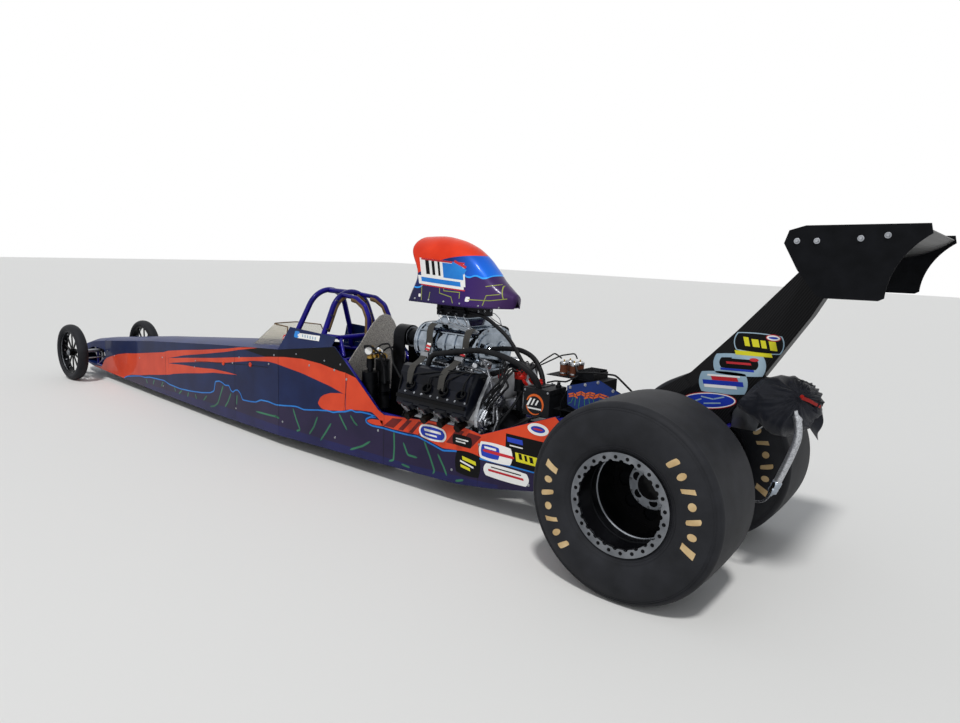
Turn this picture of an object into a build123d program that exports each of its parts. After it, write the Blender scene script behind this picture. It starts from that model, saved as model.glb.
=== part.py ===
from build123d import *
import math
import os

os.makedirs("parts", exist_ok=True)

# A rear-engined drag racing car: long wedge body on a tube frame, supercharged V8 behind the driver,
# single-pylon wing and parachute behind the rear axle.
# +X is forward, +Y is the driver's left, +Z is up, in millimetres. Lengths along the car are measured
# from the rear axle, and heights from the ground; each piece is then moved so that the origin is on
# the ground under the middle of the car's length.

# Main layout
wheelbase = 6200
nose_tip = 6750
front_track_half = 361
running_gap = 0.3
seat_gap = 0.3
bracket_plate = 4
pin_clearance = 0.1

# Rear wheels
rear_radius = 438
rear_tyre_width = 470
rear_tread_width = 410
rear_outer_half = 714
rear_rim_radius = 205
rear_rim_width = 406
rim_wall = 7
bead_flange_radius = 222
bead_ring_thickness = 14
bead_ring_inner = 188
bead_scallops = 24
centre_offset = 140
centre_thickness = 12
rear_hub_radius = 62
shaft_radius = 20
shaft_end = 300
flange_thickness = 14
disc_radius = 150
disc_hat_radius = 74
disc_thickness = 9
disc_place = 254
disc_holes = 12
disc_hole_radius = 11

# Front wheels
front_radius = 279
front_tyre_width = 98
front_rim_radius = 216
front_rim_width = 70
front_rim_wall = 8
front_hub_radius = 34
front_spokes = 10
spoke_width = 9
spindle_radius = 12

# Front axle and steering
caster = 15
kingpin_half = 292
kingpin_radius = 9
kingpin_boss = 17
knuckle_height = 50
ear_height = 14
axle_tube = 34
arm_length = 105
arm_thickness = 12
tie_rod_diameter = 12
stud_radius = 6
tie_eye_radius = 14
tie_eye_height = 14
open_end_clearance = 1.0

# Body shell
panel = 4
deck_crown = 30
cockpit_front = 2870
cockpit_rear = 2243
cockpit_half = 306
cowl_front_half = 300
nose_joint = 6020
nose_joint_half = 123
cowl_height = 874
cowl_rear_height = 856
cowl_top_half = 262
cowl_rear = cockpit_rear + 48
cowl_screen_edge = 2782
seam = 0.3

# Frame tubes
main_tube = 32
brace_tube = 20
cage_tube = 38
stay_bar = 26
rail_half = cowl_front_half - panel - seat_gap - main_tube / 2
rail_inner = rail_half - main_tube / 2 - seat_gap
rail_inset = panel + seat_gap + main_tube / 2

# Driver's cell
hoop_foot_half = 276
hoop_half = 238
hoop_waist = 850
hoop_shoulder_half = 114
hoop_top = 1135
hoop_bend = 172
front_hoop_place = 2681
front_hoop_lean = 0.165
main_hoop_place = 2448
shoulder_place = 2290
hoop_foot_rise = 1.9
shield_place = 2105
shield_thickness = 4
shield_top = 1015
shield_foot = 470
shield_slope = 0.179
wheel_place = 2780
wheel_height = 640
column_tilt = 20

# Engine
crank_height = 360
engine_rear = 1062
engine_front = 1620
cylinder_first = 1144
cylinder_pitch = 127
deck_distance = 255
head_height = 105
head_breadth = 226
cover_height = 152
cover_inset = 28
lobe_radius = 46
cover_breadth = 240
bore_opening = 24
port_radius = 22
shelf_top = 812
shelf_front = 760
bottle_place = (2025, 200)
bottle_radius = 54
canister_place = (2052, 66)
tank_low = 400
canister_radius = 48
blower_rear = 1200
blower_front = 1655
blower_ribs = 7
rib_width = 16
blower_height = 890
blower_top = 1012
blower_radius = 112
blower_lobe_half = 62
snout_front = 1955
snout_radius = 55
belt_width = 110
blower_pulley = 62
crank_pulley = 84
adapter_step = 1066
adapter_top = 1134
plate_high = 768
plate_depth = 22
bell_length = 120
magneto_place = 990
magneto_foot = 560
magneto_radius = 34
magneto_top = 742

# Air scoop
scoop_base_height = adapter_top + seat_gap
scoop_front = 1775
scoop_rear = 1040
scoop_wall = 5

# Wing
pylon_half = 44
bevel_run = 62
bevel_rise = 26
plate_half_span = 510
plate_thickness = 6
plate_rear = -946
wing_lead = (-512, 1532)
wing_trail = (-938, 1583)
wing_lower = (-700, 1492)
wing_upper = (-690, 1572)

origin_x = (nose_tip + plate_rear) / 2


def vec(point):
    return Vector(*point)


def tube(start, end, diameter):
    """Straight round bar between two points."""
    line = vec(end) - vec(start)
    return extrude(Plane(origin=vec(start), z_dir=line) * Circle(diameter / 2), line.length)


def bent_tube(points, diameter, bend):
    """Round bar along straight runs joined by tangent arcs of one radius."""
    path = FilletPolyline(*points, radius=bend)
    return sweep(Plane(origin=path @ 0, z_dir=path % 0) * Circle(diameter / 2), path=path)


def block(low, high):
    """Box from its lowest corner to its highest corner."""
    size = [high[i] - low[i] for i in range(3)]
    middle = [(high[i] + low[i]) / 2 for i in range(3)]
    return Pos(*middle) * Box(*size)


def side_plate(outline, y, thickness):
    """Flat plate with an outline of (x, z) points, from y towards +Y by its thickness."""
    face = Plane.XZ.offset(-y) * make_face(Polyline(*outline, close=True))
    return extrude(face, -thickness)


def mirrored(shape):
    return mirror(shape, about=Plane.XZ)


def both(shape):
    return Compound(children=[shape, mirrored(shape)])


def across(radius, y_from, y_to, x, z):
    """Round bar along Y."""
    return Pos(x, (y_from + y_to) / 2, z) * Rot(90, 0, 0) * Cylinder(radius, y_to - y_from)


def along(radius, x_from, x_to, y, z):
    """Round bar along X."""
    return Pos((x_from + x_to) / 2, y, z) * Rot(0, 90, 0) * Cylinder(radius, x_to - x_from)


def spin_face(face, x, y, z):
    """Turns a face drawn as (offset along the axle, radius) about the axle line along Y."""
    ring = revolve(face, axis=Axis.X)
    return Pos(x, y, z) * Rot(0, 0, 90) * ring


# The body's sections: distance from the rear axle, underside, top edge of the side
body_stations = [
    (nose_joint, 82, 396),
    (4960, 66, 519),
    (3760, 63, 633),
    (cockpit_front, 80, 708),
]


def side_at(x):
    """Half width of the body at a distance from the rear axle."""
    if x <= cockpit_rear:
        return cockpit_half
    if x <= cockpit_front:
        share = (x - cockpit_rear) / (cockpit_front - cockpit_rear)
        return cockpit_half + share * (cowl_front_half - cockpit_half)
    share = (x - cockpit_front) / (nose_joint - cockpit_front)
    return cowl_front_half + share * (nose_joint_half - cowl_front_half)


def front_side_panel():
    """Flat side skin from the nose joint back to the cockpit, tapering inwards towards the nose."""
    run = nose_joint - cockpit_front
    taper = math.degrees(math.atan2(cowl_front_half - nose_joint_half, run))
    stretch = 1 / math.cos(math.radians(taper))
    outline = []
    for x, low, _ in body_stations:
        outline.append(((x - cockpit_front) * stretch, low))
    for x, _, high in reversed(body_stations):
        outline.append(((x - cockpit_front) * stretch, high))
    flat = side_plate(outline, -panel, panel)
    return Pos(cockpit_front, cowl_front_half, 0) * Rot(0, 0, -taper) * flat


def crease_at(x):
    """Height of the crease between the cockpit skin and the cowl."""
    share = (cockpit_front - x) / (cockpit_front - cockpit_rear - 20)
    return 708 + 92 * share


def cockpit_side_panel():
    """Flat side skin beside the driver, its rear edge cut on a slope down to the engine."""
    outline = [
        (cockpit_front - seam, 80),
        (cockpit_front - seam, 708),
        (cockpit_rear + 20, crease_at(cockpit_rear + 20)),
        (cockpit_rear, 786),
        (1846, 455),
        (1790, 432),
        (1790, 112),
    ]
    return side_plate(outline, cowl_front_half - panel, panel)


def engine_side_panel():
    """Low side skin beside the engine, dipping and then rising to a rounded rear corner."""
    edge = cowl_front_half - panel
    outline = [
        (1790 - seam, 112),
        (1790 - seam, 430),
        (1403, 466),
        (1120, 474),
        (1028, 459),
        (971, 482),
        (561, 648),
        (520, 610),
        (500, 262),
        (681, 221),
        (946, 168),
        (1190, 134),
    ]
    return side_plate(outline, edge, panel)


def arch_face(x, half, edge, crown, thickness):
    """Thin crowned strip across the car at x, its edges at height edge."""
    outer = ThreePointArc((-half, edge), (0, edge + crown), (half, edge))
    inner = ThreePointArc((half, edge - thickness), (0, edge + crown - thickness), (-half, edge - thickness))
    right = Line((half, edge), (half, edge - thickness))
    left = Line((-half, edge - thickness), (-half, edge))
    return Plane(origin=(x, 0, 0), x_dir=(0, 1, 0), z_dir=(1, 0, 0)) * make_face([outer, right, inner, left])


def top_deck():
    """Crowned top skin from the nose joint to the cockpit, lying between the side skins."""
    faces = []
    for x, _, high in reversed(body_stations):
        faces.append(arch_face(x, side_at(x) - panel - seat_gap, high, deck_crown, panel))
    return loft(faces, ruled=True)


def deck_body(raised):
    """Solid filling everything under the top skin's outer face, raised by a gap."""
    faces = []
    for x, _, high in reversed(body_stations):
        half, edge = side_at(x), high + raised
        top = ThreePointArc((-half, edge), (0, edge + deck_crown), (half, edge))
        rest = Polyline((half, edge), (half, 0), (-half, 0), (-half, edge))
        plane = Plane(origin=(x, 0, 0), x_dir=(0, 1, 0), z_dir=(1, 0, 0))
        faces.append(plane * make_face([top, rest]))
    return loft(faces, ruled=True)


def belly_pan():
    """Flat under-skin between the side skins, open under the engine."""
    rows = [(row[0], side_at(row[0]), row[1]) for row in body_stations] + [(1900, cowl_front_half, 108)]
    faces = []
    for x, half, low in reversed(rows):
        wide = 2 * (half - panel - seat_gap)
        faces.append(Plane(origin=(x, 0, low + panel / 2), x_dir=(0, 1, 0), z_dir=(1, 0, 0)) * Rectangle(wide, panel))
    return loft(faces, ruled=True)


def nose_face(x, half, low, edge, crown):
    """Section of the nose: flat underside, upright sides and a crowned top."""
    top = ThreePointArc((-half, edge), (0, edge + crown), (half, edge))
    sides = Polyline((half, edge), (half, low), (-half, low), (-half, edge))
    return Plane(origin=(x, 0, 0), x_dir=(0, 1, 0), z_dir=(1, 0, 0)) * make_face([top, sides])


def nose_cover():
    """Hollow nose with an opening each side for the front axle, closed at its low tip."""
    # Sections: distance, half width, underside, top edge of the side, crown
    rows = [
        (nose_joint + seam, nose_joint_half, 82, 396, deck_crown),
        (6350, side_at(6350), 90, 350, 28),
        (6600, 84, 112, 288, 24),
        (nose_tip, 46, 158, 228, 12),
    ]
    outer = loft([nose_face(*row) for row in rows], ruled=True)
    inner_rows = []
    for x, half, low, edge, crown in rows:
        inset = 2.5 * panel if x == nose_tip else panel
        inner_rows.append((x - (panel if x == nose_tip else 0), half - inset, low + inset, edge - inset, crown))
    inner_rows[0] = (nose_joint, *inner_rows[0][1:])
    inner = loft([nose_face(*row) for row in inner_rows], ruled=True)
    shell = outer - inner
    outline = [(6030, 238), (6056, 300), (6200, 304), (6350, 296), (6480, 262), (6560, 215), (6560, 160), (6480, 122), (6130, 116)]
    return shell - side_plate(outline, -200, 400)


def cowl():
    """Raised collar round the cockpit: two inward-leaning sides on the cockpit skins' top edges."""
    # Sections: distance, height of the crease, height of the top edge, half width at the top edge
    rows = [
        (cockpit_front - seam, 708, 710, cowl_front_half),
        (cowl_screen_edge, crease_at(cowl_screen_edge), cowl_height, cowl_top_half),
        (cowl_rear, crease_at(cowl_rear), cowl_rear_height, cowl_top_half),
    ]
    faces = []
    for x, crease, top, half in rows:
        section = [
            (cowl_front_half, crease + seat_gap),
            (half, top),
            (half - panel, top),
            (cowl_front_half - panel, crease + seat_gap),
        ]
        plane = Plane(origin=(x, 0, 0), x_dir=(0, 1, 0), z_dir=(1, 0, 0))
        faces.append(plane * make_face(Polyline(*section, close=True)))
    return both(loft(faces, ruled=True))


def screen_face(plane, rear, rear_half, front, front_half):
    """Thin band open at the rear with cut front corners, for one edge of the windscreen."""
    corner = 24
    outer = [(rear, rear_half), (front - corner, front_half), (front, front_half - corner)]
    inner = [(front - panel, front_half - corner - 2), (front - corner - 2, front_half - panel), (rear, rear_half - panel)]
    near = [(x, -y) for x, y in reversed(outer)]
    far = [(x, -y) for x, y in reversed(inner)]
    return plane * make_face(Polyline(*outer, *near, *far, *inner, close=True))


def windscreen():
    """Low clear screen standing on the deck: a leaning front pane and two side panes."""
    low = screen_face(Plane.XY.offset(660), 2890, 215, 3370, 212)
    top = screen_face(Plane.XY.offset(849), 2960, 150, 3200, 111)
    return loft([low, top], ruled=True) - deck_body(seat_gap)


def fused(pieces):
    whole = pieces[0]
    for piece in pieces[1:]:
        whole += piece
    return whole


# Rail centres of the front frame: distance, low rail's height, high rail's height
rail_rows = [
    (6290, 114, 330),
    (4960, 96, 485),
    (3760, 93, 599),
    (2871, 110, 674),
]
brace_places = [6280, 5700, 5110, 4520, 3930, 3400, 2884]


def rail_at(x, column):
    """Height of the front frame's low rail (column 1) or high rail (column 2) at x."""
    for ahead, behind in zip(rail_rows, rail_rows[1:]):
        if x >= behind[0]:
            break
    share = (x - behind[0]) / (ahead[0] - behind[0])
    return behind[column] + share * (ahead[column] - behind[column])


def frame_front():
    """Four rails with uprights and diagonals from the front axle to the cockpit."""
    tubes = []
    for side in (-1, 1):
        for column in (1, 2):
            points = [(row[0], side * (side_at(row[0]) - rail_inset), row[column]) for row in rail_rows]
            tubes.append(bent_tube(points, main_tube, 400))
    joints = []
    for x in brace_places:
        half, low, high = side_at(x) - rail_inset, rail_at(x, 1), rail_at(x, 2)
        joints.append({side: ((x, side * half, low), (x, side * half, high)) for side in (-1, 1)})
    for index, place in enumerate(joints):
        for side in (-1, 1):
            tubes.append(tube(*place[side], brace_tube))
        tubes.append(tube(place[-1][0], place[1][0], brace_tube))
        if 0 < index < len(joints) - 1:
            tubes.append(tube(place[-1][1], place[1][1], brace_tube))
    for place, behind in zip(joints, joints[1:]):
        for side in (-1, 1):
            tubes.append(tube(place[side][0], behind[side][1], brace_tube))
    return fused(tubes)


# Frame joints behind the cockpit front, left side: name, distance, half width, height
rear_joints = {
    "dash_low": (cockpit_front - 1, rail_half, 110),
    "dash_high": (cockpit_front - 1, rail_half, 674),
    "hoop_low": (main_hoop_place, rail_half, 122),
    "hoop_high": (main_hoop_place, rail_half, 700),
    "shoulder_high": (2190, rail_half, 720),
    "back_low": (1900, rail_half, 138),
    "step_high": (1850, rail_half, 424),
    "engine_low": (1060, rail_half, 168),
    "engine_high": (1000, rail_half, 430),
    "kick_low": (640, 268, 250),
    "kick_high": (640, 268, 592),
    "neck_low": (465, 200, 278),
    "neck_high": (465, 200, 640),
    "axle_low": (120, 196, 290),
    "axle_high": (60, 196, 640),
    "tail_high": (-220, 150, 706),
}


def frame_rear():
    """Rails from the dash past the engine to the rear axle, with the wing's feet behind."""
    rails = [
        ("dash_low", "hoop_low", "back_low", "engine_low", "kick_low", "neck_low", "axle_low"),
        ("dash_high", "hoop_high", "shoulder_high", "step_high", "engine_high", "kick_high", "neck_high", "axle_high", "tail_high"),
    ]
    braces = [
        ("hoop_low", "hoop_high"),
        ("back_low", "step_high"),
        ("engine_low", "engine_high"),
        ("kick_low", "kick_high"),
        ("axle_low", "axle_high"),
        ("neck_low", "neck_high"),
        ("neck_high", "axle_low"),
        ("hoop_low", "shoulder_high"),
    ]
    tubes = []
    for side in (-1, 1):
        ends = {name: (x, side * y, z) for name, (x, y, z) in rear_joints.items()}
        tubes += [bent_tube([ends[name] for name in rail], main_tube, 70) for rail in rails]
        tubes += [tube(ends[a], ends[b], brace_tube) for a, b in braces]
    crossed = ("hoop_low", "shoulder_high", "back_low", "neck_low", "kick_high", "axle_low", "tail_high", "axle_high")
    for name in crossed:
        x, y, z = rear_joints[name]
        tubes.append(tube((x, -y, z), (x, y, z), brace_tube))
    return fused(tubes)


def hoop(x, lean):
    """One cage hoop across the car, its feet on the upper rails and its top at x."""
    behind, ahead = rear_joints["hoop_high"], rear_joints["dash_high"]
    foot_place = x + lean * (hoop_top - behind[2])
    rail = behind[2] + (ahead[2] - behind[2]) * (foot_place - behind[0]) / (ahead[0] - behind[0])
    foot = rail + main_tube / 2 + hoop_foot_rise + lean * cage_tube / 2
    points = []
    for half, level in ((hoop_foot_half, foot), (hoop_half, hoop_waist), (hoop_shoulder_half, hoop_top)):
        points.append((x + lean * (hoop_top - level), half, level))
    far = [(place, -half, level) for place, half, level in points]
    return bent_tube([*far, *reversed(points)], cage_tube, hoop_bend)


def roll_cage():
    """Front and main hoops, a top bar, two rear stays and the shoulder bar."""
    top = hoop_top - 4
    pieces = [hoop(front_hoop_place, front_hoop_lean), hoop(main_hoop_place, 0)]
    pieces.append(tube((front_hoop_place, 0, top), (main_hoop_place, 0, top), cage_tube - 2))
    pieces.append(tube((shoulder_place, -240, 850), (shoulder_place, 240, 850), cage_tube - 6))
    rail_x, _, rail_z = rear_joints["shoulder_high"]
    bar = rail_z + brace_tube / 2 + seat_gap + stay_bar / 2
    pieces.append(tube((rail_x, -112, bar), (rail_x, 112, bar), stay_bar))
    for side in (-1, 1):
        stay = [
            (main_hoop_place - 4, side * 82, hoop_top - 17),
            (2290, side * 88, 1106),
            (2205, side * 90, 1062),
            (2160, side * 92, 985),
            (2157, side * 94, 900),
            (rail_x, side * 100, bar),
        ]
        pieces.append(bent_tube(stay, cage_tube - 8, 60))
        pieces.append(tube((shoulder_place + 4, side * 230, 852), (main_hoop_place, side * 238, 848), cage_tube - 10))
        foot = (shoulder_place - 80, side * 264, rail_z + main_tube / 2 + seat_gap)
        pieces.append(tube((shoulder_place - 3, side * 226, 848), foot, cage_tube - 14))
    return fused(pieces)


def shield_plane():
    """Plane of the blast shield's rear face, leaning back, its origin at the top edge."""
    lean = math.atan(shield_slope)
    forward = (math.cos(lean), 0, math.sin(lean))
    return Plane(origin=(shield_place, 0, shield_top), x_dir=(0, 1, 0), z_dir=forward)


def blast_shield():
    """Leaning plate across the car behind the driver, rounded at the top."""
    # Half width and height of the left edge, from the foot to the top
    edge = [
        (rail_inner, shield_foot),
        (rail_inner, 712),
        (214, 785),
        (178, 830),
        (144, 890),
        (98, 955),
        (50, 1000),
        (0, shield_top),
    ]
    stretch = math.hypot(1, shield_slope)
    left = [(half, (height - shield_top) * stretch) for half, height in edge]
    right = [(-half, rise) for half, rise in reversed(left[:-1])]
    return extrude(shield_plane() * make_face(Polyline(*left, *right, close=True)), shield_thickness)


def seat():
    """Reclined bucket seat with raised sides, resting on the frame's cross tube."""
    seat_base = rear_joints["hoop_low"][2] + brace_tube / 2 + seat_gap
    outline = [
        (2760, 150),
        (2770, 220),
        (2560, 170),
        (2400, 200),
        (2262, 640),
        (2225, 640),
        (2350, 180),
        (2395, seat_base),
        (2445, seat_base),
    ]
    pad = side_plate(outline, -170, 340)
    wing_outline = [
        (2760, 150),
        (2770, 330),
        (2520, 300),
        (2420, 420),
        (2330, 640),
        (2225, 640),
        (2350, 180),
        (2395, seat_base),
        (2445, seat_base),
    ]
    left = side_plate(wing_outline, 170, 22)
    return pad + left + mirrored(left)


def steering_wheel():
    """Butterfly wheel on its column: two grips joined by a centre bar."""
    flat = Pos(0, 0, 0) * Cylinder(26, 18)
    bars = [flat, Box(22, 272, 10)]
    for side in (-1, 1):
        grip = [(-70, side * 112, 0), (-40, side * 138, 0), (40, side * 138, 0), (70, side * 112, 0)]
        bars.append(bent_tube(grip, 24, 20))
    column = Pos(0, 0, -200) * Cylinder(13, 390)
    wheel = fused(bars + [column])
    lean = Plane(origin=(wheel_place, 0, wheel_height), x_dir=(math.sin(math.radians(column_tilt)), 0, math.cos(math.radians(column_tilt))), z_dir=(-math.cos(math.radians(column_tilt)), 0, math.sin(math.radians(column_tilt))))
    return lean.location * wheel


def column_mount():
    """Plate and bush that carry the steering column from the frame's cross tube."""
    angle = math.radians(column_tilt)
    centre = (wheel_place + 330 * math.cos(angle), 0, wheel_height - 330 * math.sin(angle))
    axis = Plane(origin=centre, z_dir=(-math.cos(angle), 0, math.sin(angle)))
    bush = axis.location * (Cylinder(24, 40) - Cylinder(13 + pin_clearance, 60))
    half = side_at(centre[0]) - rail_inset - main_tube / 2 - seat_gap
    plate = block((centre[0] - 3, -half, centre[2] - 24), (centre[0] + 3, half, rail_at(centre[0], 2)))
    return bush + (plate - axis.location * Cylinder(20, 90))


def bank(shape, side):
    """Puts a shape drawn with Z along a cylinder bank, Y across it and X along the engine on its bank."""
    lean = -45 * side
    return Pos(0, 0, crank_height) * Rot(lean, 0, 0) * shape


def block_bank(side, grown=0):
    """One bank of cylinders, or the same grown on every face for the manifold between the banks."""
    middle = (engine_rear + engine_front) / 2
    size = [engine_front - engine_rear + 2 * grown, 190 + 2 * grown, deck_distance - 80 + 2 * grown]
    return bank(Pos(middle, 0, deck_distance / 2 + 40) * Box(*size), side)


def engine_block():
    """Crankcase, two cylinder banks and oil pan."""
    length = engine_front - engine_rear
    profile = [(-150, 190), (-165, 330), (-120, 400), (120, 400), (165, 330), (150, 190)]
    face = Plane(origin=(engine_rear, 0, 0), x_dir=(0, 1, 0), z_dir=(1, 0, 0)) * make_face(Polyline(*profile, close=True))
    case = extrude(face, length)
    banks = [block_bank(side) for side in (-1, 1)]
    pan = block((engine_rear + 20, -110, 128), (engine_front - 60, 110, 200))
    nose = along(50, engine_front - 1, engine_front + 60, 0, crank_height)
    return fused([case, *banks, pan, nose])


def head(side, grown=0):
    """One cylinder head, or the same grown on every face for the pieces that seat against it."""
    middle = (engine_rear + engine_front) / 2
    size = [engine_front - engine_rear + 2 * grown, head_breadth + 2 * grown, head_height + 2 * grown]
    return bank(Pos(middle, 0, deck_distance + head_height / 2) * Box(*size), side)


def cylinder_heads():
    return Compound(children=[head(-1), head(1)])


def valve_cover(side):
    """Tall cover arched on its inner side, with four round plug openings, a ridge and lobes below them."""
    start = engine_rear + cover_inset
    length = engine_front - start
    middle = start + length / 2
    base = deck_distance + head_height + seat_gap
    low, high = -cover_breadth / 2, cover_breadth / 2
    # Section: distance across the bank, distance out along the bank
    profile = [
        (low, 0),
        (low, 40),
        (low + 60, 78),
        (low + 110, 98),
        (high - 90, 138),
        (high - 50, cover_height),
        (high - 20, 138),
        (high, 98),
        (high, 0),
    ]
    face = Plane(origin=(start, 0, base), x_dir=(0, 1, 0), z_dir=(1, 0, 0)) * make_face(Polyline(*profile, close=True))
    cover = extrude(face, length)
    wells = []
    for index in range(4):
        x = cylinder_first + index * cylinder_pitch
        cover += Pos(x, low + 28, base + 24) * Cylinder(lobe_radius, 44)
        cover += Pos(x, low + 92, base + 78) * Cylinder(bore_opening + 6, 48)
        wells.append(Pos(x, low + 92, base + 84) * Cylinder(bore_opening, 70))
    cover -= wells
    cover += Pos(middle, low + 32, base + 64) * Rot(32, 0, 0) * Box(length - 30, 8, 16)
    turned = cover if side < 0 else mirror(cover, about=Plane.XZ)
    return bank(turned, side)


def valve_covers():
    return Compound(children=[valve_cover(-1), valve_cover(1)])


def headers():
    """Four short down-swept exhaust stubs on each head."""
    stubs = []
    reach = deck_distance + head_height / 2
    port_y = (reach + head_breadth / 2) * math.sin(math.radians(45))
    port_z = crank_height + (reach - head_breadth / 2) * math.cos(math.radians(45))
    for side in (-1, 1):
        for index in range(4):
            x = cylinder_first + index * cylinder_pitch
            start = (x, side * (port_y - 20), port_z + 12)
            knee = (x, side * (port_y + 45), port_z - 6)
            end = (x, side * (port_y + 75), port_z - 18)
            stub = bent_tube([start, knee, end], 2 * port_radius, 60)
            stubs.append(stub - head(side, seat_gap))
    return Compound(children=stubs)


def intake():
    """Valley manifold that carries the supercharger."""
    profile = [(-60, 545), (-118, 640), (-150, 745), (150, 745), (118, 640), (60, 545)]
    face = Plane(origin=(engine_rear + 20, 0, 0), x_dir=(0, 1, 0), z_dir=(1, 0, 0)) * make_face(Polyline(*profile, close=True))
    body = extrude(face, engine_front - engine_rear - 40)
    for side in (-1, 1):
        body = body - block_bank(side, seat_gap) - head(side, seat_gap)
    return body


def blower():
    """Ribbed twin-rotor supercharger case with end plates."""
    low = 745 + seat_gap
    profile = Pos(-blower_lobe_half, 0) * Circle(blower_radius) + Pos(blower_lobe_half, 0) * Circle(blower_radius)
    profile += Rectangle(2 * blower_lobe_half, 2 * blower_radius)
    plane = Plane(origin=(blower_rear, 0, blower_height), x_dir=(0, 1, 0), z_dir=(1, 0, 0))
    case = extrude(plane * profile, blower_front - blower_rear)
    foot = block((blower_rear + 20, -140, low), (blower_front - 20, 140, blower_height - 40))
    rib_face = Pos(-blower_lobe_half, 0) * Circle(blower_radius + 7) + Pos(blower_lobe_half, 0) * Circle(blower_radius + 7)
    rib_face += Rectangle(2 * blower_lobe_half, 2 * blower_radius + 14)
    ribs = []
    pitch = (blower_front - blower_rear - rib_width) / (blower_ribs - 1)
    for index in range(blower_ribs):
        rib_plane = Plane(origin=(blower_rear + index * pitch, 0, blower_height), x_dir=(0, 1, 0), z_dir=(1, 0, 0))
        ribs.append(extrude(rib_plane * rib_face, rib_width))
    flat_top = block((blower_rear + 60, -110, blower_height + 60), (blower_front - 30, 118, blower_top))
    return fused([case, foot, flat_top, *ribs])


def blower_drive():
    """Drive snout, two toothed pulleys and the belt that joins them in front of the engine."""
    snout = along(snout_radius, blower_front + seat_gap, snout_front - belt_width - 8, 0, blower_height)
    top = along(blower_pulley, snout_front - belt_width, snout_front, 0, blower_height)
    hub = along(30, snout_front - belt_width - 9, snout_front - belt_width + 1, 0, blower_height)
    low = along(crank_pulley, snout_front - belt_width, snout_front, 0, crank_height)
    crank = along(30, engine_front + 60 + seat_gap, snout_front - belt_width + 1, 0, crank_height)
    rise = blower_height - crank_height
    tilt = math.asin((crank_pulley - blower_pulley) / rise)
    band = []
    for grow in (12, 0):
        up, down = blower_pulley + grow, crank_pulley + grow
        points = []
        for side in (-1, 1):
            points.append((side * up * math.cos(tilt), blower_height + up * math.sin(tilt)))
            points.append((side * down * math.cos(tilt), crank_height + down * math.sin(tilt)))
        quad = make_face(Polyline(points[0], points[1], points[3], points[2], close=True))
        shape = quad + Pos(0, blower_height) * Circle(up) + Pos(0, crank_height) * Circle(down)
        band.append(shape)
    plane = Plane(origin=(snout_front - belt_width + 6, 0, 0), x_dir=(0, 1, 0), z_dir=(1, 0, 0))
    belt = extrude(plane * (band[0] - band[1]), belt_width - 12)
    return fused([snout, hub, top, low, crank, belt])


def injector_adapter():
    """Tapered casting on the supercharger, and the wider throttle box on it that carries the scoop."""
    base = Plane.XY.offset(blower_top + seat_gap) * Pos(1419, 0) * Rectangle(288, 240)
    top = Plane.XY.offset(adapter_step) * Pos(1409, 0) * Rectangle(180, 190)
    box = block((1300, -120, adapter_step), (1540, 120, adapter_top))
    return loft([base, top], ruled=True) + box


def scoop():
    """Forward-facing air scoop: a domed hollow hood on a flat flange, open at the front."""
    # Sections: distance, half width at the base, half width of the crown, crown height
    rows = [
        (scoop_front, 160, 120, 1528),
        (1600, 176, 124, 1536),
        (1470, 182, 118, 1518),
        (1360, 182, 108, 1480),
        (1285, 178, 98, 1432),
        (1215, 165, 86, 1366),
        (1160, 135, 76, 1304),
        (1100, 95, 60, 1255),
        (scoop_rear, 30, 20, 1215),
    ]

    def section(x, base_half, crown_half, crown, inset):
        low = scoop_base_height + (inset if inset else 0)
        mid = low + (crown - low) * 0.62
        top = crown - inset
        base_half -= inset
        crown_half -= inset * 0.5
        arc = ThreePointArc((-crown_half - 18, mid), (0, top), (crown_half + 18, mid))
        sides = Polyline((crown_half + 18, mid), (base_half, low), (-base_half, low), (-crown_half - 18, mid))
        return Plane(origin=(x, 0, 0), x_dir=(0, 1, 0), z_dir=(1, 0, 0)) * make_face([arc, sides])

    outer = loft([section(*row, 0) for row in rows], ruled=True)
    inner_rows = [(rows[0][0] + 1, *rows[0][1:])] + rows[1:7]
    inner = loft([section(*row, scoop_wall) for row in inner_rows], ruled=True)
    throat = block((1325, -100, scoop_base_height - 1), (1515, 100, scoop_base_height + scoop_wall + 1))
    # The mouth's edge seen from the side: hollow at mid height, with the dome's lip reaching forward
    lip = [(1740, 1130), (1706, 1210), (1673, 1270), (1675, 1320), (1714, 1385), (1750, 1440), (1750, 1490), (1722, 1540)]
    return outer - inner - throat - side_plate([*lip, (1900, 1560), (1900, 1130)], -300, 600)


def bellhousing():
    """Cast plate that widens above the rails, the bell behind it and the magneto's pad."""
    outline = [(rail_inner, 210), (rail_inner, 476), (320, 500), (330, 560), (300, 640), (215, plate_high), (150, 700), (60, 612)]
    far = [(-y, z) for y, z in reversed(outline)]
    rear = engine_rear - plate_depth
    face = Plane(origin=(rear, 0, 0), x_dir=(0, 1, 0), z_dir=(1, 0, 0)) * make_face(Polyline(*outline, *far, close=True))
    plate = extrude(face, plate_depth - seat_gap)
    bell = Pos(rear - bell_length / 2, 0, crank_height) * Rot(0, -90, 0) * Cone(190, 130, bell_length)
    pad = block((magneto_place - 30, -30, 480), (rear + 2, 30, magneto_foot))
    return plate + bell + pad


def transmission():
    """Ribbed planetary gearbox and the coupler to the rear axle."""
    start = engine_rear - plate_depth - bell_length - seat_gap
    pieces = [along(108, 620, start, 0, crank_height)]
    for index in range(6):
        pieces.append(along(124, 640 + index * 45, 652 + index * 45, 0, crank_height))
    pieces.append(along(62, 300, 621, 0, crank_height + 20))
    pieces.append(block((760, -70, crank_height + 60), (880, 70, crank_height + 170)))
    return fused(pieces)


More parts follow.
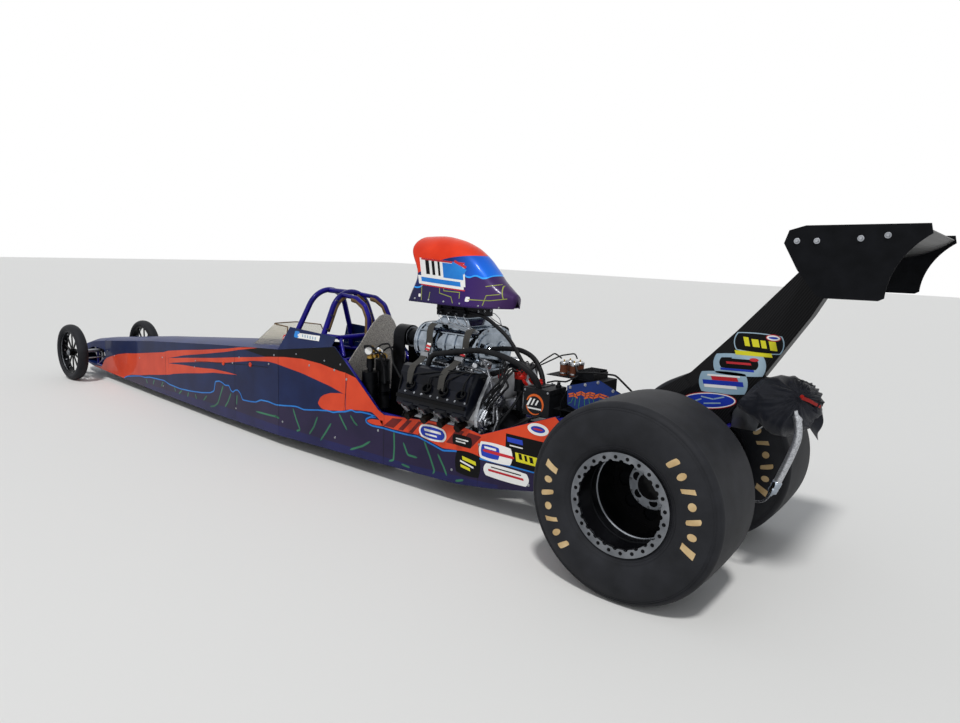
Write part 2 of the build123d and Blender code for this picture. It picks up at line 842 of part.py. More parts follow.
def rear_axle_housing():
    """Centre casting, axle tubes and mounting plates that hold the rear axle in the frame."""
    hub = across(150, -105, 105, 0, rear_radius)
    snout = along(74, 90, 300 - seat_gap, 0, crank_height + 20)
    tubes = across(48, -222, 222, 0, rear_radius)
    front = rear_joints["axle_low"][0] - brace_tube / 2 - seat_gap
    top = rear_joints["axle_high"][2] - brace_tube / 2 - seat_gap
    plates = [block((-110, side * 150 - 7, rear_radius - 130), (front, side * 150 + 7, top)) for side in (-1, 1)]
    cover = along(96, -176, -100, 0, rear_radius)
    body = fused([hub, snout, tubes, *plates, cover])
    return body - across(shaft_radius + pin_clearance, -400, 400, 0, rear_radius)


def axle_shafts():
    """Solid spool shaft with a wheel flange at each end."""
    shaft = across(shaft_radius, -shaft_end + 2, shaft_end - 2, 0, rear_radius)
    pieces = [shaft]
    for side in (-1, 1):
        ends = sorted((side * (shaft_end - flange_thickness), side * shaft_end))
        pieces.append(across(rear_hub_radius, *ends, 0, rear_radius))
    return fused(pieces)


def brake_discs():
    """Vented steel disc with its hat, bolted inside each wheel flange."""
    flange = shaft_end - flange_thickness - seat_gap
    disc = across(disc_radius, disc_place, disc_place + disc_thickness, 0, rear_radius)
    hat = across(disc_hat_radius, disc_place + 1, flange, 0, rear_radius)
    left = disc + hat - across(shaft_radius + seat_gap, 0, 2 * shaft_end, 0, rear_radius)
    holes = []
    for index in range(disc_holes):
        turn = math.radians(360 / disc_holes * index)
        reach = (disc_radius + disc_hat_radius) / 2
        x, z = reach * math.cos(turn), rear_radius + reach * math.sin(turn)
        holes.append(across(disc_hole_radius, disc_place - 5, disc_place + disc_thickness + 5, x, z))
    return both(left - holes)


def rear_tyre(side):
    """Wide treadless racing tyre, a closed ring on its rim seat."""
    half, tread = rear_tyre_width / 2, rear_tread_width / 2
    seat = rear_rim_radius + seat_gap
    inner = rear_rim_width / 2 - 12
    outline = [
        Line((-inner, seat), (inner, seat)),
        Line((inner, seat), (inner + 4, bead_flange_radius + 4)),
        ThreePointArc((inner + 4, bead_flange_radius + 4), (half, rear_radius * 0.72), (tread + 6, rear_radius - 26)),
        ThreePointArc((tread + 6, rear_radius - 26), (tread - 6, rear_radius - 10), (tread - 30, rear_radius - 4)),
        ThreePointArc((tread - 30, rear_radius - 4), (0, rear_radius), (-tread + 30, rear_radius - 4)),
        ThreePointArc((-tread + 30, rear_radius - 4), (-tread + 6, rear_radius - 10), (-tread - 6, rear_radius - 26)),
        ThreePointArc((-tread - 6, rear_radius - 26), (-half, rear_radius * 0.72), (-inner - 4, bead_flange_radius + 4)),
        Line((-inner - 4, bead_flange_radius + 4), (-inner, seat)),
    ]
    face = make_face(outline)
    return spin_face(face, 0, side * (rear_outer_half - half), rear_radius)


def rear_wheel(side):
    """Deep-dished rim with its centre close to the car."""
    width = rear_rim_width / 2
    place = rear_outer_half - rear_tyre_width / 2
    r = rear_rim_radius
    inner = width - 12
    profile = [
        (-width, r - rim_wall),
        (-width, bead_flange_radius),
        (-inner - 4, bead_flange_radius),
        (-inner - 4, r),
        (inner + 4, r),
        (inner + 4, r - rim_wall),
    ]
    rim = spin_face(make_face(Polyline(*profile, close=True)), 0, 0, 0)
    disc = Pos(0, -centre_offset, 0) * Rot(90, 0, 0) * Cylinder(r - rim_wall + 1, centre_thickness)
    windows = []
    for index in range(8):
        window = Rot(0, index * 45, 0) * Pos(0, -centre_offset, 135) * Rot(90, 0, 0) * Cylinder(34, 60)
        windows.append(window)
    disc -= windows
    hub = across(rear_hub_radius, shaft_end + seat_gap - place, -centre_offset + 30, 0, 0)
    wheel = rim + disc + hub
    turned = wheel if side > 0 else mirrored(wheel)
    return Pos(0, side * place, rear_radius) * turned


def bead_rings():
    """Clamping ring on each rear rim's outer edge, scalloped between its bolts."""
    ring = Cylinder(bead_flange_radius + 2, bead_ring_thickness) - Cylinder(bead_ring_inner, 2 * bead_ring_thickness)
    cuts = []
    for index in range(bead_scallops):
        turn = 360 / bead_scallops * index
        cuts.append(Rot(0, 0, turn) * Pos(bead_ring_inner - 3, 0, 0) * Cylinder(11, 2 * bead_ring_thickness))
    ring -= cuts
    width = rear_rim_width / 2
    place = rear_outer_half - rear_tyre_width / 2 + width - 8 + seat_gap + bead_ring_thickness / 2
    left = Pos(0, place, rear_radius) * Rot(90, 0, 0) * ring
    return both(left)


def front_tyre(side):
    half = front_tyre_width / 2
    seat = front_rim_radius + seat_gap
    inner = front_rim_width / 2
    outline = [
        Line((-inner, seat), (inner, seat)),
        ThreePointArc((inner, seat), (half, front_radius - 32), (half - 14, front_radius - 10)),
        ThreePointArc((half - 14, front_radius - 10), (0, front_radius), (-half + 14, front_radius - 10)),
        ThreePointArc((-half + 14, front_radius - 10), (-half, front_radius - 32), (-inner, seat)),
    ]
    return spin_face(make_face(outline), wheelbase, side * front_track_half, front_radius)


def front_rim(side):
    """Light rim with thin paired spokes and a turned hub."""
    half = front_rim_width / 2
    r = front_rim_radius
    profile = [(-half, r), (half, r), (half, r - front_rim_wall), (-half, r - front_rim_wall)]
    rim = spin_face(make_face(Polyline(*profile, close=True)), 0, 0, 0)
    hub = across(front_hub_radius, -28, 36, 0, 0)
    spokes = []
    for index in range(front_spokes):
        spoke = Pos(0, 0, (r - 2) / 2) * Box(spoke_width * 1.8, spoke_width, r - 4)
        spokes.append(Rot(0, 360 / front_spokes * index, 0) * spoke)
    wheel = fused([rim, hub, *spokes]) - across(spindle_radius + pin_clearance, -60, 28, 0, 0)
    turned = wheel if side > 0 else mirrored(wheel)
    return Pos(wheelbase, side * front_track_half, front_radius) * turned


def kingpin_frame(side):
    """Plane at the kingpin's middle with Z along the pin, which leans back at the top."""
    angle = math.radians(caster)
    return Plane(
        origin=(wheelbase, side * kingpin_half, front_radius),
        x_dir=(math.cos(angle), 0, math.sin(angle)),
        z_dir=(-math.sin(angle), 0, math.cos(angle)),
    )


def front_axle():
    """Tube beam with a fork and kingpin at each end, and two clamps that carry it on the frame."""
    pieces = []
    for side in (-1, 1):
        frame = kingpin_frame(side).location
        for level in (-1, 1):
            offset = level * (knuckle_height / 2 + running_gap + ear_height / 2)
            pieces.append(frame * Pos(0, 0, offset) * Cylinder(kingpin_boss, ear_height))
            ear = Pos(0, -side * 30, offset) * Box(26, 60, ear_height)
            pieces.append(frame * ear)
        pieces.append(frame * Cylinder(kingpin_radius, knuckle_height + 2 * ear_height))
        pieces.append(frame * Pos(0, -side * 52, 0) * Box(26, 18, knuckle_height + 2 * ear_height))
        pieces.append(across(axle_tube / 2 + 9, *sorted((side * 56, side * 90)), wheelbase, front_radius))
        pieces.append(block((wheelbase, side * 66 - 8, 108), (wheelbase + 40, side * 66 + 8, front_radius)))
    pieces.append(across(axle_tube / 2, -kingpin_half + 50, kingpin_half - 50, wheelbase, front_radius))
    return fused(pieces)


def knuckle(side):
    """Kingpin sleeve with the wheel spindle and the steering arm."""
    sleeve = Cylinder(kingpin_boss, knuckle_height)
    offset = front_track_half - kingpin_half
    place = kingpin_frame(side)
    arm = Pos(-arm_length / 2, 0, -knuckle_height / 2 + arm_thickness / 2) * Box(arm_length, 20, arm_thickness)
    eye = Pos(-arm_length, 0, -knuckle_height / 2 + arm_thickness / 2) * Cylinder(13, arm_thickness)
    stud = Pos(-arm_length, 0, -knuckle_height / 2 - 10) * Cylinder(stud_radius, 24)
    turned = place.location * fused([sleeve, arm, eye, stud])
    spindle = across(spindle_radius, *sorted((side * (kingpin_half + 8), side * (front_track_half + 26))), wheelbase, front_radius)
    body = turned + spindle
    return body - place.location * Cylinder(kingpin_radius + pin_clearance, 4 * knuckle_height)


def tie_rod():
    """Rod across the car between the two steering arms' studs."""
    level = -knuckle_height / 2 - running_gap - tie_eye_height / 2
    left, right = kingpin_frame(1), kingpin_frame(-1)
    pieces = []
    ends = []
    for frame in (left, right):
        eye = Pos(-arm_length, 0, level) * (Cylinder(tie_eye_radius, tie_eye_height))
        pieces.append(frame.location * eye)
        ends.append((frame.location * Pos(-arm_length, 0, level)).position)
    rod = tube(tuple(ends[0]), tuple(ends[1]), tie_rod_diameter)
    body = fused([*pieces, rod])
    for frame, clearance in ((left, pin_clearance), (right, open_end_clearance)):
        body -= frame.location * Pos(-arm_length, 0, level) * Cylinder(stud_radius + clearance, 4 * tie_eye_height)
    return body


def wing_face():
    lower = ThreePointArc(wing_lead, wing_lower, wing_trail)
    upper = ThreePointArc((wing_trail[0], wing_trail[1] + 4), wing_upper, (wing_lead[0], wing_lead[1] + 26))
    nose = ThreePointArc((wing_lead[0], wing_lead[1] + 26), (wing_lead[0] + 12, wing_lead[1] + 13), wing_lead)
    tail = Line(wing_trail, (wing_trail[0], wing_trail[1] + 4))
    return make_face([lower, tail, upper, nose])


def wing_element():
    """Cambered wing between the end plates."""
    half = plate_half_span - plate_thickness - seat_gap
    return extrude(Plane.XZ.offset(-half) * wing_face(), 2 * half)


def leading_bevel(low, high):
    """Wedge that bevels the left side of the blade's leading edge between two (x, z) points."""
    run = math.hypot(high[0] - low[0], high[1] - low[1])
    section = Polyline((1, pylon_half - bevel_rise), (1, pylon_half + 1), (-bevel_run, pylon_half + 1), (-bevel_run, pylon_half), close=True)
    ahead = (high[1] - low[1], 0, low[0] - high[0])
    plane = Plane(origin=(low[0], 0, low[1]), x_dir=ahead, z_dir=(high[0] - low[0], 0, high[1] - low[1]))
    turned = plane if plane.y_dir.Y > 0 else Plane(origin=plane.origin, x_dir=ahead, z_dir=(low[0] - high[0], 0, low[1] - high[1]))
    wedge = extrude(turned * make_face(section), run + 40 if turned is plane else -(run + 40))
    back = extrude(turned * make_face(section), -40 if turned is plane else 40)
    return wedge + back


def pylon():
    """Single streamlined upright, leaning back from a long foot on the frame to the wing."""
    tail = rear_joints["tail_high"][2] + brace_tube / 2 + seat_gap
    front = rear_joints["axle_high"][2] + brace_tube / 2 + seat_gap
    outline = [
        (151, 812),
        (-8, 926),
        (-193, 1131),
        (-317, 1278),
        (-427, 1409),
        (-554, 1560),
        (-671, 1560),
        (-512, 1237),
        (-343, 952),
        (-215, 760),
        (-232, tail),
        (-200, tail),
        (30, front),
        (90, front),
    ]
    blade = side_plate(outline, -pylon_half, 2 * pylon_half)
    # Bevels along the leading edge, cut by a wedge on each side of each straight run
    for (x, z), (x_next, z_next) in zip(outline[:5], outline[1:6]):
        blade = blade - leading_bevel((x, z), (x_next, z_next)) - mirrored(leading_bevel((x, z), (x_next, z_next)))
    # Everything above the wing's underside, less the seat gap, is cut off the blade
    lead, lowest, trail = [(x, z - seat_gap) for x, z in (wing_lead, wing_lower, wing_trail)]
    under = ThreePointArc(lead, lowest, trail)
    cap = Polyline(trail, (trail[0], 1700), (lead[0], 1700), lead)
    cutter = extrude(Plane.XZ.offset(-200) * make_face([under, cap]), 400)
    return blade - cutter


def end_plates():
    """Flat end plates, cut back in a curve behind the wing."""
    front = Polyline(
        (-946, 1573),
        (-938, 1606),
        (-560, 1594),
        (-505, 1576),
        (-491, 1529),
        (-546, 1434),
        (-618, 1348),
        (-640, 1339),
        (-815, 1342),
        (-832, 1352),
    )
    rear = ThreePointArc((-832, 1352), (-862, 1475), (-946, 1573))
    face = make_face([front, rear])
    plate = extrude(Plane.XZ.offset(-(plate_half_span - plate_thickness)) * face, -plate_thickness)
    return both(plate)


def chute_pack():
    """Bag of the packed parachute, full behind the pylon and gathered at its rear mouth."""
    # Sections: distance, half width, lowest point, highest point
    rows = [
        (-232, 84, 800, 888),
        (-330, 104, 757, 944),
        (-400, 118, 700, 955),
        (-480, 120, 702, 957),
        (-540, 92, 764, 934),
        (-582, 34, 828, 876),
    ]
    faces = []
    for x, half, low, high in rows:
        plane = Plane(origin=(x, 0, (low + high) / 2), x_dir=(0, 1, 0), z_dir=(-1, 0, 0))
        faces.append(plane * Ellipse(half, (high - low) / 2))
    bag = loft(faces, ruled=True)
    # The bag lies flat against the pylon's trailing edge
    ahead = [(-215 - seat_gap * 1.2, 760), (-343 - seat_gap * 1.2, 952), (-420, 1080), (0, 1080), (0, 600), (-108, 600)]
    bag = bag - side_plate(ahead, -300, 600)
    return bag - chute_bracket_body(seat_gap)


def chute_bracket_body(grown=0):
    """Two side plates on a tray behind the pylon's foot, or the same grown on every face."""
    x, _, z = rear_joints["tail_high"]
    front = x - brace_tube / 2 - seat_gap
    outline = [(front, z), (front, 775), (-262, 824), (-312, 790), (-352, 757), (-340, z)]
    body = block((-340 - grown, -54 - grown, z - 3 - grown), (front + grown, 54 + grown, z + 3 + grown))
    for y in (-54, 50):
        body += side_plate(outline, y - grown, bracket_plate + 2 * grown)
    return body


def chute_bracket():
    return chute_bracket_body()


# The parachute's tether, left side: points of the sleeve and of the cable to the axle housing
sleeve_diameter = 34
sleeve_route = [(-505, 92, 836), (-534, 96, 752), (-514, 100, 655), (-484, 102, 560), (-458, 103, 484)]
cable_diameter = 12
cable_route = [
    (-444.8, 103.5, 449.2),
    (-430, 103, 413),
    (-384, 98, 392),
    (-316, 88, 396),
    (-244, 74, 416),
    (-176.3, 62, 428),
]
fitting_length = 36
fitting_radius = 21


def bend_radii(points):
    """Largest arc each corner of a route takes: 0.45 of the shorter run over the tangent of half the turn."""
    radii = []
    for before, here, after in zip(points, points[1:], points[2:]):
        first, second = vec(here) - vec(before), vec(after) - vec(here)
        half_turn = math.radians(first.get_angle(second)) / 2
        radii.append(0.45 * min(first.length, second.length) / math.tan(half_turn))
    return radii


def hose(points, diameter):
    """Flexible line of straight runs joined by tangent arcs."""
    path = FilletPolyline(*points, radius=bend_radii(points))
    return sweep(Plane(origin=path @ 0, z_dir=path % 0) * Circle(diameter / 2), path=path)


def chute_tether():
    """Sleeve hanging from the bag to its end fitting, and the cable from there to the axle housing."""
    for name, route in (("sleeve", sleeve_route), ("cable", cable_route)):
        print("tether", name, "arc radii", [round(radius) for radius in bend_radii(route)])
    end = vec(sleeve_route[-1])
    along_end = (end - vec(sleeve_route[-2])).normalized()
    face = Plane(origin=end + along_end * seat_gap, z_dir=along_end)
    fitting = extrude(face * Circle(fitting_radius), fitting_length)
    return Compound(children=[hose(sleeve_route, sleeve_diameter), fitting, hose(cable_route, cable_diameter)])


# Routes of the engine's hoses: diameter and points
hose_routes = [
    (32, [(1478, 262, 760), (1452, 256, 846), (1290, 250, 880), (1096, 250, 916), (950, 250, 904), (815, 246, 866), (738, 222, 806), (722, 196, 720)]),
    (28, [(1215, 48, 886), (1090, 50, 908), (962, 50, 916), (866, 56, 884), (800, 72, 806), (768, 96, 720)]),
    (22, [(1312, 104, 1100), (1180, 108, 1086), (1003, 117, 986), (900, 122, 862), (820, 138, 786), (752, 146, 720)]),
]


def engine_hoses():
    return Compound(children=[hose(points, diameter) for diameter, points in hose_routes])


def gas_bottle():
    x, y = bottle_place
    bottle = Pos(x, y, tank_low + 130) * Cylinder(bottle_radius, 260)
    neck = Pos(x, y, tank_low + 272) * Cylinder(18, 26)
    valve = Pos(x, y, tank_low + 314) * Cylinder(26, 62)
    return bottle + neck + valve


def canister():
    return Pos(*canister_place, tank_low + 160) * Cylinder(canister_radius, 320)


def tank_brackets():
    """Two clamp bands round each tank, with arms to the plate behind the driver."""
    bands = []
    ahead = shield_plane().location * Pos(0, -300, 200 - seat_gap) * Box(800, 1000, 400)
    for (x, y), radius in ((bottle_place, bottle_radius), (canister_place, canister_radius)):
        for level in (500, 570):
            ring = Pos(x, y, level) * (Cylinder(radius + 4, 24) - Cylinder(radius + seat_gap, 30))
            arm = block((x + radius + 1, y - 15, level - 12), (shield_place + 200, y + 15, level + 12))
            bands.append(ring + (arm - ahead))
    return Compound(children=bands)


def battery_box():
    low = rear_joints["kick_high"][2] + brace_tube / 2 + seat_gap
    return block((652, 60, low), (814, 220, low + 146))


def coil_packs():
    coils = []
    for index in range(4):
        coils.append(Pos(620 + (index % 2) * 62, -20 + (index // 2) * 62, shelf_top + seat_gap + 35) * Cylinder(22, 70))
    return Compound(children=coils)


def rear_cover():
    """Folded cover over the coupler with a shelf for the coils."""
    low = rear_joints["axle_high"][2] + main_tube / 2 + seat_gap
    base = block((100, -206, low), (455, 206, low + 4))
    outline = [(230, low), (230, 788), (377, 850), (560, 794), (553, 695), (455, low)]
    wall = side_plate(outline, 202, 4)
    post = block((430, -90, low), (434, 90, shelf_top))
    shelf = block((430, -90, shelf_top - 4), (shelf_front, 90, shelf_top))
    return fused([base, wall, post, shelf])


def magneto():
    low = magneto_foot + seat_gap
    neck = Pos(magneto_place, 0, (low + 670) / 2) * Cylinder(20, 670 - low)
    return neck + Pos(magneto_place, 0, (669 + magneto_top) / 2) * Cylinder(magneto_radius, magneto_top - 669)


# Each piece's node name and its maker
makers = {
    "frame_front": frame_front,
    "frame_rear": frame_rear,
    "roll_cage": roll_cage,
    "nose_cover": nose_cover,
    "top_deck": top_deck,
    "side_panel_left": front_side_panel,
    "side_panel_right": lambda: mirrored(front_side_panel()),
    "cockpit_panel_left": cockpit_side_panel,
    "cockpit_panel_right": lambda: mirrored(cockpit_side_panel()),
    "engine_panel_left": engine_side_panel,
    "engine_panel_right": lambda: mirrored(engine_side_panel()),
    "belly_pan": belly_pan,
    "cowl": cowl,
    "windscreen": windscreen,
    "seat": seat,
    "blast_shield": blast_shield,
    "column_mount": column_mount,
    "steering_wheel": steering_wheel,
    "engine_block": engine_block,
    "cylinder_heads": cylinder_heads,
    "valve_covers": valve_covers,
    "exhaust_headers": headers,
    "intake_manifold": intake,
    "blower": blower,
    "blower_drive": blower_drive,
    "injector_adapter": injector_adapter,
    "scoop": scoop,
    "bellhousing": bellhousing,
    "transmission": transmission,
    "rear_axle_housing": rear_axle_housing,
    "axle_shafts": axle_shafts,
    "brake_discs": brake_discs,
    "rear_tyre_left": lambda: rear_tyre(1),
    "rear_tyre_right": lambda: rear_tyre(-1),
    "rear_wheel_left": lambda: rear_wheel(1),
    "rear_wheel_right": lambda: rear_wheel(-1),
    "bead_rings": bead_rings,
    "front_axle": front_axle,
    "knuckle_left": lambda: knuckle(1),
    "knuckle_right": lambda: knuckle(-1),
    "tie_rod": tie_rod,
    "front_tyre_left": lambda: front_tyre(1),
    "front_tyre_right": lambda: front_tyre(-1),
    "front_rim_left": lambda: front_rim(1),
    "front_rim_right": lambda: front_rim(-1),
    "wing_element": wing_element,
    "wing_pylon": pylon,
    "wing_end_plates": end_plates,
    "chute_pack": chute_pack,
    "chute_bracket": chute_bracket,
    "gas_bottle": gas_bottle,
    "canister": canister,
    "tank_brackets": tank_brackets,
    "battery_box": battery_box,
    "coil_packs": coil_packs,
    "rear_cover": rear_cover,
    "magneto": magneto,
    "engine_hoses": engine_hoses,
    "chute_tether": chute_tether,
}

if __name__ == "__main__":
    for node, maker in makers.items():
        export_step(Pos(-origin_x, 0, 0) * maker(), f"parts/{node}.step")
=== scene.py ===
# Looks of a drag racing car: paint, trim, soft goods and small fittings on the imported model.
import math

import bmesh
import bpy
import numpy as np
from mathutils import Matrix, Vector


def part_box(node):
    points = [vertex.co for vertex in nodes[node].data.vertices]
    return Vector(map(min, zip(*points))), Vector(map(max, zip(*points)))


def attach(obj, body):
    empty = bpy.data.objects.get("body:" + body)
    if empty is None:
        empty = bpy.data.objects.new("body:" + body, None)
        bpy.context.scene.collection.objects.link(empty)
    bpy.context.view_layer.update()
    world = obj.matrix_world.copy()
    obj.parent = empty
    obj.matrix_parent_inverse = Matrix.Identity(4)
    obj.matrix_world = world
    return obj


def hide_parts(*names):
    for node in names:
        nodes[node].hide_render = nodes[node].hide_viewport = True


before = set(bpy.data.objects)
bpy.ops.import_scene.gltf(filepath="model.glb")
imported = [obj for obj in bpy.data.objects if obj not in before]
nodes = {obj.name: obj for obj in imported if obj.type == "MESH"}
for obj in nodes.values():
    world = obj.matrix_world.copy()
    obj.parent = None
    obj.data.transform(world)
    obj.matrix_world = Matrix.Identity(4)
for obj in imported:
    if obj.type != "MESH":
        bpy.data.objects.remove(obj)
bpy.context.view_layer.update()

# Lengths along the car are written from the rear axle, as they are measured, and moved once here
tyreLow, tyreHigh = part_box("rear_tyre_left")
axleX = (tyreLow[0] + tyreHigh[0]) / 2
print("frame loaded, rear axle at", round(axleX, 3))


# Tools for meshes

def placed(points):
    # adds the rear axle's place to an array of points
    return np.asarray(points, float) + np.array([axleX, 0, 0])


def editMesh(mesh, change):
    # opens a mesh for editing, lets a function change it, and closes it again
    form = bmesh.new()
    form.from_mesh(mesh)
    change(form)
    form.to_mesh(mesh)
    form.free()


def turnOutward(form):
    # faces of closed shapes look away from their inside
    bmesh.ops.recalc_face_normals(form, faces=form.faces)


def meshPoints(mesh):
    # the mesh's points as rows of x, y, z
    points = np.empty(len(mesh.vertices) * 3)
    mesh.vertices.foreach_get("co", points)
    return points.reshape(-1, 3)


def addMesh(name, verts, faces, material, body="chassis", smooth=False, outward=False):
    # puts whole arrays of points and faces into one object at the origin, riding on a body
    mesh = bpy.data.meshes.new(name)
    faces = faces if isinstance(faces, list) else np.asarray(faces).tolist()
    mesh.from_pydata(np.asarray(verts).tolist(), [], faces)
    mesh.update()
    if outward:
        editMesh(mesh, turnOutward)
    piece = bpy.data.objects.new(name, mesh)
    bpy.context.scene.collection.objects.link(piece)
    for entry in material if isinstance(material, (list, tuple)) else [material]:
        mesh.materials.append(entry)
    mesh.polygons.foreach_set("use_smooth", np.full(len(mesh.polygons), smooth))
    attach(piece, body)
    return piece


def gridFaces(rows, cols, wrapCols=False):
    # quads between neighbouring rows and columns of a grid of points, row after row
    last = cols if wrapCols else cols - 1
    r, c = np.meshgrid(np.arange(rows - 1), np.arange(last), indexing="ij")
    c2 = (c + 1) % cols
    quads = np.stack([r * cols + c, r * cols + c2, (r + 1) * cols + c2, (r + 1) * cols + c], -1)
    return quads.reshape(-1, 4)


def lathe(profile, segments=48):
    # profile of (radius, height) turned about Z: x = r cos a, y = r sin a, with both ends closed by a point
    profile = np.asarray(profile, float)
    a = np.linspace(0, 2 * np.pi, segments, endpoint=False)
    ring = np.stack([np.cos(a), np.sin(a)], -1)
    verts = np.concatenate([
        (profile[:, :1, None] * ring[None]).reshape(len(profile), segments, 2),
        np.repeat(profile[:, 1], segments).reshape(len(profile), segments, 1)], -1).reshape(-1, 3)
    faces = gridFaces(len(profile), segments, True).tolist()
    low, high = len(verts), len(verts) + 1
    verts = np.vstack([verts, [[0, 0, profile[0, 1]], [0, 0, profile[-1, 1]]]])
    top = (len(profile) - 1) * segments
    faces += [[low, (k + 1) % segments, k] for k in range(segments)]
    faces += [[high, top + k, top + (k + 1) % segments] for k in range(segments)]
    return verts, faces


def turnTo(axis):
    # matrix whose third column is the axis, so that a shape made along Z lies along it
    return np.array(Vector(axis).to_track_quat("Z", "Y").to_matrix())


def repeated(shape, places, axes, scales=None):
    # the same small shape copied to many places, each turned to its own axis: p = place + R v
    verts, faces = shape
    allVerts, allFaces = [], []
    for index, (place, axis) in enumerate(zip(places, axes)):
        scale = 1 if scales is None else scales[index]
        allVerts.append(verts * scale @ turnTo(axis).T + np.asarray(place))
        allFaces += [[i + index * len(verts) for i in f] for f in faces]
    return np.vstack(allVerts), allFaces


def turned(profile, segments, place, axis):
    # one lathe shape standing at a place along an axis
    return repeated(lathe(profile, segments), [place], [axis])


def joined(shapes):
    # several shapes as one list of points and faces
    verts, faces, start = [], [], 0
    for v, f in shapes:
        verts.append(np.asarray(v, float))
        faces += [[int(i) + start for i in face] for face in f]
        start += len(v)
    return np.vstack(verts), faces


def sweepRound(path, radius, sides):
    # circle carried along a path: p = c(t) + r (cos a n + sin a b), with frames carried from point to point
    path = np.asarray(path, float)
    tangents = np.gradient(path, axis=0)
    tangents /= np.linalg.norm(tangents, axis=1, keepdims=True)
    up = np.array([0, 0, 1.0]) if abs(tangents[0, 2]) < 0.9 else np.array([1.0, 0, 0])
    normals = [np.cross(tangents[0], up)]
    for t in tangents[1:]:
        n = normals[-1] - t * np.dot(normals[-1], t)
        normals.append(n / np.linalg.norm(n))
    normals = np.array(normals)
    normals[0] /= np.linalg.norm(normals[0])
    binormals = np.cross(tangents, normals)
    a = np.linspace(0, 2 * np.pi, sides, endpoint=False)
    radius = np.broadcast_to(np.asarray(radius, float), len(path))
    ring = np.cos(a)[None, :, None] * normals[:, None] + np.sin(a)[None, :, None] * binormals[:, None]
    verts = (path[:, None] + radius[:, None, None] * ring).reshape(-1, 3)
    faces = gridFaces(len(path), sides, True)[:, ::-1].tolist()
    faces.append(list(range(sides)))
    faces.append([(len(path) - 1) * sides + k for k in range(sides)][::-1])
    return verts, faces


def smoothPath(points, count):
    # a soft line through a few points: straight interpolation by length, then averaged along itself
    points = np.asarray(points, float)
    run = np.concatenate([[0], np.cumsum(np.linalg.norm(np.diff(points, axis=0), axis=1))])
    t = np.linspace(0, run[-1], count)
    line = np.stack([np.interp(t, run, points[:, k]) for k in range(points.shape[1])], -1)
    width = max(3, count // (2 * len(points)) | 1)
    pad = width // 2
    ends = np.vstack([2 * line[0] - line[pad:0:-1], line, 2 * line[-1] - line[-2:-pad - 2:-1]])
    kernel = np.hanning(width + 2)[1:-1]
    kernel /= kernel.sum()
    soft = np.stack([np.convolve(ends[:, k], kernel, "valid") for k in range(points.shape[1])], -1)
    soft[0], soft[-1] = points[0], points[-1]
    return soft


def addParts(name, shapes, material, body="chassis", smooth=False, outward=True):
    # several shapes, written from the rear axle, as one piece; the faces of closed ones are turned outward
    verts, faces = joined(shapes)
    return addMesh(name, placed(verts), faces, material, body, smooth, outward)


def giveSkin(piece, thickness, offset=1):
    # turns an open sheet into a closed one of this thickness
    skin = piece.modifiers.new("skin", "SOLIDIFY")
    skin.thickness, skin.offset = thickness, offset
    return keepShape(piece)


def keepShape(piece):
    # puts the result of the piece's modifiers into its mesh
    bpy.context.view_layer.update()
    graph = bpy.context.evaluated_depsgraph_get()
    mesh = bpy.data.meshes.new_from_object(piece.evaluated_get(graph))
    piece.modifiers.clear()
    piece.data = mesh
    return piece


# Tools for materials

def toLinear(hexColour):
    # sRGB hex to the linear colour that the shader reads
    value = np.array([int(hexColour[i:i + 2], 16) / 255 for i in (1, 3, 5)])
    linear = np.where(value <= 0.04045, value / 12.92, ((value + 0.055) / 1.055) ** 2.4)
    return (*linear.tolist(), 1.0)


def addNode(tree, kind, settings=None, links=None):
    # adds one node, sets its own settings or sockets, and links sockets from others
    node = tree.nodes.new("ShaderNode" + kind)
    for name, value in (settings or {}).items():
        if isinstance(name, int) or (name in node.inputs and not hasattr(node, name)):
            node.inputs[name].default_value = value
        else:
            setattr(node, name, value)
    for name, source in (links or {}).items():
        tree.links.new(source, node.inputs[name])
    return node


def startMaterial(name, shaderSettings):
    # an empty material with its Principled shader, and Object coordinates for its patterns
    material = bpy.data.materials.new(name)
    material.use_nodes = True
    tree = material.node_tree
    shader = tree.nodes["Principled BSDF"]
    for socket, value in shaderSettings.items():
        shader.inputs[socket].default_value = value
    coords = addNode(tree, "TexCoord")
    return material, tree, shader, coords.outputs["Object"]


def noiseFrom(tree, coords, scale, detail):
    # cloudy pattern of this many patches to the metre
    return addNode(tree, "TexNoise", {"Scale": scale, "Detail": detail}, {"Vector": coords}).outputs["Fac"]


def sumFrom(tree, operation, *values):
    # one step of arithmetic on sockets or plain numbers
    node = addNode(tree, "Math", {"operation": operation})
    for index, value in enumerate(values):
        if isinstance(value, (int, float)):
            node.inputs[index].default_value = value
        else:
            tree.links.new(value, node.inputs[index])
    return node.outputs[0]


def spanFrom(tree, value, span, to=(0.0, 1.0)):
    # carries a value from one span to another in a straight line, held at the ends
    limits = {"From Min": span[0], "From Max": span[1], "To Min": to[0], "To Max": to[1]}
    return addNode(tree, "MapRange", limits, {"Value": value}).outputs["Result"]


def mixFrom(tree, share, one, two):
    # colour one where the share is 0, colour two where it is 1
    return addNode(tree, "MixRGB", None, {"Fac": share, "Color1": one, "Color2": two}).outputs["Color"]


def axesFrom(tree, coords):
    # the three coordinates as sockets of their own
    return addNode(tree, "SeparateXYZ", None, {"Vector": coords}).outputs


def rampFrom(tree, value, stops):
    # colour read at a value from a ramp with stops of (place, hex colour)
    node = addNode(tree, "ValToRGB", None, {"Fac": value})
    ramp = node.color_ramp
    while len(ramp.elements) > len(stops):
        ramp.elements.remove(ramp.elements[-1])
    while len(ramp.elements) < len(stops):
        ramp.elements.new(1.0)
    for element, (place, colour) in zip(ramp.elements, stops):
        element.position = place
        element.color = toLinear(colour)
    return node.outputs["Color"]


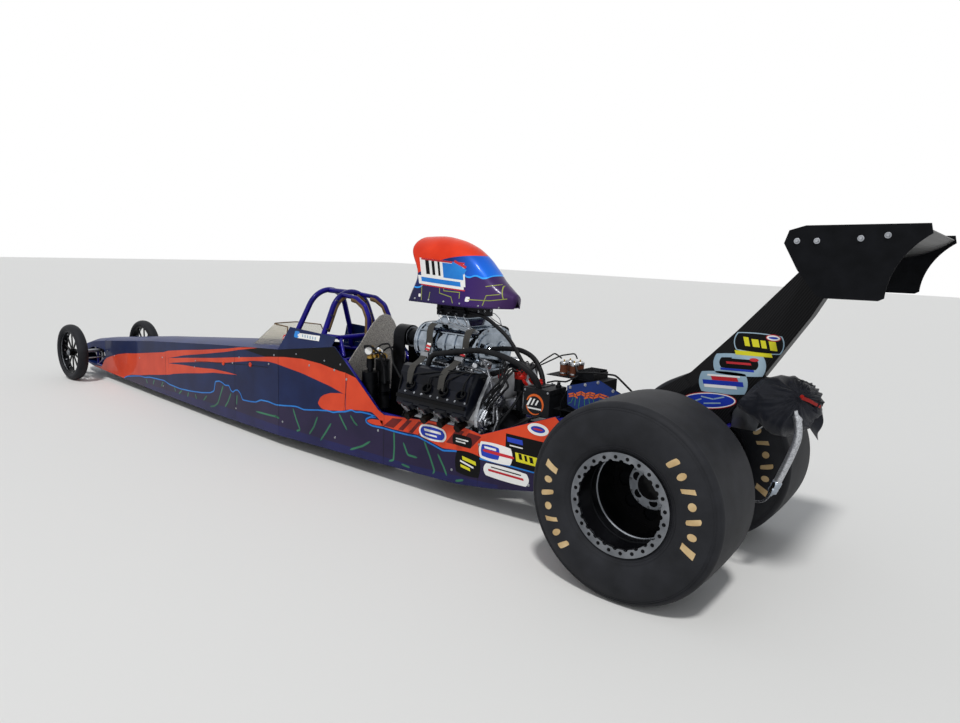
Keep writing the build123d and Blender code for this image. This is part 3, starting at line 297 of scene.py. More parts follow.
def addBump(tree, shader, coords, pitch, height, detail=2.0, coat=False):
    # bump of a grain of this pitch in metres and height in metres
    bumpFrom(tree, shader, noiseFrom(tree, coords, 1 / pitch, detail), 1.0, height,
        "Coat Normal" if coat else "Normal")


def roughnessFrom(tree, shader, coords, pitch, low, high):
    # roughness that drifts between two values over patches of this size, as handled or wiped metal does
    drift = noiseFrom(tree, coords, 1 / pitch, 4.0)
    tree.links.new(spanFrom(tree, drift, (0.3, 0.7), (low, high)), shader.inputs["Roughness"])


def colourFrom(tree, shader, coords, pitch, stops, detail=4.0):
    # base colour that drifts along a ramp of stops over patches of this size
    rampColour(tree, shader, noiseFrom(tree, coords, 1 / pitch, detail), stops)


def rampColour(tree, shader, value, stops):
    # base colour read from a ramp at a value
    tree.links.new(rampFrom(tree, value, stops), shader.inputs["Base Color"])


def bumpFrom(tree, shader, value, strength, distance, socket="Normal"):
    # relief whose height follows a value
    bump = addNode(tree, "Bump", {"Strength": strength, "Distance": distance}, {"Height": value})
    tree.links.new(bump.outputs["Normal"], shader.inputs[socket])


def paint(name, hexDark, hexLight, flake=0.1, roughness=0.4, coat=0.5):
    # metallic base coat under clear lacquer: flakes glitter a little and the lacquer mirrors softly
    material, tree, shader, coords = startMaterial(name, {"Metallic": flake, "Roughness": roughness,
        "Coat Weight": coat, "Coat Roughness": 0.05, "Coat IOR": 1.25, "Specular IOR Level": 0.08})
    colourFrom(tree, shader, coords, 0.22, [(0.3, hexDark), (0.7, hexLight)])
    addBump(tree, shader, coords, 0.0016, 0.00004)
    addBump(tree, shader, coords, 0.006, 0.00003, coat=True)
    return material


# Painted sheet aluminium of the body, lacquered: deep colour with a soft mirror over it
navyPaint = paint("lacqueredNavyPaint", "#0b163c", "#12234f", 0.05, 0.4, 0.35)
deckPaint = paint("satinNavyDeckPaint", "#0d1a48", "#16295f", 0.0, 0.5, 0.15)
orangePaint = paint("lacqueredOrangePaint", "#c4391d", "#db4a28", 0.0)
blackPaint = paint("lacqueredBlackPaint", "#060607", "#0b0b0d", 0.0, 0.5, 0.12)
purplePaint = paint("lacqueredPurplePaint", "#1f1936", "#2a2142", 0.15)
indigoPaint = paint("lacqueredIndigoPaint", "#1a1b44", "#232456", 0.15)
cyanPaint = paint("lacqueredBrightBluePaint", "#1763b4", "#2b86d6", 0.1)
greenPaint = paint("lacqueredGreenPaint", "#2a5f47", "#3a7d5c", 0.1)
darkRedPaint = paint("lacqueredDarkRedPaint", "#55181a", "#7a2420", 0.15)
frameLacquer = paint("candyVioletFrameLacquer", "#0c0652", "#150c7c", 0.1, 0.3, 0.4)
whiteVinyl = paint("whiteVinylFilm", "#dcdcda", "#eceae6", 0.0)
yellowVinyl = paint("yellowVinylFilm", "#c8c21c", "#dcd430", 0.0)
redVinyl = paint("redVinylFilm", "#a8242c", "#c43038", 0.0)
paleBlueVinyl = paint("paleBlueVinylFilm", "#7f9db0", "#a5bccb", 0.1)
blueVinyl = paint("blueVinylFilm", "#1c2f94", "#2743b4", 0.0)
coverEnamel = paint("glossBlackCoverEnamel", "#08090d", "#10131d", 0.0, 0.3, 0.4)
rimPaint = paint("glossBlackRimPaint", "#08080a", "#0f0f12", 0.0, 0.3)
print("paints made")


def metal(name, hexDark, hexLight, roughLow, roughHigh, grain=0.0008, height=0.00002, patch=0.08):
    # bare or plated metal whose gloss drifts where it was handled
    material, tree, shader, coords = startMaterial(name, {"Metallic": 1.0})
    colourFrom(tree, shader, coords, patch, [(0.3, hexDark), (0.7, hexLight)])
    roughnessFrom(tree, shader, coords, patch * 0.6, roughLow, roughHigh)
    addBump(tree, shader, coords, grain, height)
    return material


# Polished aluminium: bright, with a faint haze of old polish
polishedAluminium = metal("polishedAluminium", "#7c858f", "#a4adb8", 0.06, 0.15, 0.03, 0.00006, 0.05)
# Machined aluminium: even satin grey
machinedAluminium = metal("machinedAluminium", "#63666b", "#85888d", 0.28, 0.42)
# Sand-cast aluminium: pale grey with a coarse skin of 2 mm sand grain
castAluminium = metal("sandCastAluminium", "#8d8e90", "#a9aaac", 0.42, 0.6, 0.0022, 0.00025)
# Zinc-plated steel: cool grey with blotched gloss
platedSteel = metal("zincPlatedSteel", "#84878c", "#a2a5aa", 0.25, 0.45)
# Black anodised aluminium: dark satin that keeps a metal's edge light
blackAnodised = metal("blackAnodisedAluminium", "#131416", "#1d1e21", 0.32, 0.48)
# Dark heat-stained steel of the exhaust stubs
headerSteel = metal("heatStainedSteel", "#141211", "#241f1c", 0.45, 0.65, 0.0015, 0.0001)
# Brass valve bodies, dulled by hands
brass = metal("dulledBrass", "#9a7b3c", "#bb9a55", 0.3, 0.45)


def plastic(name, hexDark, hexLight, rough, grain=0.0012, height=0.00006, shine=0.12):
    # moulded plastic with a fine grain
    material, tree, shader, coords = startMaterial(name, {"Roughness": rough, "IOR": 1.46,
        "Specular IOR Level": shine})
    colourFrom(tree, shader, coords, 0.05, [(0.3, hexDark), (0.7, hexLight)])
    addBump(tree, shader, coords, grain, height)
    return material


def splitMetal(name, coordinate, place, below, above):
    # metal whose finish (dark, light, roughness) changes where the coordinate passes a place
    material, tree, shader, coords = startMaterial(name, {"Metallic": 1.0})
    over = sumFrom(tree, "GREATER_THAN", axesFrom(tree, coords)[coordinate], place)
    drift = noiseFrom(tree, coords, 25.0, 4.0)
    one, two = (rampFrom(tree, drift, [(0.3, dark), (0.7, light)]) for dark, light, rough in (below, above))
    tree.links.new(mixFrom(tree, over, one, two), shader.inputs["Base Color"])
    tree.links.new(spanFrom(tree, over, (0.0, 1.0), (below[2], above[2])), shader.inputs["Roughness"])
    addBump(tree, shader, coords, 0.002, 0.0001)
    return material


# Centre of the rear wheels: its polished metal drawn as a pale non-metallic grey, a painted reflection that
# keeps it bright in the barrel's shade
centrePaintedShine = plastic("paleCentrePaintedShine", "#9da2aa", "#c6cbd2", 0.4, shine=0.5)
# Injector hat: polished flanks under a black anodised throttle body
injectorMetal = splitMetal("polishedAndBlackAluminium", "Z", 1.0662, ("#7c858f", "#a4adb8", 0.14),
    ("#101114", "#191a1d", 0.4))
# Bellhousing: black powder coat with a bright cast flange at its front
bellMetal = splitMetal("castFlangeAndBlackAluminium", "X", axleX + 1.0395, ("#0c0d0f", "#141518", 0.55),
    ("#7d8085", "#bfc2c6", 0.32))
blackPlastic = plastic("mouldedBlackPlastic", "#0f1012", "#1b1c1f", 0.45)
redPlastic = plastic("mouldedRedPlastic", "#9c1a16", "#c4271f", 0.35)
coilPlastic = plastic("mouldedBrownPlastic", "#4a2a1e", "#6a3d2a", 0.5)
tanFoam = plastic("tanRollBarFoam", "#5d4830", "#776043", 0.9, 0.002, 0.0003, shine=0.1)
blackRubberHose = plastic("blackRubberHose", "#0d0d0f", "#191a1c", 0.5)
matteBlackPaint = plastic("matteBlackPowderCoat", "#0e0f11", "#151619", 0.62, 0.0018, 0.00008, shine=0.05)
tanMark = plastic("tanTyrePaint", "#b2966a", "#cdb388", 0.75)


def makeRubber(name):
    # treadless racing rubber: matte charcoal with a fine grain, paler in patches where it is scrubbed
    material, tree, shader, coords = startMaterial(name, {"Roughness": 0.62, "IOR": 1.5,
        "Specular IOR Level": 0.15})
    colourFrom(tree, shader, coords, 0.09, [(0.25, "#1a1b1e"), (0.75, "#26272b")])
    addBump(tree, shader, coords, 0.003, 0.00025, 5.0)
    return material


slickRubber = makeRubber("slickTyreRubber")
frontRubber = makeRubber("frontTyreRubber")


def makeCarbon():
    # carbon twill under gloss resin: height = sin(2 pi (x + lean z) / pitch), every second tow catches light
    material, tree, shader, coords = startMaterial("carbonTwillUnderResin",
        {"Roughness": 0.5, "IOR": 1.5, "Specular IOR Level": 0.06, "Coat Weight": 0.25,
        "Coat Roughness": 0.15, "Coat IOR": 1.2})
    parts = axesFrom(tree, coords)
    lean, pitch = 0.62, 0.012
    across = sumFrom(tree, "ADD", parts["X"], sumFrom(tree, "MULTIPLY", parts["Z"], lean))
    sine = sumFrom(tree, "SINE", sumFrom(tree, "MULTIPLY", across, 2 * math.pi / pitch))
    rampColour(tree, shader, spanFrom(tree, sine, (-1.0, 1.0)), [(0.35, "#070708"), (0.65, "#19191b")])
    bumpFrom(tree, shader, sine, 0.4, 0.0004)
    return material


carbonTwill = makeCarbon()


def makeScreen():
    # clear polycarbonate sheet with a smoky tint
    material, tree, shader, coords = startMaterial("smokedPolycarbonate",
        {"Base Color": toLinear("#c9c2ae"), "Roughness": 0.05, "IOR": 1.1, "Specular IOR Level": 0.3,
        "Transmission Weight": 0.9, "Alpha": 0.4})
    addBump(tree, shader, coords, 0.05, 0.000008)
    return material


screenSheet = makeScreen()


def makeShield():
    # grey hammered coating with light and dark specks a few millimetres across
    material, tree, shader, coords = startMaterial("speckledHeatCoating",
        {"Roughness": 0.6, "Metallic": 0.2})
    colourFrom(tree, shader, coords, 0.006, [(0.35, "#77736f"), (0.5, "#a5a19c"), (0.68, "#cdc8c0")], 6.0)
    addBump(tree, shader, coords, 0.004, 0.0004)
    return material


shieldCoating = makeShield()


def makeWebbing(name, hexDark, hexLight, rough=0.8, pitch=0.004):
    # woven polyester: ribs across the strap 4 mm apart, with a fabric sheen
    material, tree, shader, coords = startMaterial(name, {"Roughness": rough, "Specular IOR Level": 0.2,
        "Sheen Weight": 0.12, "Sheen Roughness": 0.5})
    weave = addNode(tree, "TexWave", {"Scale": 1 / pitch / 3.14, "Distortion": 0.4, "wave_type": "BANDS",
        "bands_direction": "DIAGONAL"}, {"Vector": coords})
    rampColour(tree, shader, weave.outputs["Fac"], [(0.2, hexDark), (0.8, hexLight)])
    bumpFrom(tree, shader, weave.outputs["Fac"], 0.6, 0.0006)
    return material


blackNylon = makeWebbing("blackNylonPackCloth", "#12141b", "#20232e", 0.48, 0.0025)
blackWebbing = makeWebbing("blackPolyesterWebbing", "#111114", "#26262b")
greyWebbing = makeWebbing("greyPolyesterWebbing", "#2b2a28", "#45433f")
redWebbing = makeWebbing("redPolyesterWebbing", "#8f1f20", "#c23a34")
blackVinylCloth = makeWebbing("blackFireproofCloth", "#0e0e10", "#1c1c1f", 0.85)


def makeStrands(name, metallic, rough, pitch, stops, strength, height):
    # metallic cloth or braid: cells of this pitch, coloured by each strand's height, with a painted highlight
    # at the middle of each strand and painted shade between strands
    material, tree, shader, coords = startMaterial(name, {"Metallic": metallic, "Roughness": rough})
    cells = addNode(tree, "TexVoronoi", {"Scale": 1 / pitch}, {"Vector": coords})
    rampColour(tree, shader, cells.outputs["Distance"], stops)
    bumpFrom(tree, shader, cells.outputs["Distance"], strength, height)
    return material


# Aluminised glass cloth: bright foil crossed by a 5 mm weave, with painted shade in the weave's hollows
foilStopsWithPaintedShade = [(0.1, "#d4d6da"), (0.9, "#8f9298")]
foilSleeve = makeStrands("aluminisedGlassCloth", 0.85, 0.38, 0.005, foilStopsWithPaintedShade, 0.8, 0.0008)
# Stainless braid over a hose: crossed strands, a painted highlight on each strand over painted shade between
# them
braidStopsWithPaintedShade = [(0.15, "#9a9ca1"), (0.7, "#3a3b3f")]
steelBraid = makeStrands("stainlessBraid", 0.9, 0.4, 0.0045, braidStopsWithPaintedShade, 0.7, 0.0006)
print("metals, plastics and cloth made")

# The scoop's lacquer: heights where one colour meets the next, along the scoop from the rear axle
scoopPaintLines = {
    "orangeFrom": [(0.9, 1.6), (1.1, 1.5), (1.17, 1.442), (1.22, 1.428), (1.32, 1.424), (1.44, 1.408),
        (1.5, 1.392), (1.58, 1.362), (1.66, 1.315), (1.72, 1.292), (1.8, 1.285)],
    "blueFrom": [(0.9, 1.4), (1.03, 1.36), (1.08, 1.322), (1.12, 1.306), (1.17, 1.318), (1.21, 1.3),
        (1.26, 1.312), (1.3, 1.302), (1.36, 1.33), (1.46, 1.3), (1.6, 1.255), (1.66, 1.222), (1.74, 1.234),
        (1.8, 1.24)],
}


def heightCurve(tree, along, table, span, heights):
    # reads a table of (distance, height) as a curve over the scoop's length
    node = addNode(tree, "FloatCurve", None, {"Value": spanFrom(tree, along, span)})
    curve = node.mapping.curves[0]
    scaled = [((x - span[0]) / (span[1] - span[0]), (z - heights[0]) / (heights[1] - heights[0]))
        for x, z in table]
    while len(curve.points) < len(scaled):
        curve.points.new(0.5, 0.5)
    for point, (x, z) in zip(curve.points, scaled):
        point.location = (x, z)
        point.handle_type = "AUTO"
    node.mapping.update()
    return spanFrom(tree, node.outputs["Value"], (0.0, 1.0), heights)


def makeScoopPaint():
    # three lacquer colours that meet along wavy lines, with a bright edge where blue meets purple
    material, tree, shader, coords = startMaterial("lacqueredScoopPaint",
        {"Metallic": 0.1, "Roughness": 0.4, "Coat Weight": 0.3, "Coat Roughness": 0.12, "Coat IOR": 1.3,
        "Specular IOR Level": 0.1})
    parts = axesFrom(tree, coords)
    along, height = sumFrom(tree, "SUBTRACT", parts["X"], axleX), parts["Z"]
    span, heights = (0.9, 1.8), (1.1, 1.6)
    orangeLine = heightCurve(tree, along, scoopPaintLines["orangeFrom"], span, heights)
    blueLine = heightCurve(tree, along, scoopPaintLines["blueFrom"], span, heights)
    orange = rampFrom(tree, noiseFrom(tree, coords, 7.0, 2.0), [(0.3, "#d02e10"), (0.7, "#e43d1c")])
    blue = rampFrom(tree, spanFrom(tree, along, (1.16, 1.44)), [(0.0, "#1170e0"), (0.35, "#0e5fd0"),
        (1.0, "#16245c")])
    purple = rampFrom(tree, spanFrom(tree, along, (1.1, 1.7)),
        [(0.0, "#38204f"), (0.3, "#331a5c"), (1.0, "#1d1c40")])
    edgeColour = addNode(tree, "RGB")
    edgeColour.outputs[0].default_value = toLinear("#2f9cf0")
    ground = mixFrom(tree, sumFrom(tree, "GREATER_THAN", height, blueLine), purple, blue)
    edged = mixFrom(tree, sumFrom(tree, "COMPARE", height, blueLine, 0.0045), ground, edgeColour.outputs[0])
    full = mixFrom(tree, sumFrom(tree, "GREATER_THAN", height, orangeLine), edged, orange)
    tree.links.new(full, shader.inputs["Base Color"])
    addBump(tree, shader, coords, 0.006, 0.00003, coat=True)
    return material


scoopPaint = makeScoopPaint()

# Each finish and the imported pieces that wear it
nodeMaterials = [
    (frameLacquer, "frame_front frame_rear roll_cage"),
    (deckPaint, "nose_cover top_deck"),
    (navyPaint, "side_panel_left side_panel_right cockpit_panel_left cockpit_panel_right engine_panel_left "
     "engine_panel_right cowl"),
    (carbonTwill, "belly_pan wing_element wing_pylon"),
    (screenSheet, "windscreen"),
    (blackVinylCloth, "seat"),
    (shieldCoating, "blast_shield"),
    (platedSteel, "column_mount rear_axle_housing axle_shafts brake_discs front_axle knuckle_left "
     "knuckle_right tie_rod"),
    (blackAnodised, "steering_wheel blower_drive transmission front_rim_left front_rim_right gas_bottle "
     "tank_brackets"),
    (matteBlackPaint, "engine_block wing_end_plates rear_cover"),
    (castAluminium, "cylinder_heads intake_manifold"),
    (coverEnamel, "valve_covers"),
    (headerSteel, "exhaust_headers"),
    (polishedAluminium, "blower"),
    (injectorMetal, "injector_adapter"),
    (scoopPaint, "scoop"),
    (bellMetal, "bellhousing"),
    (slickRubber, "rear_tyre_left rear_tyre_right"),
    (rimPaint, "rear_wheel_left rear_wheel_right"),
    (machinedAluminium, "bead_rings chute_bracket"),
    (frontRubber, "front_tyre_left front_tyre_right"),
    (blackNylon, "chute_pack"),
    (foilSleeve, "chute_tether"),
    (blackPlastic, "canister battery_box magneto"),
    (coilPlastic, "coil_packs"),
    (blackRubberHose, "engine_hoses"),
]
for material, names in nodeMaterials:
    for name in names.split():
        nodes[name].data.materials.clear()
        nodes[name].data.materials.append(material)
print("CAD nodes dressed")

# Painted bands on the body's sides

# Half width, upper edge and lower edge of the body's side along the car
bodySide = {
    "half": [(0.4, 0.3), (2.87, 0.3), (6.02, 0.123), (6.35, 0.1045), (6.6, 0.084), (6.75, 0.046)],
    "top": [(0.5, 0.262), (0.52, 0.608), (0.561, 0.645), (0.971, 0.48), (1.028, 0.457), (1.12, 0.472),
        (1.403, 0.464), (1.79, 0.429), (1.846, 0.453), (2.243, 0.783), (2.263, 0.797), (2.87, 0.706),
        (3.76, 0.631), (4.96, 0.517), (6.02, 0.394), (6.35, 0.349)],
    "bottom": [(0.5, 0.262), (0.681, 0.223), (0.946, 0.17), (1.19, 0.136), (1.79, 0.114), (2.87, 0.082),
        (3.76, 0.065), (4.96, 0.068), (6.02, 0.084), (6.35, 0.092)],
}
# Each band: lift above the skin in millimetres, upper line and lower line as (distance, height)
stripeLines = {
    "upperBlack": (0.3, [(2.05, 0.7), (2.3, 0.9), (3.35, 0.9)],
        [(2.05, 0.6), (2.3, 0.64), (3.0, 0.63), (3.35, 0.65)]),
    "lowerPurple": (0.35, "border", "bottom"),
    "lowestIndigo": (0.4, [(0.9, 0.2), (1.5, 0.165), (2.9, 0.15), (3.6, 0.15), (4.5, 0.12), (5.1, 0.1)],
        "bottom"),
    "orangeNose": (0.5, [(4.6, 0.475), (4.7, 0.449), (5.0, 0.405), (5.3, 0.36), (5.5, 0.335), (5.7, 0.3),
        (5.9, 0.25), (6.0, 0.22), (6.06, 0.19), (6.1, 0.15), (6.14, 0.114), (6.22, 0.108), (6.34, 0.096)],
        [(4.6, 0.262), (4.8, 0.23), (5.0, 0.2), (5.2, 0.165), (5.4, 0.14), (5.5, 0.115), (5.57, 0.088),
        (5.62, 0.0), (6.34, 0.0)]),
    "orangeUpper": (0.5, [(3.1, 0.692), (3.2, 0.68), (3.4, 0.655), (3.6, 0.62), (3.8, 0.59), (4.0, 0.56),
        (4.3, 0.52), (4.5, 0.49), (4.6, 0.475)], [(3.1, 0.691), (3.2, 0.672), (3.4, 0.637), (3.6, 0.595),
        (3.8, 0.56), (4.0, 0.525), (4.3, 0.475), (4.5, 0.432), (4.6, 0.412)]),
    "orangeMiddle": (0.5, [(2.149, 0.642), (2.2, 0.645), (2.3, 0.655), (2.4, 0.668), (2.6, 0.675),
        (2.8, 0.662), (3.0, 0.637), (3.2, 0.607), (3.4, 0.58), (3.6, 0.55), (3.8, 0.52), (4.0, 0.493),
        (4.3, 0.453), (4.5, 0.424), (4.6, 0.413)], [(2.149, 0.496), (2.2, 0.508), (2.3, 0.53), (2.4, 0.545),
        (2.5, 0.56), (2.6, 0.575), (2.8, 0.593), (2.9, 0.602), (3.0, 0.602), (3.2, 0.58), (3.4, 0.545),
        (3.6, 0.51), (3.8, 0.485), (4.0, 0.46), (4.3, 0.415), (4.5, 0.384), (4.6, 0.364)]),
    "orangeLower": (0.5, [(3.44, 0.438), (3.6, 0.437), (3.8, 0.43), (4.0, 0.41), (4.1, 0.402), (4.3, 0.39),
        (4.5, 0.372), (4.6, 0.363)], [(3.44, 0.437), (3.6, 0.42), (3.8, 0.4), (4.0, 0.365), (4.1, 0.35),
        (4.3, 0.32), (4.5, 0.285), (4.6, 0.262)]),
    "orangeHook": (0.5, [(2.149, 0.5), (2.2, 0.5), (2.3, 0.485), (2.37, 0.46), (2.405, 0.435), (2.42, 0.41),
        (2.425, 0.395)], [(2.149, 0.395), (2.2, 0.381), (2.25, 0.374), (2.3, 0.366), (2.37, 0.362),
        (2.405, 0.372), (2.42, 0.386), (2.425, 0.394)]),
    "orangeRear": (0.5, [(0.5, 0.9), (1.86, 0.9), (2.0, 0.9), (2.03, 0.62), (2.149, 0.642)],
        [(0.5, 0.33), (0.8, 0.335), (1.0, 0.33), (1.1, 0.333), (1.2, 0.333), (1.3, 0.322), (1.4, 0.342),
        (1.5, 0.362), (1.6, 0.358), (1.7, 0.355), (1.8, 0.358), (1.84, 0.4), (1.9, 0.428), (2.0, 0.42),
        (2.05, 0.413), (2.1, 0.41), (2.149, 0.395)]),
    "orangeTongue": (0.5, [(1.8, 0.39), (1.85, 0.388), (1.9, 0.383), (1.93, 0.374), (1.94, 0.366)],
        [(1.8, 0.358), (1.85, 0.352), (1.9, 0.352), (1.93, 0.356), (1.94, 0.364)]),
}
borderLine = [(0.55, 0.328), (0.9, 0.326), (1.0, 0.322), (1.1, 0.318), (1.2, 0.327), (1.3, 0.308),
    (1.38, 0.326), (1.5, 0.35), (1.6, 0.344), (1.7, 0.343), (1.8, 0.345), (1.9, 0.34), (1.95, 0.352),
    (1.955, 0.372), (1.91, 0.395), (1.86, 0.402), (1.92, 0.412), (2.0, 0.41), (2.05, 0.4), (2.09, 0.408),
    (2.15, 0.385), (2.22, 0.372), (2.27, 0.358), (2.33, 0.36), (2.38, 0.352), (2.43, 0.346), (2.5, 0.334),
    (2.58, 0.322), (2.66, 0.33), (2.73, 0.322), (2.8, 0.312), (2.9, 0.3), (3.0, 0.306), (3.1, 0.3),
    (3.17, 0.272), (3.25, 0.262), (3.36, 0.255), (3.39, 0.3), (3.43, 0.32), (3.47, 0.312), (3.5, 0.29),
    (3.535, 0.3), (3.56, 0.335), (3.62, 0.326), (3.66, 0.34), (3.71, 0.346), (3.775, 0.332), (3.8, 0.25),
    (3.86, 0.226), (4.0, 0.202), (4.2, 0.182), (4.4, 0.17), (4.6, 0.176), (4.7, 0.194), (4.8, 0.188),
    (4.9, 0.184), (5.0, 0.178), (5.1, 0.16), (5.2, 0.158), (5.35, 0.135), (5.5, 0.11), (5.58, 0.08)]
# Slanting lines drawn in green over the purple, as (distance, height) points
greenLines = [[(3.65, 0.32), (3.69, 0.25), (3.74, 0.16), (3.8, 0.125), (3.87, 0.108)],
    [(3.53, 0.28), (3.58, 0.2), (3.63, 0.15)], [(3.44, 0.28), (3.45, 0.2)],
    [(3.17, 0.2), (3.0, 0.207), (2.86, 0.215)], [(2.7, 0.31), (2.665, 0.24), (2.62, 0.17)],
    [(2.62, 0.17), (2.66, 0.155)], [(2.43, 0.3), (2.47, 0.22), (2.52, 0.16)],
    [(2.29, 0.28), (2.35, 0.2), (2.4, 0.14)], [(2.21, 0.36), (2.17, 0.31), (2.13, 0.265)],
    [(2.1, 0.37), (2.06, 0.33), (2.03, 0.315)], [(1.91, 0.235), (1.98, 0.19), (2.1, 0.14)],
    [(2.92, 0.22), (2.86, 0.205)], [(1.7, 0.34), (1.695, 0.24), (1.7, 0.16), (1.74, 0.145)],
    [(1.45, 0.335), (1.4, 0.25), (1.36, 0.17), (1.375, 0.15)], [(1.56, 0.145), (1.63, 0.15)],
    [(1.34, 0.28), (1.29, 0.21), (1.265, 0.165)], [(1.62, 0.29), (1.58, 0.22), (1.5, 0.22)],
    [(1.14, 0.17), (1.2, 0.15)], [(4.12, 0.17), (4.1, 0.13)], [(4.36, 0.16), (4.42, 0.12)],
    [(4.24, 0.165), (4.26, 0.12)], [(4.5, 0.165), (4.48, 0.13)], [(3.92, 0.19), (3.98, 0.14)],
    [(4.72, 0.18), (4.76, 0.13)], [(4.9, 0.17), (4.93, 0.12)], [(5.08, 0.15), (5.05, 0.11)],
    [(0.98, 0.3), (0.9, 0.24)]]
# Dark red bars behind the engine's row of stubs: distance at the foot, width
slantBars = [(1.79, 0.085), (1.665, 0.04), (1.575, 0.03), (1.5, 0.09), (1.28, 0.06), (1.19, 0.09)]


def along(table, x):
    # straight interpolation of a table of (distance, value) at x
    table = sorted(table)
    return np.interp(x, [row[0] for row in table], [row[1] for row in table])


def onBothSides(x, z, lift):
    # a grid of distances and heights laid on both side skins: y = +-(half width at x + lift)
    left = np.stack([x, along(bodySide["half"], x) + lift, z], -1).reshape(-1, 3)
    faces = gridFaces(*x.shape)
    return joined([(left, faces), (left * [1, -1, 1], faces[:, ::-1])])


def soften(values, width):
    # averages a row of values with its neighbours so that drawn corners turn in soft arcs
    kernel = np.hanning(width + 2)[1:-1]
    kernel /= kernel.sum()
    pad = np.concatenate([np.full(width // 2, values[0]), values, np.full(width // 2, values[-1])])
    return np.convolve(pad, kernel, "valid")


def bandShape(lift, upper, lower):
    # strip between two lines, z = low + v (high - low) on a grid of distance and v, clipped to the skin
    tables = {"border": borderLine, "bottom": bodySide["bottom"]}
    upper = tables[upper] if isinstance(upper, str) else upper
    ends = [row[0] for row in upper]
    x = np.arange(min(ends), max(ends) + 1e-9, 0.006)
    high = along(upper, x)
    low = along(tables[lower] if isinstance(lower, str) else lower, x)
    high, low = soften(high, 5), soften(low, 5)
    high = np.minimum(high, along(bodySide["top"], x))
    low = np.maximum(low, along(bodySide["bottom"], x))
    high = np.maximum(high, low)
    z = low[:, None] + np.linspace(0, 1, 4) * (high - low)[:, None]
    return onBothSides(np.repeat(x[:, None], 4, 1), z, lift / 1000)


def ribbonShape(points, width, lift, count=None):
    # flat line of one width along (distance, height) points on both side skins
    path = smoothPath(points, count or max(8, 6 * len(points)))
    tangent = np.gradient(path, axis=0)
    tangent /= np.linalg.norm(tangent, axis=1, keepdims=True) + 1e-9
    normal = np.stack([-tangent[:, 1], tangent[:, 0]], -1)
    taper = np.minimum(1, np.minimum(np.arange(len(path)) + 0.4,
        len(path) - 0.6 - np.arange(len(path))) / 2)[:, None]
    one, two = path + normal * width / 2 * taper, path - normal * width / 2 * taper
    x = np.stack([one[:, 0], two[:, 0]], -1)
    z = np.stack([one[:, 1], two[:, 1]], -1)
    return onBothSides(x, z, lift / 1000)


# Joints where one skin of the side meets the next, as (distance, height) points
panelSeams = [[(6.02, 0.085), (6.02, 0.39)], [(2.868, 0.084), (2.868, 0.704)],
    [(1.789, 0.115), (1.789, 0.428)], [(3.47, 0.07), (3.47, 0.655)], [(2.165, 0.38), (2.13, 0.64)],
    [(4.66, 0.07), (4.66, 0.54)], [(1.04, 0.155), (1.04, 0.458)]]


def paintBands():
    # bands, border, green lines, dark bars and joints, each a thin sheet over both side skins
    groups = {
        "sideBlack": (blackPaint, ["upperBlack"]), "sidePurple": (purplePaint, ["lowerPurple"]),
        "sideIndigo": (indigoPaint, ["lowestIndigo"]),
        "sideOrange": (orangePaint, [key for key in stripeLines if key.startswith("orange")]),
    }
    for name, (material, keys) in groups.items():
        shapes = [bandShape(*stripeLines[key]) for key in keys]
        addParts(name, shapes, material, outward=False)
    addParts("sideBrightBorder", [ribbonShape(borderLine, 0.01, 0.8, 900)], cyanPaint,
        outward=False)
    addParts("sideGreenLines", [ribbonShape(line, 0.013, 0.7) for line in greenLines], greenPaint,
        outward=False)
    bars = []
    for foot, width in slantBars:
        lean, low, high = 0.075, 0.362, 0.452
        x = np.array([[foot, foot - lean], [foot - width, foot - width - lean]])
        z = np.array([[low, high], [low, high]])
        z[:, 1] = np.minimum(high, along(bodySide["top"], x[:, 1]) - 0.012)
        bars.append(onBothSides(x, z, 0.0008))
    addParts("sideSlantBars", bars, darkRedPaint, outward=False)
    addParts("panelJoints", [ribbonShape(line, 0.003, 1.0) for line in panelSeams], blackPlastic,
        outward=False)


paintBands()
print("painted bands laid on the sides")

# The parachute: a black nylon bag gathered at a red pin, and its tether down to the axle housing

chuteBag = {
    # distance, half width, lowest and highest point
    "sections": [(-0.226, 0.078, 0.8, 0.878), (-0.262, 0.092, 0.784, 0.908), (-0.3, 0.1, 0.768, 0.93),
        (-0.34, 0.107, 0.744, 0.946), (-0.38, 0.115, 0.712, 0.955), (-0.425, 0.119, 0.697, 0.958),
        (-0.47, 0.119, 0.702, 0.957), (-0.51, 0.11, 0.722, 0.95), (-0.542, 0.09, 0.756, 0.932),
        (-0.566, 0.06, 0.792, 0.905), (-0.58, 0.028, 0.826, 0.878)],
    "face": ((-0.2158, 0.76), (-0.3438, 0.952)), "pin": (-0.52, 0.098, 0.9),
    "folds": 13, "foldHeight": 0.015, "sag": 0.0035,
    # dent at the pin and its reach, cloth held round the pin, the most that the cloth solver moves a point
    "dent": (0.016, 0.022), "held": 0.026, "cap": 0.008,
}
tetherSleeve = {"points": [(-0.505, 0.092, 0.836), (-0.534, 0.096, 0.752), (-0.514, 0.1, 0.655),
    (-0.484, 0.102, 0.56), (-0.458, 0.103, 0.484)], "diameter": 0.034}
tetherCable = {"points": [(-0.4448, 0.1035, 0.4492), (-0.43, 0.103, 0.413), (-0.384, 0.098, 0.392),
    (-0.316, 0.088, 0.396), (-0.244, 0.074, 0.416), (-0.1763, 0.062, 0.428)], "diameter": 0.012}


def cordCurve(name, points, diameter, material):
    # round cord along one open NURBS spline whose control points are the route's points
    data = bpy.data.curves.new(name, "CURVE")
    data.dimensions = "3D"
    data.bevel_depth, data.bevel_resolution, data.use_fill_caps, data.resolution_u = diameter / 2, 5, True, 14
    spline = data.splines.new("NURBS")
    spline.points.add(len(points) - 1)
    for point, place in zip(spline.points, placed(points)):
        point.co = (*place, 1)
    spline.order_u = 3
    spline.use_endpoint_u = True
    data.materials.append(material)
    piece = bpy.data.objects.new(name, data)
    bpy.context.scene.collection.objects.link(piece)
    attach(piece, "chassis")
    return piece


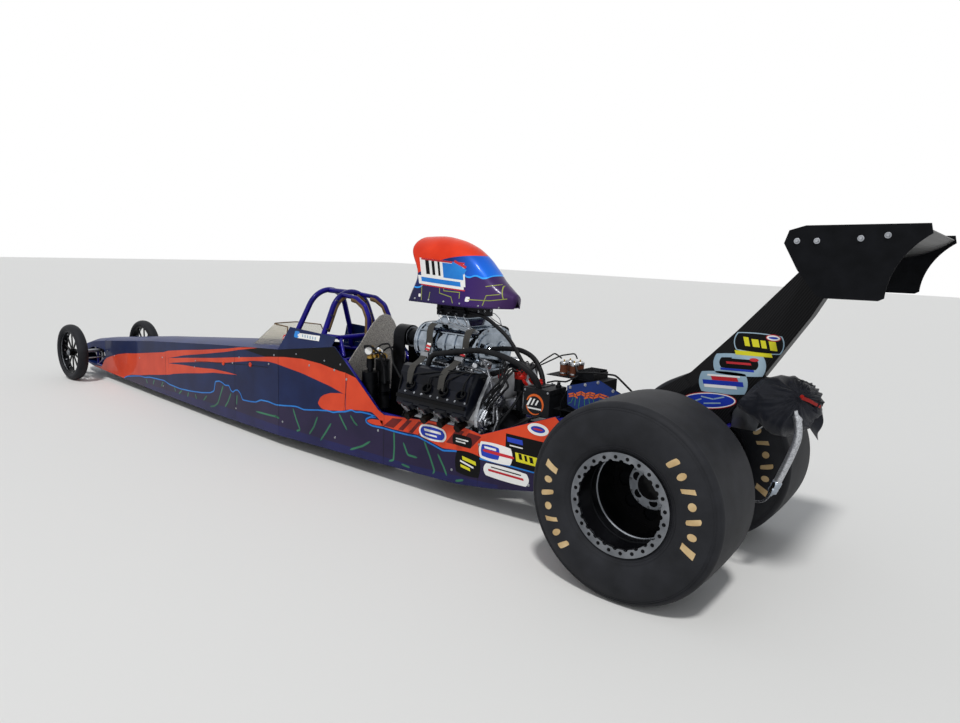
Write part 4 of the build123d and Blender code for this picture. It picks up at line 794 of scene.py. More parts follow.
def curveLength(piece):
    # length of the curve's own line, the sum of its steps, read from the curve without its round section
    data = piece.data.copy()
    data.bevel_depth = 0
    line = bpy.data.objects.new("line", data)
    mesh = bpy.data.meshes.new_from_object(line)
    points = np.array([v.co[:] for v in mesh.vertices])
    bpy.data.objects.remove(line)
    bpy.data.meshes.remove(mesh)
    return float(np.linalg.norm(np.diff(points, axis=0), axis=1).sum())


def addTether():
    # sleeve and cable as two open splines, joined by a fitting turned round their common line
    sleeve = cordCurve("tetherSleeve", tetherSleeve["points"], tetherSleeve["diameter"], foilSleeve)
    cable = cordCurve("tetherCable", tetherCable["points"], tetherCable["diameter"], steelBraid)
    top, bottom = np.array(tetherSleeve["points"][-1]), np.array(tetherCable["points"][0])
    axis = (bottom - top) / np.linalg.norm(bottom - top)
    # Swaged end: a collar on the sleeve, a hex waist and a thimble round the cable
    profile = [(0.0185, -0.03), (0.0208, -0.028), (0.021, -0.004), (0.0196, 0.0), (0.0196, 0.004),
        (0.021, 0.006), (0.021, 0.026), (0.016, 0.03), (0.011, 0.036), (0.009, 0.044), (0.0062, 0.046)]
    fitting = addParts("tetherFitting", [turned(profile, 24, top, axis)], polishedAluminium, smooth=True)
    # Stitched hem round the sleeve's upper mouth
    first, second = np.array(tetherSleeve["points"][:2])
    start = (second - first) / np.linalg.norm(second - first)
    hem = [(0.0172, 0.02), (0.0186, 0.021), (0.019, 0.024), (0.0188, 0.042), (0.0184, 0.046),
        (0.0172, 0.047)]
    collar = addParts("tetherSleeveHem", [turned(hem, 28, first, start)], foilSleeve, smooth=True)
    sleeveLength, cableLength = curveLength(sleeve), curveLength(cable)
    for piece in (sleeve, cable, fitting, collar):
        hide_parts("chute_tether")
    print("tether laid, sleeve and cable", round(sleeveLength, 3), round(cableLength, 3))


addTether()


def bagPoints(rows, cols):
    # ellipses whose half axes follow the table along the bag: y = w cos a, z = mid + h sin a
    table = np.array(chuteBag["sections"])
    run = np.linspace(0, 1, rows)
    keys = (table[:, 0] - table[0, 0]) / (table[-1, 0] - table[0, 0])
    share = 0.5 - 0.5 * np.cos(np.pi * run)
    x = np.interp(share, keys, table[:, 0])
    half, low, high = (soften(np.interp(share, keys, table[:, k]), 7) for k in (1, 2, 3))
    a = np.linspace(0, 2 * np.pi, cols, endpoint=False)
    y = half[:, None] * np.cos(a)
    z = (low + high)[:, None] / 2 + (high - low)[:, None] / 2 * np.sin(a)
    return np.stack([np.repeat(x[:, None], cols, 1), y, z], -1)


def gridNormals(points):
    # cross product of the steps along and round a tube of points, pointing away from its middle line
    along = np.gradient(points, axis=0)
    around = np.roll(points, -1, 1) - np.roll(points, 1, 1)
    normal = np.cross(around, along)
    normal /= np.linalg.norm(normal, axis=-1, keepdims=True) + 1e-12
    middle = points.mean(axis=1, keepdims=True)
    return normal * np.sign(np.sum(normal * (points - middle), -1, keepdims=True).mean())


def foldBag(points):
    # folds that run out from the pin: height = sum of |sin(k angle)| ridges, fading with distance from it
    normal = gridNormals(points)
    px, py, pz = chuteBag["pin"]
    away = points - np.array([px, 0, pz])
    away[..., 1] = np.abs(points[..., 1]) - py
    r = np.linalg.norm(away, axis=-1)
    angle = np.arctan2(away[..., 2], -away[..., 0])
    wobble = 0.35 * np.sin(3 * angle + 14 * r) + 0.2 * np.sin(7 * angle - 30 * r + 1.0)
    k = chuteBag["folds"]
    ridge = 1 - np.abs(np.sin(k * angle / 2 + wobble)) ** 0.8
    small = 1 - np.abs(np.sin(k * angle * 1.15 + 2.2 * wobble + 0.7)) ** 0.9
    strength = np.clip(r / 0.03, 0, 1) * (0.35 + 0.65 * np.exp(-((r - 0.05) / 0.11) ** 2))
    lift = chuteBag["foldHeight"] * strength * (ridge + 0.45 * small - 0.55)
    dent, reach = chuteBag["dent"]
    lift -= dent * np.exp(-(r / reach) ** 2)
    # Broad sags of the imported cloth
    x, y, z = points[..., 0], points[..., 1], points[..., 2]
    lift += chuteBag["sag"] * np.sin(38 * x + 20 * z + 3 * np.sin(25 * y)) + 0.002 * np.sin(71 * z - 22 * x)
    return points + normal * lift[..., None]


def flatAgainstPylon(points):
    # the bag lies flat on the pylon's trailing edge: x is at most the edge's x at that height
    (x0, z0), (x1, z1) = chuteBag["face"]
    limit = x0 + (points[..., 2] - z0) * (x1 - x0) / (z1 - z0)
    points[..., 0] = np.minimum(points[..., 0], limit)
    return points


def swellCloth(piece, pinned, pressure, frames, cap, slack=0.03):
    # lets the cloth fill and crease under pressure with some points held, then keeps each move under the cap
    start = meshPoints(piece.data)
    group = piece.vertex_groups.new(name="held")
    group.add([int(i) for i in pinned], 1.0, "REPLACE")
    cloth = piece.modifiers.new("cloth", "CLOTH")
    settings = cloth.settings
    settings.quality = 6
    settings.mass = 0.25
    settings.tension_stiffness, settings.compression_stiffness = 18, 8
    settings.shear_stiffness, settings.bending_stiffness = 6, 0.3
    settings.use_pressure = True
    settings.uniform_pressure_force = pressure
    settings.effector_weights.gravity = 0
    settings.vertex_group_mass = "held"
    settings.shrink_min = -slack
    cloth.point_cache.frame_start, cloth.point_cache.frame_end = 1, frames
    scene = bpy.context.scene
    for frameNumber in range(1, frames + 1):
        scene.frame_set(frameNumber)
    moved = meshPoints(piece.evaluated_get(bpy.context.evaluated_depsgraph_get()).data)
    piece.modifiers.remove(cloth)
    scene.frame_set(1)
    step = moved - start
    size = np.linalg.norm(step, axis=1, keepdims=True)
    step *= np.minimum(1, cap / np.maximum(size, 1e-9))
    piece.data.vertices.foreach_set("co", (start + np.nan_to_num(step)).ravel())
    piece.data.update()
    print(piece.name, "swelled, mean move in mm", round(float(np.linalg.norm(step, axis=1).mean() * 1000),
        1))


def addBag():
    # closed tube of folded rows, swelled by the cloth solver and laid flat on the pylon again
    rows, cols = 96, 150
    points = flatAgainstPylon(foldBag(bagPoints(rows, cols)))
    verts = points.reshape(-1, 3)
    faces = gridFaces(rows, cols, True).tolist()
    first, last = len(verts), len(verts) + 1
    verts = np.vstack([verts, points[0].mean(0), points[-1].mean(0)])
    base = (rows - 1) * cols
    faces += [[first, (k + 1) % cols, k] for k in range(cols)]
    faces += [[last, base + k, base + (k + 1) % cols] for k in range(cols)]
    bag = addMesh("chuteBag", placed(verts), faces, blackNylon, smooth=True,
        outward=True)
    pin = np.array(chuteBag["pin"])
    away = verts.copy()
    away[:, 1] = np.abs(away[:, 1])
    nearPin = np.linalg.norm(away - pin, axis=1) < chuteBag["held"]
    onPylon = flatAgainstPylon(verts + [0.002, 0, 0])[:, 0] < verts[:, 0] + 0.0015
    held = np.where(nearPin | (verts[:, 0] > -0.345) & onPylon)[0]
    swellCloth(bag, held, 0.6, 14, chuteBag["cap"])
    settled = meshPoints(bag.data) - [axleX, 0, 0]
    bag.data.vertices.foreach_set("co", placed(flatAgainstPylon(settled)).ravel())
    bag.modifiers.new("smoother", "SUBSURF").levels = 1
    bag.modifiers["smoother"].render_levels = 1
    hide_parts("chute_pack")
    return bag


addBag()


def clothSheet(name, points, material, thickness):
    # cloth patch from a grid of points: p(u, v), given a thickness and smoothed
    points = np.asarray(points, float)
    piece = addMesh(name, placed(points.reshape(-1, 3)), gridFaces(*points.shape[:2]), material, smooth=True)
    giveSkin(piece, thickness, 0)
    soft = piece.modifiers.new("soft", "SUBSURF")
    soft.levels = soft.render_levels = 1
    return keepShape(piece)


def strapAlong(points, width, facing, thickness=0.0016, count=48, droop=0.0):
    # flat webbing: rows across the path, each row at right angles to the path and to the facing direction
    path = smoothPath(points, count)
    tangent = np.gradient(path, axis=0)
    tangent /= np.linalg.norm(tangent, axis=1, keepdims=True)
    facing = np.broadcast_to(np.asarray(facing, float), path.shape)
    side = np.cross(tangent, facing)
    side /= np.linalg.norm(side, axis=1, keepdims=True)
    normal = np.cross(side, tangent)
    steps = np.linspace(-0.5, 0.5, 5)
    crown = (0.25 - steps ** 2) * droop
    lift = normal[:, None] * (thickness / 2 + crown)[None, :, None]
    top = path[:, None] + side[:, None] * steps[None, :, None] * width + lift
    low = top - normal[:, None] * thickness
    ring = np.concatenate([top, low[:, ::-1]], 1)
    rows, cols = ring.shape[:2]
    faces = gridFaces(rows, cols, True).tolist()
    faces += [list(range(cols))[::-1], [(rows - 1) * cols + k for k in range(cols)]]
    return ring.reshape(-1, 3), faces


def addBagTrim():
    # Red pin with a turned head, pushed through the bag's gather on each side
    px, py, pz = chuteBag["pin"]
    knob = [(0.003, -0.02), (0.003, 0.004), (0.0075, 0.005), (0.0082, 0.008), (0.0082, 0.013),
        (0.007, 0.016), (0.0035, 0.017)]
    places = [(px - 0.002, s * (py - 0.004), pz) for s in (1, -1)]
    addParts("chutePins", [repeated(lathe(knob, 20), places, [(-0.35, s * 0.92, 0.18) for s in (1, -1)])],
        redPlastic, smooth=True)
    # Red and black straps that close the bag's mouth
    straps = [([(-0.524, s * 0.098, 0.896), (-0.552, s * 0.078, 0.884), (-0.574, s * 0.05, 0.868),
        (-0.585, s * 0.018, 0.856)], (-0.8, s * 0.5, 0.3)) for s in (1, -1)]
    addParts("chuteRedStraps", [strapAlong(points, 0.016, facing, droop=0.004) for points, facing in straps],
        redWebbing)
    tail = [(-0.47, 0.02, 0.965), (-0.51, 0.032, 0.957), (-0.538, 0.048, 0.952), (-0.556, 0.06, 0.946)]
    addParts("chuteClosingTail", [strapAlong(tail, 0.014, (0, 0, 1), droop=0.003)], blackWebbing)
    # Loose mouth of the bag: a cuff of cloth with a wavy lip, open towards the rear and below
    a = np.linspace(-0.35 * np.pi, 1.15 * np.pi, 42)
    v = np.linspace(0, 1, 9)
    aa, vv = np.meshgrid(a, v, indexing="ij")
    radius = 0.05 + 0.022 * vv + 0.005 * np.sin(6 * aa + 2 * vv) * vv
    x = -0.548 - 0.04 * vv - 0.006 * np.sin(4 * aa + 1) * vv
    y = 0.02 + radius * 0.8 * np.cos(aa - np.pi / 2 + np.pi)
    z = 0.822 - 0.03 * vv + radius * 1.12 * np.sin(aa - np.pi / 2 + np.pi)
    clothSheet("chuteMouthCuff", np.stack([x, y, z], -1), blackNylon, 0.0016)


addBagTrim()
print("parachute bag made")

# The air scoop: one smooth shell with a rolled lip, on a flat floor

scoopShape = {
    # distance, half width at the base, half width of the crown, height of the crown
    "sections": [(1.775, 0.16, 0.12, 1.528), (1.6, 0.176, 0.124, 1.536), (1.47, 0.182, 0.118, 1.518),
        (1.36, 0.182, 0.108, 1.48), (1.285, 0.178, 0.098, 1.432), (1.215, 0.165, 0.086, 1.366),
        (1.16, 0.135, 0.076, 1.304), (1.1, 0.095, 0.06, 1.255), (1.04, 0.03, 0.02, 1.215)],
    # height and distance of the mouth's edge seen from the side
    "lip": [(1.13, 1.74), (1.21, 1.706), (1.27, 1.673), (1.32, 1.675), (1.385, 1.714), (1.44, 1.75),
        (1.49, 1.75), (1.54, 1.722)],
    "floor": 1.1345, "wall": 0.005, "plate": 0.004, "creasePasses": 14,
    # hole in the floor: lowest and highest distance, half width; middle of the throttle shaft
    "throat": (1.325, 1.515, 0.1), "throttle": (1.42, 0, 1.15),
    "screws": (1.1, 1.2, 1.32, 1.44, 1.56, 1.68),
}


def smoothTable(table, column, x):
    # reads a column of the table at x with a monotone cubic through its points
    keys, values = np.array([row[0] for row in table]), np.array([row[column] for row in table])
    order = np.argsort(keys)
    keys, values = keys[order], values[order]
    slope = np.diff(values) / np.diff(keys)
    tangent = np.concatenate([[slope[0]], np.where(slope[1:] * slope[:-1] > 0,
        2 * slope[1:] * slope[:-1] / (slope[1:] + slope[:-1] + 1e-12), 0), [slope[-1]]])
    x = np.clip(x, keys[0], keys[-1])
    k = np.clip(np.searchsorted(keys, x) - 1, 0, len(keys) - 2)
    h = keys[k + 1] - keys[k]
    t = (x - keys[k]) / h
    return ((2 * t ** 3 - 3 * t ** 2 + 1) * values[k] + (t ** 3 - 2 * t ** 2 + t) * h * tangent[k]
            + (3 * t ** 2 - 2 * t ** 3) * values[k + 1] + (t ** 3 - t ** 2) * h * tangent[k + 1])


def scoopSection(x, t):
    # half of a section, t from 0 at the base to 1 at the crown: leaning side, then a round dome over it
    low = scoopShape["floor"]
    base, crownHalf, crown = (smoothTable(scoopShape["sections"], k, x) for k in (1, 2, 3))
    mid = low + (crown - low) * 0.62
    shoulder = crownHalf + 0.018
    rise = crown - mid
    radius = (shoulder ** 2 + rise ** 2) / (2 * rise)
    centre = crown - radius
    full = np.arctan2(shoulder, mid - centre)
    split = 0.5
    s = np.clip(t / split, 0, 1)
    a = full * (1 - np.clip((t - split) / (1 - split), 0, 1))
    y = np.where(t < split, base + (shoulder - base) * s, radius * np.sin(a))
    z = np.where(t < split, low + (mid - low) * s, centre + radius * np.cos(a))
    return y, z


def scoopGrid(rows, cols):
    # p(v, t): from the mouth's edge back to the tail, each point's distance found from its own height
    t = np.concatenate([np.linspace(0, 1, cols), np.linspace(1, 0, cols)[1:]])
    side = np.concatenate([np.ones(cols), -np.ones(cols - 1)])
    v = 1 - (1 - np.linspace(0, 1, rows)) ** 1.15
    vv, tt = np.meshgrid(v, t, indexing="ij")
    tail = scoopShape["sections"][-1][0]
    x = 1.7 + vv * (tail - 1.7)
    for _ in range(6):
        y, z = scoopSection(x, tt)
        lip = np.interp(z, [row[0] for row in scoopShape["lip"]], [row[1] for row in scoopShape["lip"]])
        lip = np.apply_along_axis(lambda line: soften(line, 9), 1, lip)
        x = lip + vv * (tail - lip)
    y, z = scoopSection(x, tt)
    y = y * side
    # Rounds the crease where the side meets the dome
    for _ in range(scoopShape["creasePasses"]):
        for line in (y, z):
            line[:, 1:-1] = line[:, 1:-1] * 0.5 + (line[:, :-2] + line[:, 2:]) * 0.25
    return np.stack([x, y, z], -1)


def addScoop():
    # open shell of section rows closed at its tail and given a wall, on its floor
    rows, cols = 72, 37
    grid = scoopGrid(rows, cols)
    wide = grid.shape[1]
    faces = gridFaces(rows, wide).tolist()
    verts = grid.reshape(-1, 3)
    # A fan closes the tail
    centre = len(verts)
    verts = np.vstack([verts, grid[-1].mean(0) + [-0.004, 0, 0]])
    base = (rows - 1) * wide
    faces += [[base + k, base + k + 1, centre] for k in range(wide - 1)]
    shell = addMesh("scoopShell", placed(verts), faces, scoopPaint, smooth=True,
        outward=True)
    giveSkin(shell, scoopShape["wall"], -1)
    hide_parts("scoop")
    # Floor with a throat cut in it, between the two base lines
    left, right = grid[:, 0], grid[:, -1]
    v = np.linspace(0, 1, 21)
    top = left[:, None] + (right - left)[:, None] * v[None, :, None]
    top[..., 2] = scoopShape["floor"] + 0.0045
    quads = gridFaces(rows, 21)
    centres = top.reshape(-1, 3)[quads].mean(1)
    low, high, half = scoopShape["throat"]
    keep = ~((centres[:, 0] > low) & (centres[:, 0] < high) & (np.abs(centres[:, 1]) < half))
    floor = addMesh("scoopFloor", placed(top.reshape(-1, 3)), quads[keep], scoopPaint)
    giveSkin(floor, scoopShape["plate"], -1)
    # Butterflies on their shaft in the throat, and the screws round the base
    throat = scoopShape["throttle"]
    blade = [(0.0, -0.0015), (0.03, -0.0015), (0.03, 0.0015), (0.0, 0.0015)]
    shapes = [turned(blade, 28, np.add(throat, (0, y, 0)), (0.25, 0, 0.97)) for y in (-0.064, 0, 0.064)]
    addParts("throttleBlades", shapes, brass)
    addParts("throttleShaft", [turned([(0.004, -0.098), (0.004, 0.098)], 12, throat, (0, 1, 0))],
        platedSteel)
    screw = [(0.0062, 0.0), (0.0062, 0.0016), (0.0045, 0.003), (0.0018, 0.0032), (0.0015, 0.0012)]
    places, axes = [], []
    for x in scoopShape["screws"]:
        y, z = scoopSection(np.array([x]), np.array([0.04]))
        for s in (1, -1):
            places.append((x, s * float(y[0]), float(z[0])))
            axes.append((0, s, 0.12))
    addParts("scoopScrews", [repeated(lathe(screw, 12), places, axes)], platedSteel, smooth=True)
    return shell


scoopShell = addScoop()
print("scoop made")

# Vinyl films: rows of shape, centre along and up, width, height, tilt in degrees, slant, lift in millimetres

# Distance beside the car's middle from which films are dropped onto curved pieces
filmStart = 1.2


def filmPatch(kind, width, height, tilt, slant, count=11):
    # square grid drawn towards an ellipse by k: u = s sqrt(1 - k t2/2), w = t sqrt(1 - k s2/2)
    k = {"bar": 0.0, "badge": 0.45, "oval": 1.0, "octagon": 0.75}[kind]
    s = np.linspace(-1, 1, count)
    ss, tt = np.meshgrid(s, s, indexing="ij")
    u, w = ss * np.sqrt(1 - k * tt ** 2 / 2), tt * np.sqrt(1 - k * ss ** 2 / 2)
    if kind == "badge":
        u, w = u * 1.06, w * 1.06
    x, z = u * width / 2 + w * height / 2 * slant, w * height / 2
    c, q = math.cos(math.radians(tilt)), math.sin(math.radians(tilt))
    return np.stack([x * c - z * q, x * q + z * c], -1).reshape(-1, 2), gridFaces(count, count)


def addFilms(name, rows, material, half=None, target=None):
    # films on flat skins at y = half + lift, or dropped along y onto a curved piece
    lifts = sorted({row[7] for row in rows})
    for index, lift in enumerate(lifts):
        shapes = []
        for kind, x, z, width, height, tilt, slant, rowLift in rows:
            if rowLift != lift:
                continue
            patch, faces = filmPatch(kind, width, height, tilt, slant)
            for side in (1, -1):
                start = half + lift / 1000 if half is not None else filmStart
                points = np.column_stack([patch[:, 0] + x, np.full(len(patch), side * start),
                    patch[:, 1] + z])
                shapes.append((points, faces if side < 0 else faces[:, ::-1]))
        piece = addParts(name + ("" if len(lifts) == 1 else str(index + 1)), shapes, material,
            outward=False)
        if target is not None:
            wrapPiece(piece, target, lift / 1000)
        giveSkin(piece, 0.0003)


scoopFilms = {
    # generic slanted badge and bar
    "white": [("bar", 1.49, 1.322, 0.33, 0.135, 3.0, 0.35, 0.6),
        ("bar", 1.492, 1.262, 0.345, 0.05, 3.0, 0.4, 0.6), ("badge", 1.64, 1.176, 0.018, 0.018, 0, 0, 0.6),
        ("badge", 1.275, 1.178, 0.026, 0.026, 0, 0, 0.6)],
    "red": [("bar", 1.5, 1.385, 0.32, 0.01, 3.0, 0, 0.9), ("bar", 1.47, 1.233, 0.335, 0.007, 3.0, 0, 0.9),
        ("bar", 1.368, 1.372, 0.09, 0.014, 22, 0, 0.9)],
    "blue": [("bar", 1.41, 1.33, 0.14, 0.085, 3.0, 0.35, 0.9),
        ("bar", 1.49, 1.266, 0.3, 0.026, 3.0, 0.4, 0.9), ("bar", 1.375, 1.35, 0.11, 0.03, 24, 0, 1.2)],
    "black": [("bar", 1.6, 1.345, 0.03, 0.08, 3.0, 0.35, 0.9),
        ("bar", 1.553, 1.342, 0.022, 0.08, 3.0, 0.35, 0.9), ("bar", 1.51, 1.34, 0.016, 0.08, 3.0, 0.35,
        0.9)],
}
# Thin yellow-green lines with square corners over the scoop's foot: (distance, height) points
scoopCircuit = [[(1.19, 1.255), (1.12, 1.27), (1.085, 1.19)], [(1.27, 1.177), (1.15, 1.178), (1.07, 1.192)],
    [(1.455, 1.235), (1.45, 1.215), (1.335, 1.213), (1.33, 1.18)],
    [(1.485, 1.235), (1.48, 1.2), (1.39, 1.183), (1.37, 1.15)], [(1.63, 1.235), (1.62, 1.15)],
    [(1.18, 1.15), (1.175, 1.205), (1.11, 1.215)], [(1.56, 1.15), (1.556, 1.2)]]


def dropMissed(form):
    # a point that met nothing is still far out beside the car
    bmesh.ops.delete(form, geom=[point for point in form.verts if abs(point.co.y) > filmStart - 0.21],
        context="VERTS")


def wrapPiece(piece, target, lift):
    # drops each point of a flat patch along y until it meets the target, a lift above its surface
    wrap = piece.modifiers.new("wrap", "SHRINKWRAP")
    wrap.target = target
    wrap.wrap_method = "PROJECT"
    wrap.use_project_x, wrap.use_project_y, wrap.use_project_z = False, True, False
    wrap.use_negative_direction = wrap.use_positive_direction = True
    wrap.wrap_mode = "ABOVE_SURFACE"
    wrap.offset = lift
    keepShape(piece)
    editMesh(piece.data, dropMissed)
    return piece


def lineFilm(points, width):
    # flat line of one width with square corners, as quads, in the plane of (distance, height)
    shapes, steps = [], 10
    points = np.asarray(points, float)
    for one, two in zip(points[:-1], points[1:]):
        run = (two - one) / np.linalg.norm(two - one)
        across = np.array([-run[1], run[0]]) * width / 2
        ends = np.linspace(one - run * width * 0.3, two + run * width * 0.3, steps)
        shapes.append((np.stack([ends + across, ends - across], 1).reshape(-1, 2), gridFaces(steps, 2)))
    return shapes


def addScoopFilms():
    # vinyl patches and thin lines dropped onto the scoop's shell
    for name, material in (("white", whiteVinyl), ("red", redVinyl), ("blue", cyanPaint),
            ("black", blackPaint)):
        addFilms("scoopFilm" + name.capitalize(), scoopFilms[name], material, target=scoopShell)
    shapes = []
    for line in scoopCircuit:
        for patch, faces in lineFilm(line, 0.0045):
            for side in (1, -1):
                shapes.append((np.column_stack([patch[:, 0], np.full(len(patch), side * filmStart),
                    patch[:, 1]]), faces))
    piece = addParts("scoopThinLines", shapes, circuitPaint, outward=False)
    wrapPiece(piece, scoopShell, 0.0007)


circuitPaint = paint("lacqueredYellowGreenLine", "#7f8a3c", "#a0a651", 0.0)
addScoopFilms()

pylonFilms = {
    "edge": [("badge", -0.31, 1.1, 0.205, 0.086, 0, 0, 0.5), ("badge", -0.235, 0.992, 0.222, 0.096, -3, 0,
        0.5), ("badge", -0.17, 0.9, 0.212, 0.1, -4, 0, 0.5)],
    "black": [("badge", -0.31, 1.1, 0.196, 0.078, 0, 0, 0.9), ("badge", -0.232, 0.998, 0.165, 0.05, -3, 0,
        0.9)],
    "yellow": [("bar", -0.372, 1.094, 0.03, 0.04, 0, 0.3, 1.3),
        ("bar", -0.332, 1.097, 0.022, 0.034, 0, 0.3, 1.3), ("bar", -0.297, 1.099, 0.03, 0.034, 0, 0.3, 1.3),
        ("bar", -0.258, 1.102, 0.022, 0.04, 0, 0.3, 1.3), ("bar", -0.292, 1.05, 0.16, 0.02, -2, 0.3, 0.9)],
    "red": [("oval", -0.37, 1.13, 0.064, 0.03, 0, 0, 1.4), ("bar", -0.232, 0.999, 0.11, 0.01, -3, 0.4, 1.4),
        ("bar", -0.176, 0.919, 0.12, 0.018, -4, 0.4, 1.4), ("oval", -0.112, 0.806, 0.258, 0.08, -8, 0, 0.5),
        ("oval", -0.298, 1.023, 0.04, 0.016, -3, 0, 1.4)],
    "white": [("oval", -0.37, 1.13, 0.056, 0.023, 0, 0, 1.6), ("oval", -0.112, 0.806, 0.25, 0.073, -8, 0,
        0.7), ("bar", -0.17, 0.932, 0.15, 0.008, -4, 0, 1.2), ("bar", -0.16, 0.88, 0.15, 0.014, -4, 0.3,
        1.4)],
    "blue": [("oval", -0.37, 1.13, 0.04, 0.01, 0, 0, 1.8), ("oval", -0.112, 0.806, 0.238, 0.064, -8, 0, 0.9),
        ("bar", -0.17, 0.898, 0.186, 0.022, -4, 0.2, 1.2), ("bar", -0.228, 0.968, 0.15, 0.01, -3, 0.2, 1.2)],
    "strokes": [("bar", -0.16, 0.826, 0.05, 0.006, -20, 0, 1.3),
        ("bar", -0.105, 0.818, 0.06, 0.006, 4, 0, 1.3), ("bar", -0.06, 0.8, 0.04, 0.006, -26, 0, 1.3),
        ("bar", -0.13, 0.796, 0.08, 0.006, -10, 0, 1.3), ("bar", -0.24, 1.022, 0.08, 0.005, -3, 0, 1.3)],
}


def addPylonFilms():
    # badges and bars on both flat sides of the pylon
    for name, material in (("edge", paleBlueVinyl), ("black", blackPaint), ("yellow", yellowVinyl),
            ("red", redVinyl), ("white", whiteVinyl), ("blue", blueVinyl), ("strokes", paleBlueVinyl)):
        addFilms("pylonFilm" + name.capitalize(), pylonFilms[name], material, half=0.044)


addPylonFilms()

sideFilms = {
    # octagon, badges, patches and ovals on the body's sides
    "white": [("octagon", 1.385, 0.395, 0.215, 0.092, 0, 0, 1.2),
        ("badge", 0.925, 0.375, 0.215, 0.1, 0, 0, 1.2), ("oval", 0.66, 0.56, 0.13, 0.064, 0, 0, 1.2),
        ("badge", 0.85, 0.272, 0.285, 0.074, 0, 0, 1.2), ("bar", 0.79, 0.44, 0.085, 0.006, 0, 0, 2.0),
        ("bar", 1.12, 0.268, 0.1, 0.01, 12, 0, 2.0)],
    "blue": [("octagon", 1.385, 0.395, 0.19, 0.07, 0, 0, 1.6), ("badge", 0.96, 0.375, 0.12, 0.07, 0, 0, 1.6),
        ("oval", 0.66, 0.56, 0.088, 0.034, 0, 0, 1.6), ("bar", 0.8, 0.47, 0.1, 0.026, 0, 0.2, 1.6)],
    "red": [("badge", 0.905, 0.375, 0.2, 0.016, 0, 0, 1.9), ("bar", 0.85, 0.272, 0.235, 0.012, 0, 0.3, 1.9),
        ("oval", 0.66, 0.56, 0.06, 0.01, 0, 0, 1.9)],
    "whiteTop": [("bar", 1.385, 0.405, 0.13, 0.014, 0, 0.4, 1.9),
        ("bar", 1.395, 0.38, 0.09, 0.01, 0, 0.4, 1.9), ("bar", 0.96, 0.394, 0.08, 0.012, 0, 0.3, 2.1),
        ("bar", 1.16, 0.402, 0.09, 0.008, 0, 0.2, 1.9), ("bar", 1.17, 0.386, 0.07, 0.008, 0, 0.2, 1.9)],
    "black": [("bar", 0.74, 0.415, 0.24, 0.17, 0, 0, 1.1), ("badge", 1.16, 0.395, 0.135, 0.062, 0, 0, 1.4),
        ("badge", 1.115, 0.27, 0.172, 0.132, 0, 0, 1.1)],
    "yellow": [("bar", 0.72, 0.385, 0.14, 0.048, 0, 0.2, 1.6), ("bar", 1.105, 0.292, 0.1, 0.02, 8, 0.4, 1.6),
        ("bar", 1.13, 0.246, 0.07, 0.016, 8, 0.4, 1.6)],
    "blackTop": [("bar", 0.76, 0.392, 0.02, 0.03, 0, 0.3, 2.0),
        ("bar", 0.725, 0.39, 0.016, 0.03, 0, 0.3, 2.0), ("bar", 0.69, 0.388, 0.022, 0.03, 0, 0.3, 2.0),
        ("bar", 0.85, 0.292, 0.2, 0.006, 0, 0, 2.0)],
}


def addSideFilms():
    # patches on the flat skins behind the engine, and a strip on each side of the cowl
    for name, material in (("white", whiteVinyl), ("blue", blueVinyl), ("red", redVinyl),
            ("whiteTop", whiteVinyl), ("black", blackPaint), ("yellow", yellowVinyl),
            ("blackTop", blackPaint)):
        addFilms("sideFilm" + name[0].upper() + name[1:], sideFilms[name], material, half=0.3)
    addFilms("cowlFilmWhite", [("bar", 2.56, 0.828, 0.235, 0.034, -1, 0.2, 0.8)], whiteVinyl,
        target=nodes["cowl"])
    addFilms("cowlFilmBlue", [("badge", 2.69, 0.832, 0.05, 0.042, 0, 0, 0.8)], cyanPaint,
        target=nodes["cowl"])
    addFilms("cowlFilmStrokes", [("bar", 2.625 - 0.028 * k, 0.83 - 0.001 * k, 0.012, 0.018, -1, 0.4, 1.2)
        for k in range(6)], paleBlueVinyl, target=nodes["cowl"])


addSideFilms()
print("films laid on scoop, pylon, sides and cowl")

# Quarter-turn buttons that hold the skins: distance, height, radius in millimetres
skinButtons = [(4.1, 0.455, 7), (4.12, 0.4, 7), (3.5, 0.52, 7), (3.46, 0.17, 7), (2.99, 0.585, 8),
    (2.82, 0.19, 8), (2.52, 0.64, 8), (2.26, 0.645, 8), (2.14, 0.6, 8), (2.25, 0.19, 8), (1.23, 0.21, 8),
    (0.7, 0.25, 8), (1.84, 0.32, 8), (5.2, 0.33, 7), (5.8, 0.27, 7), (4.72, 0.4, 7), (4.72, 0.14, 7),
    (5.96, 0.3, 7), (3.4, 0.58, 7), (2.92, 0.66, 7)]


def addButtons():
    # one turned button of unit radius, scaled to each place on both skins, and a wire clipped along each side
    profile = [(1.0, 0.0), (1.0, 0.1), (0.86, 0.24), (0.4, 0.34), (0.3, 0.2), (0.001, 0.2)]
    places, axes, scales = [], [], []
    for x, z, radius in skinButtons:
        half = float(along(bodySide["half"], x))
        for s in (1, -1):
            places.append((x, s * (half + 0.001), z))
            axes.append((0, s, 0))
            scales.append(radius / 1000)
    addParts("skinButtons", [repeated(lathe(profile, 16), places, axes, scales)], platedSteel, smooth=True)
    places = [(x, s * (float(along(bodySide["half"], x)) + 0.001), z)
        for x, z in ((3.24, 0.545), (3.64, 0.5)) for s in (1, -1)]
    addParts("sideDomes", [repeated(lathe(profile, 24), places, [(0, np.sign(p[1]), 0) for p in places],
        [0.018] * 4)], orangePaint, smooth=True)
    wire = [(4.1, 0.45), (3.9, 0.475), (3.6, 0.505), (3.3, 0.535), (3.0, 0.56)]
    shapes = []
    for s in (1, -1):
        path = smoothPath([(x, s * (float(along(bodySide["half"], x)) + 0.0022), z) for x, z in wire], 40)
        shapes.append(sweepRound(path, 0.0013, 6))
    addParts("sideWires", shapes, headerSteel)


addButtons()

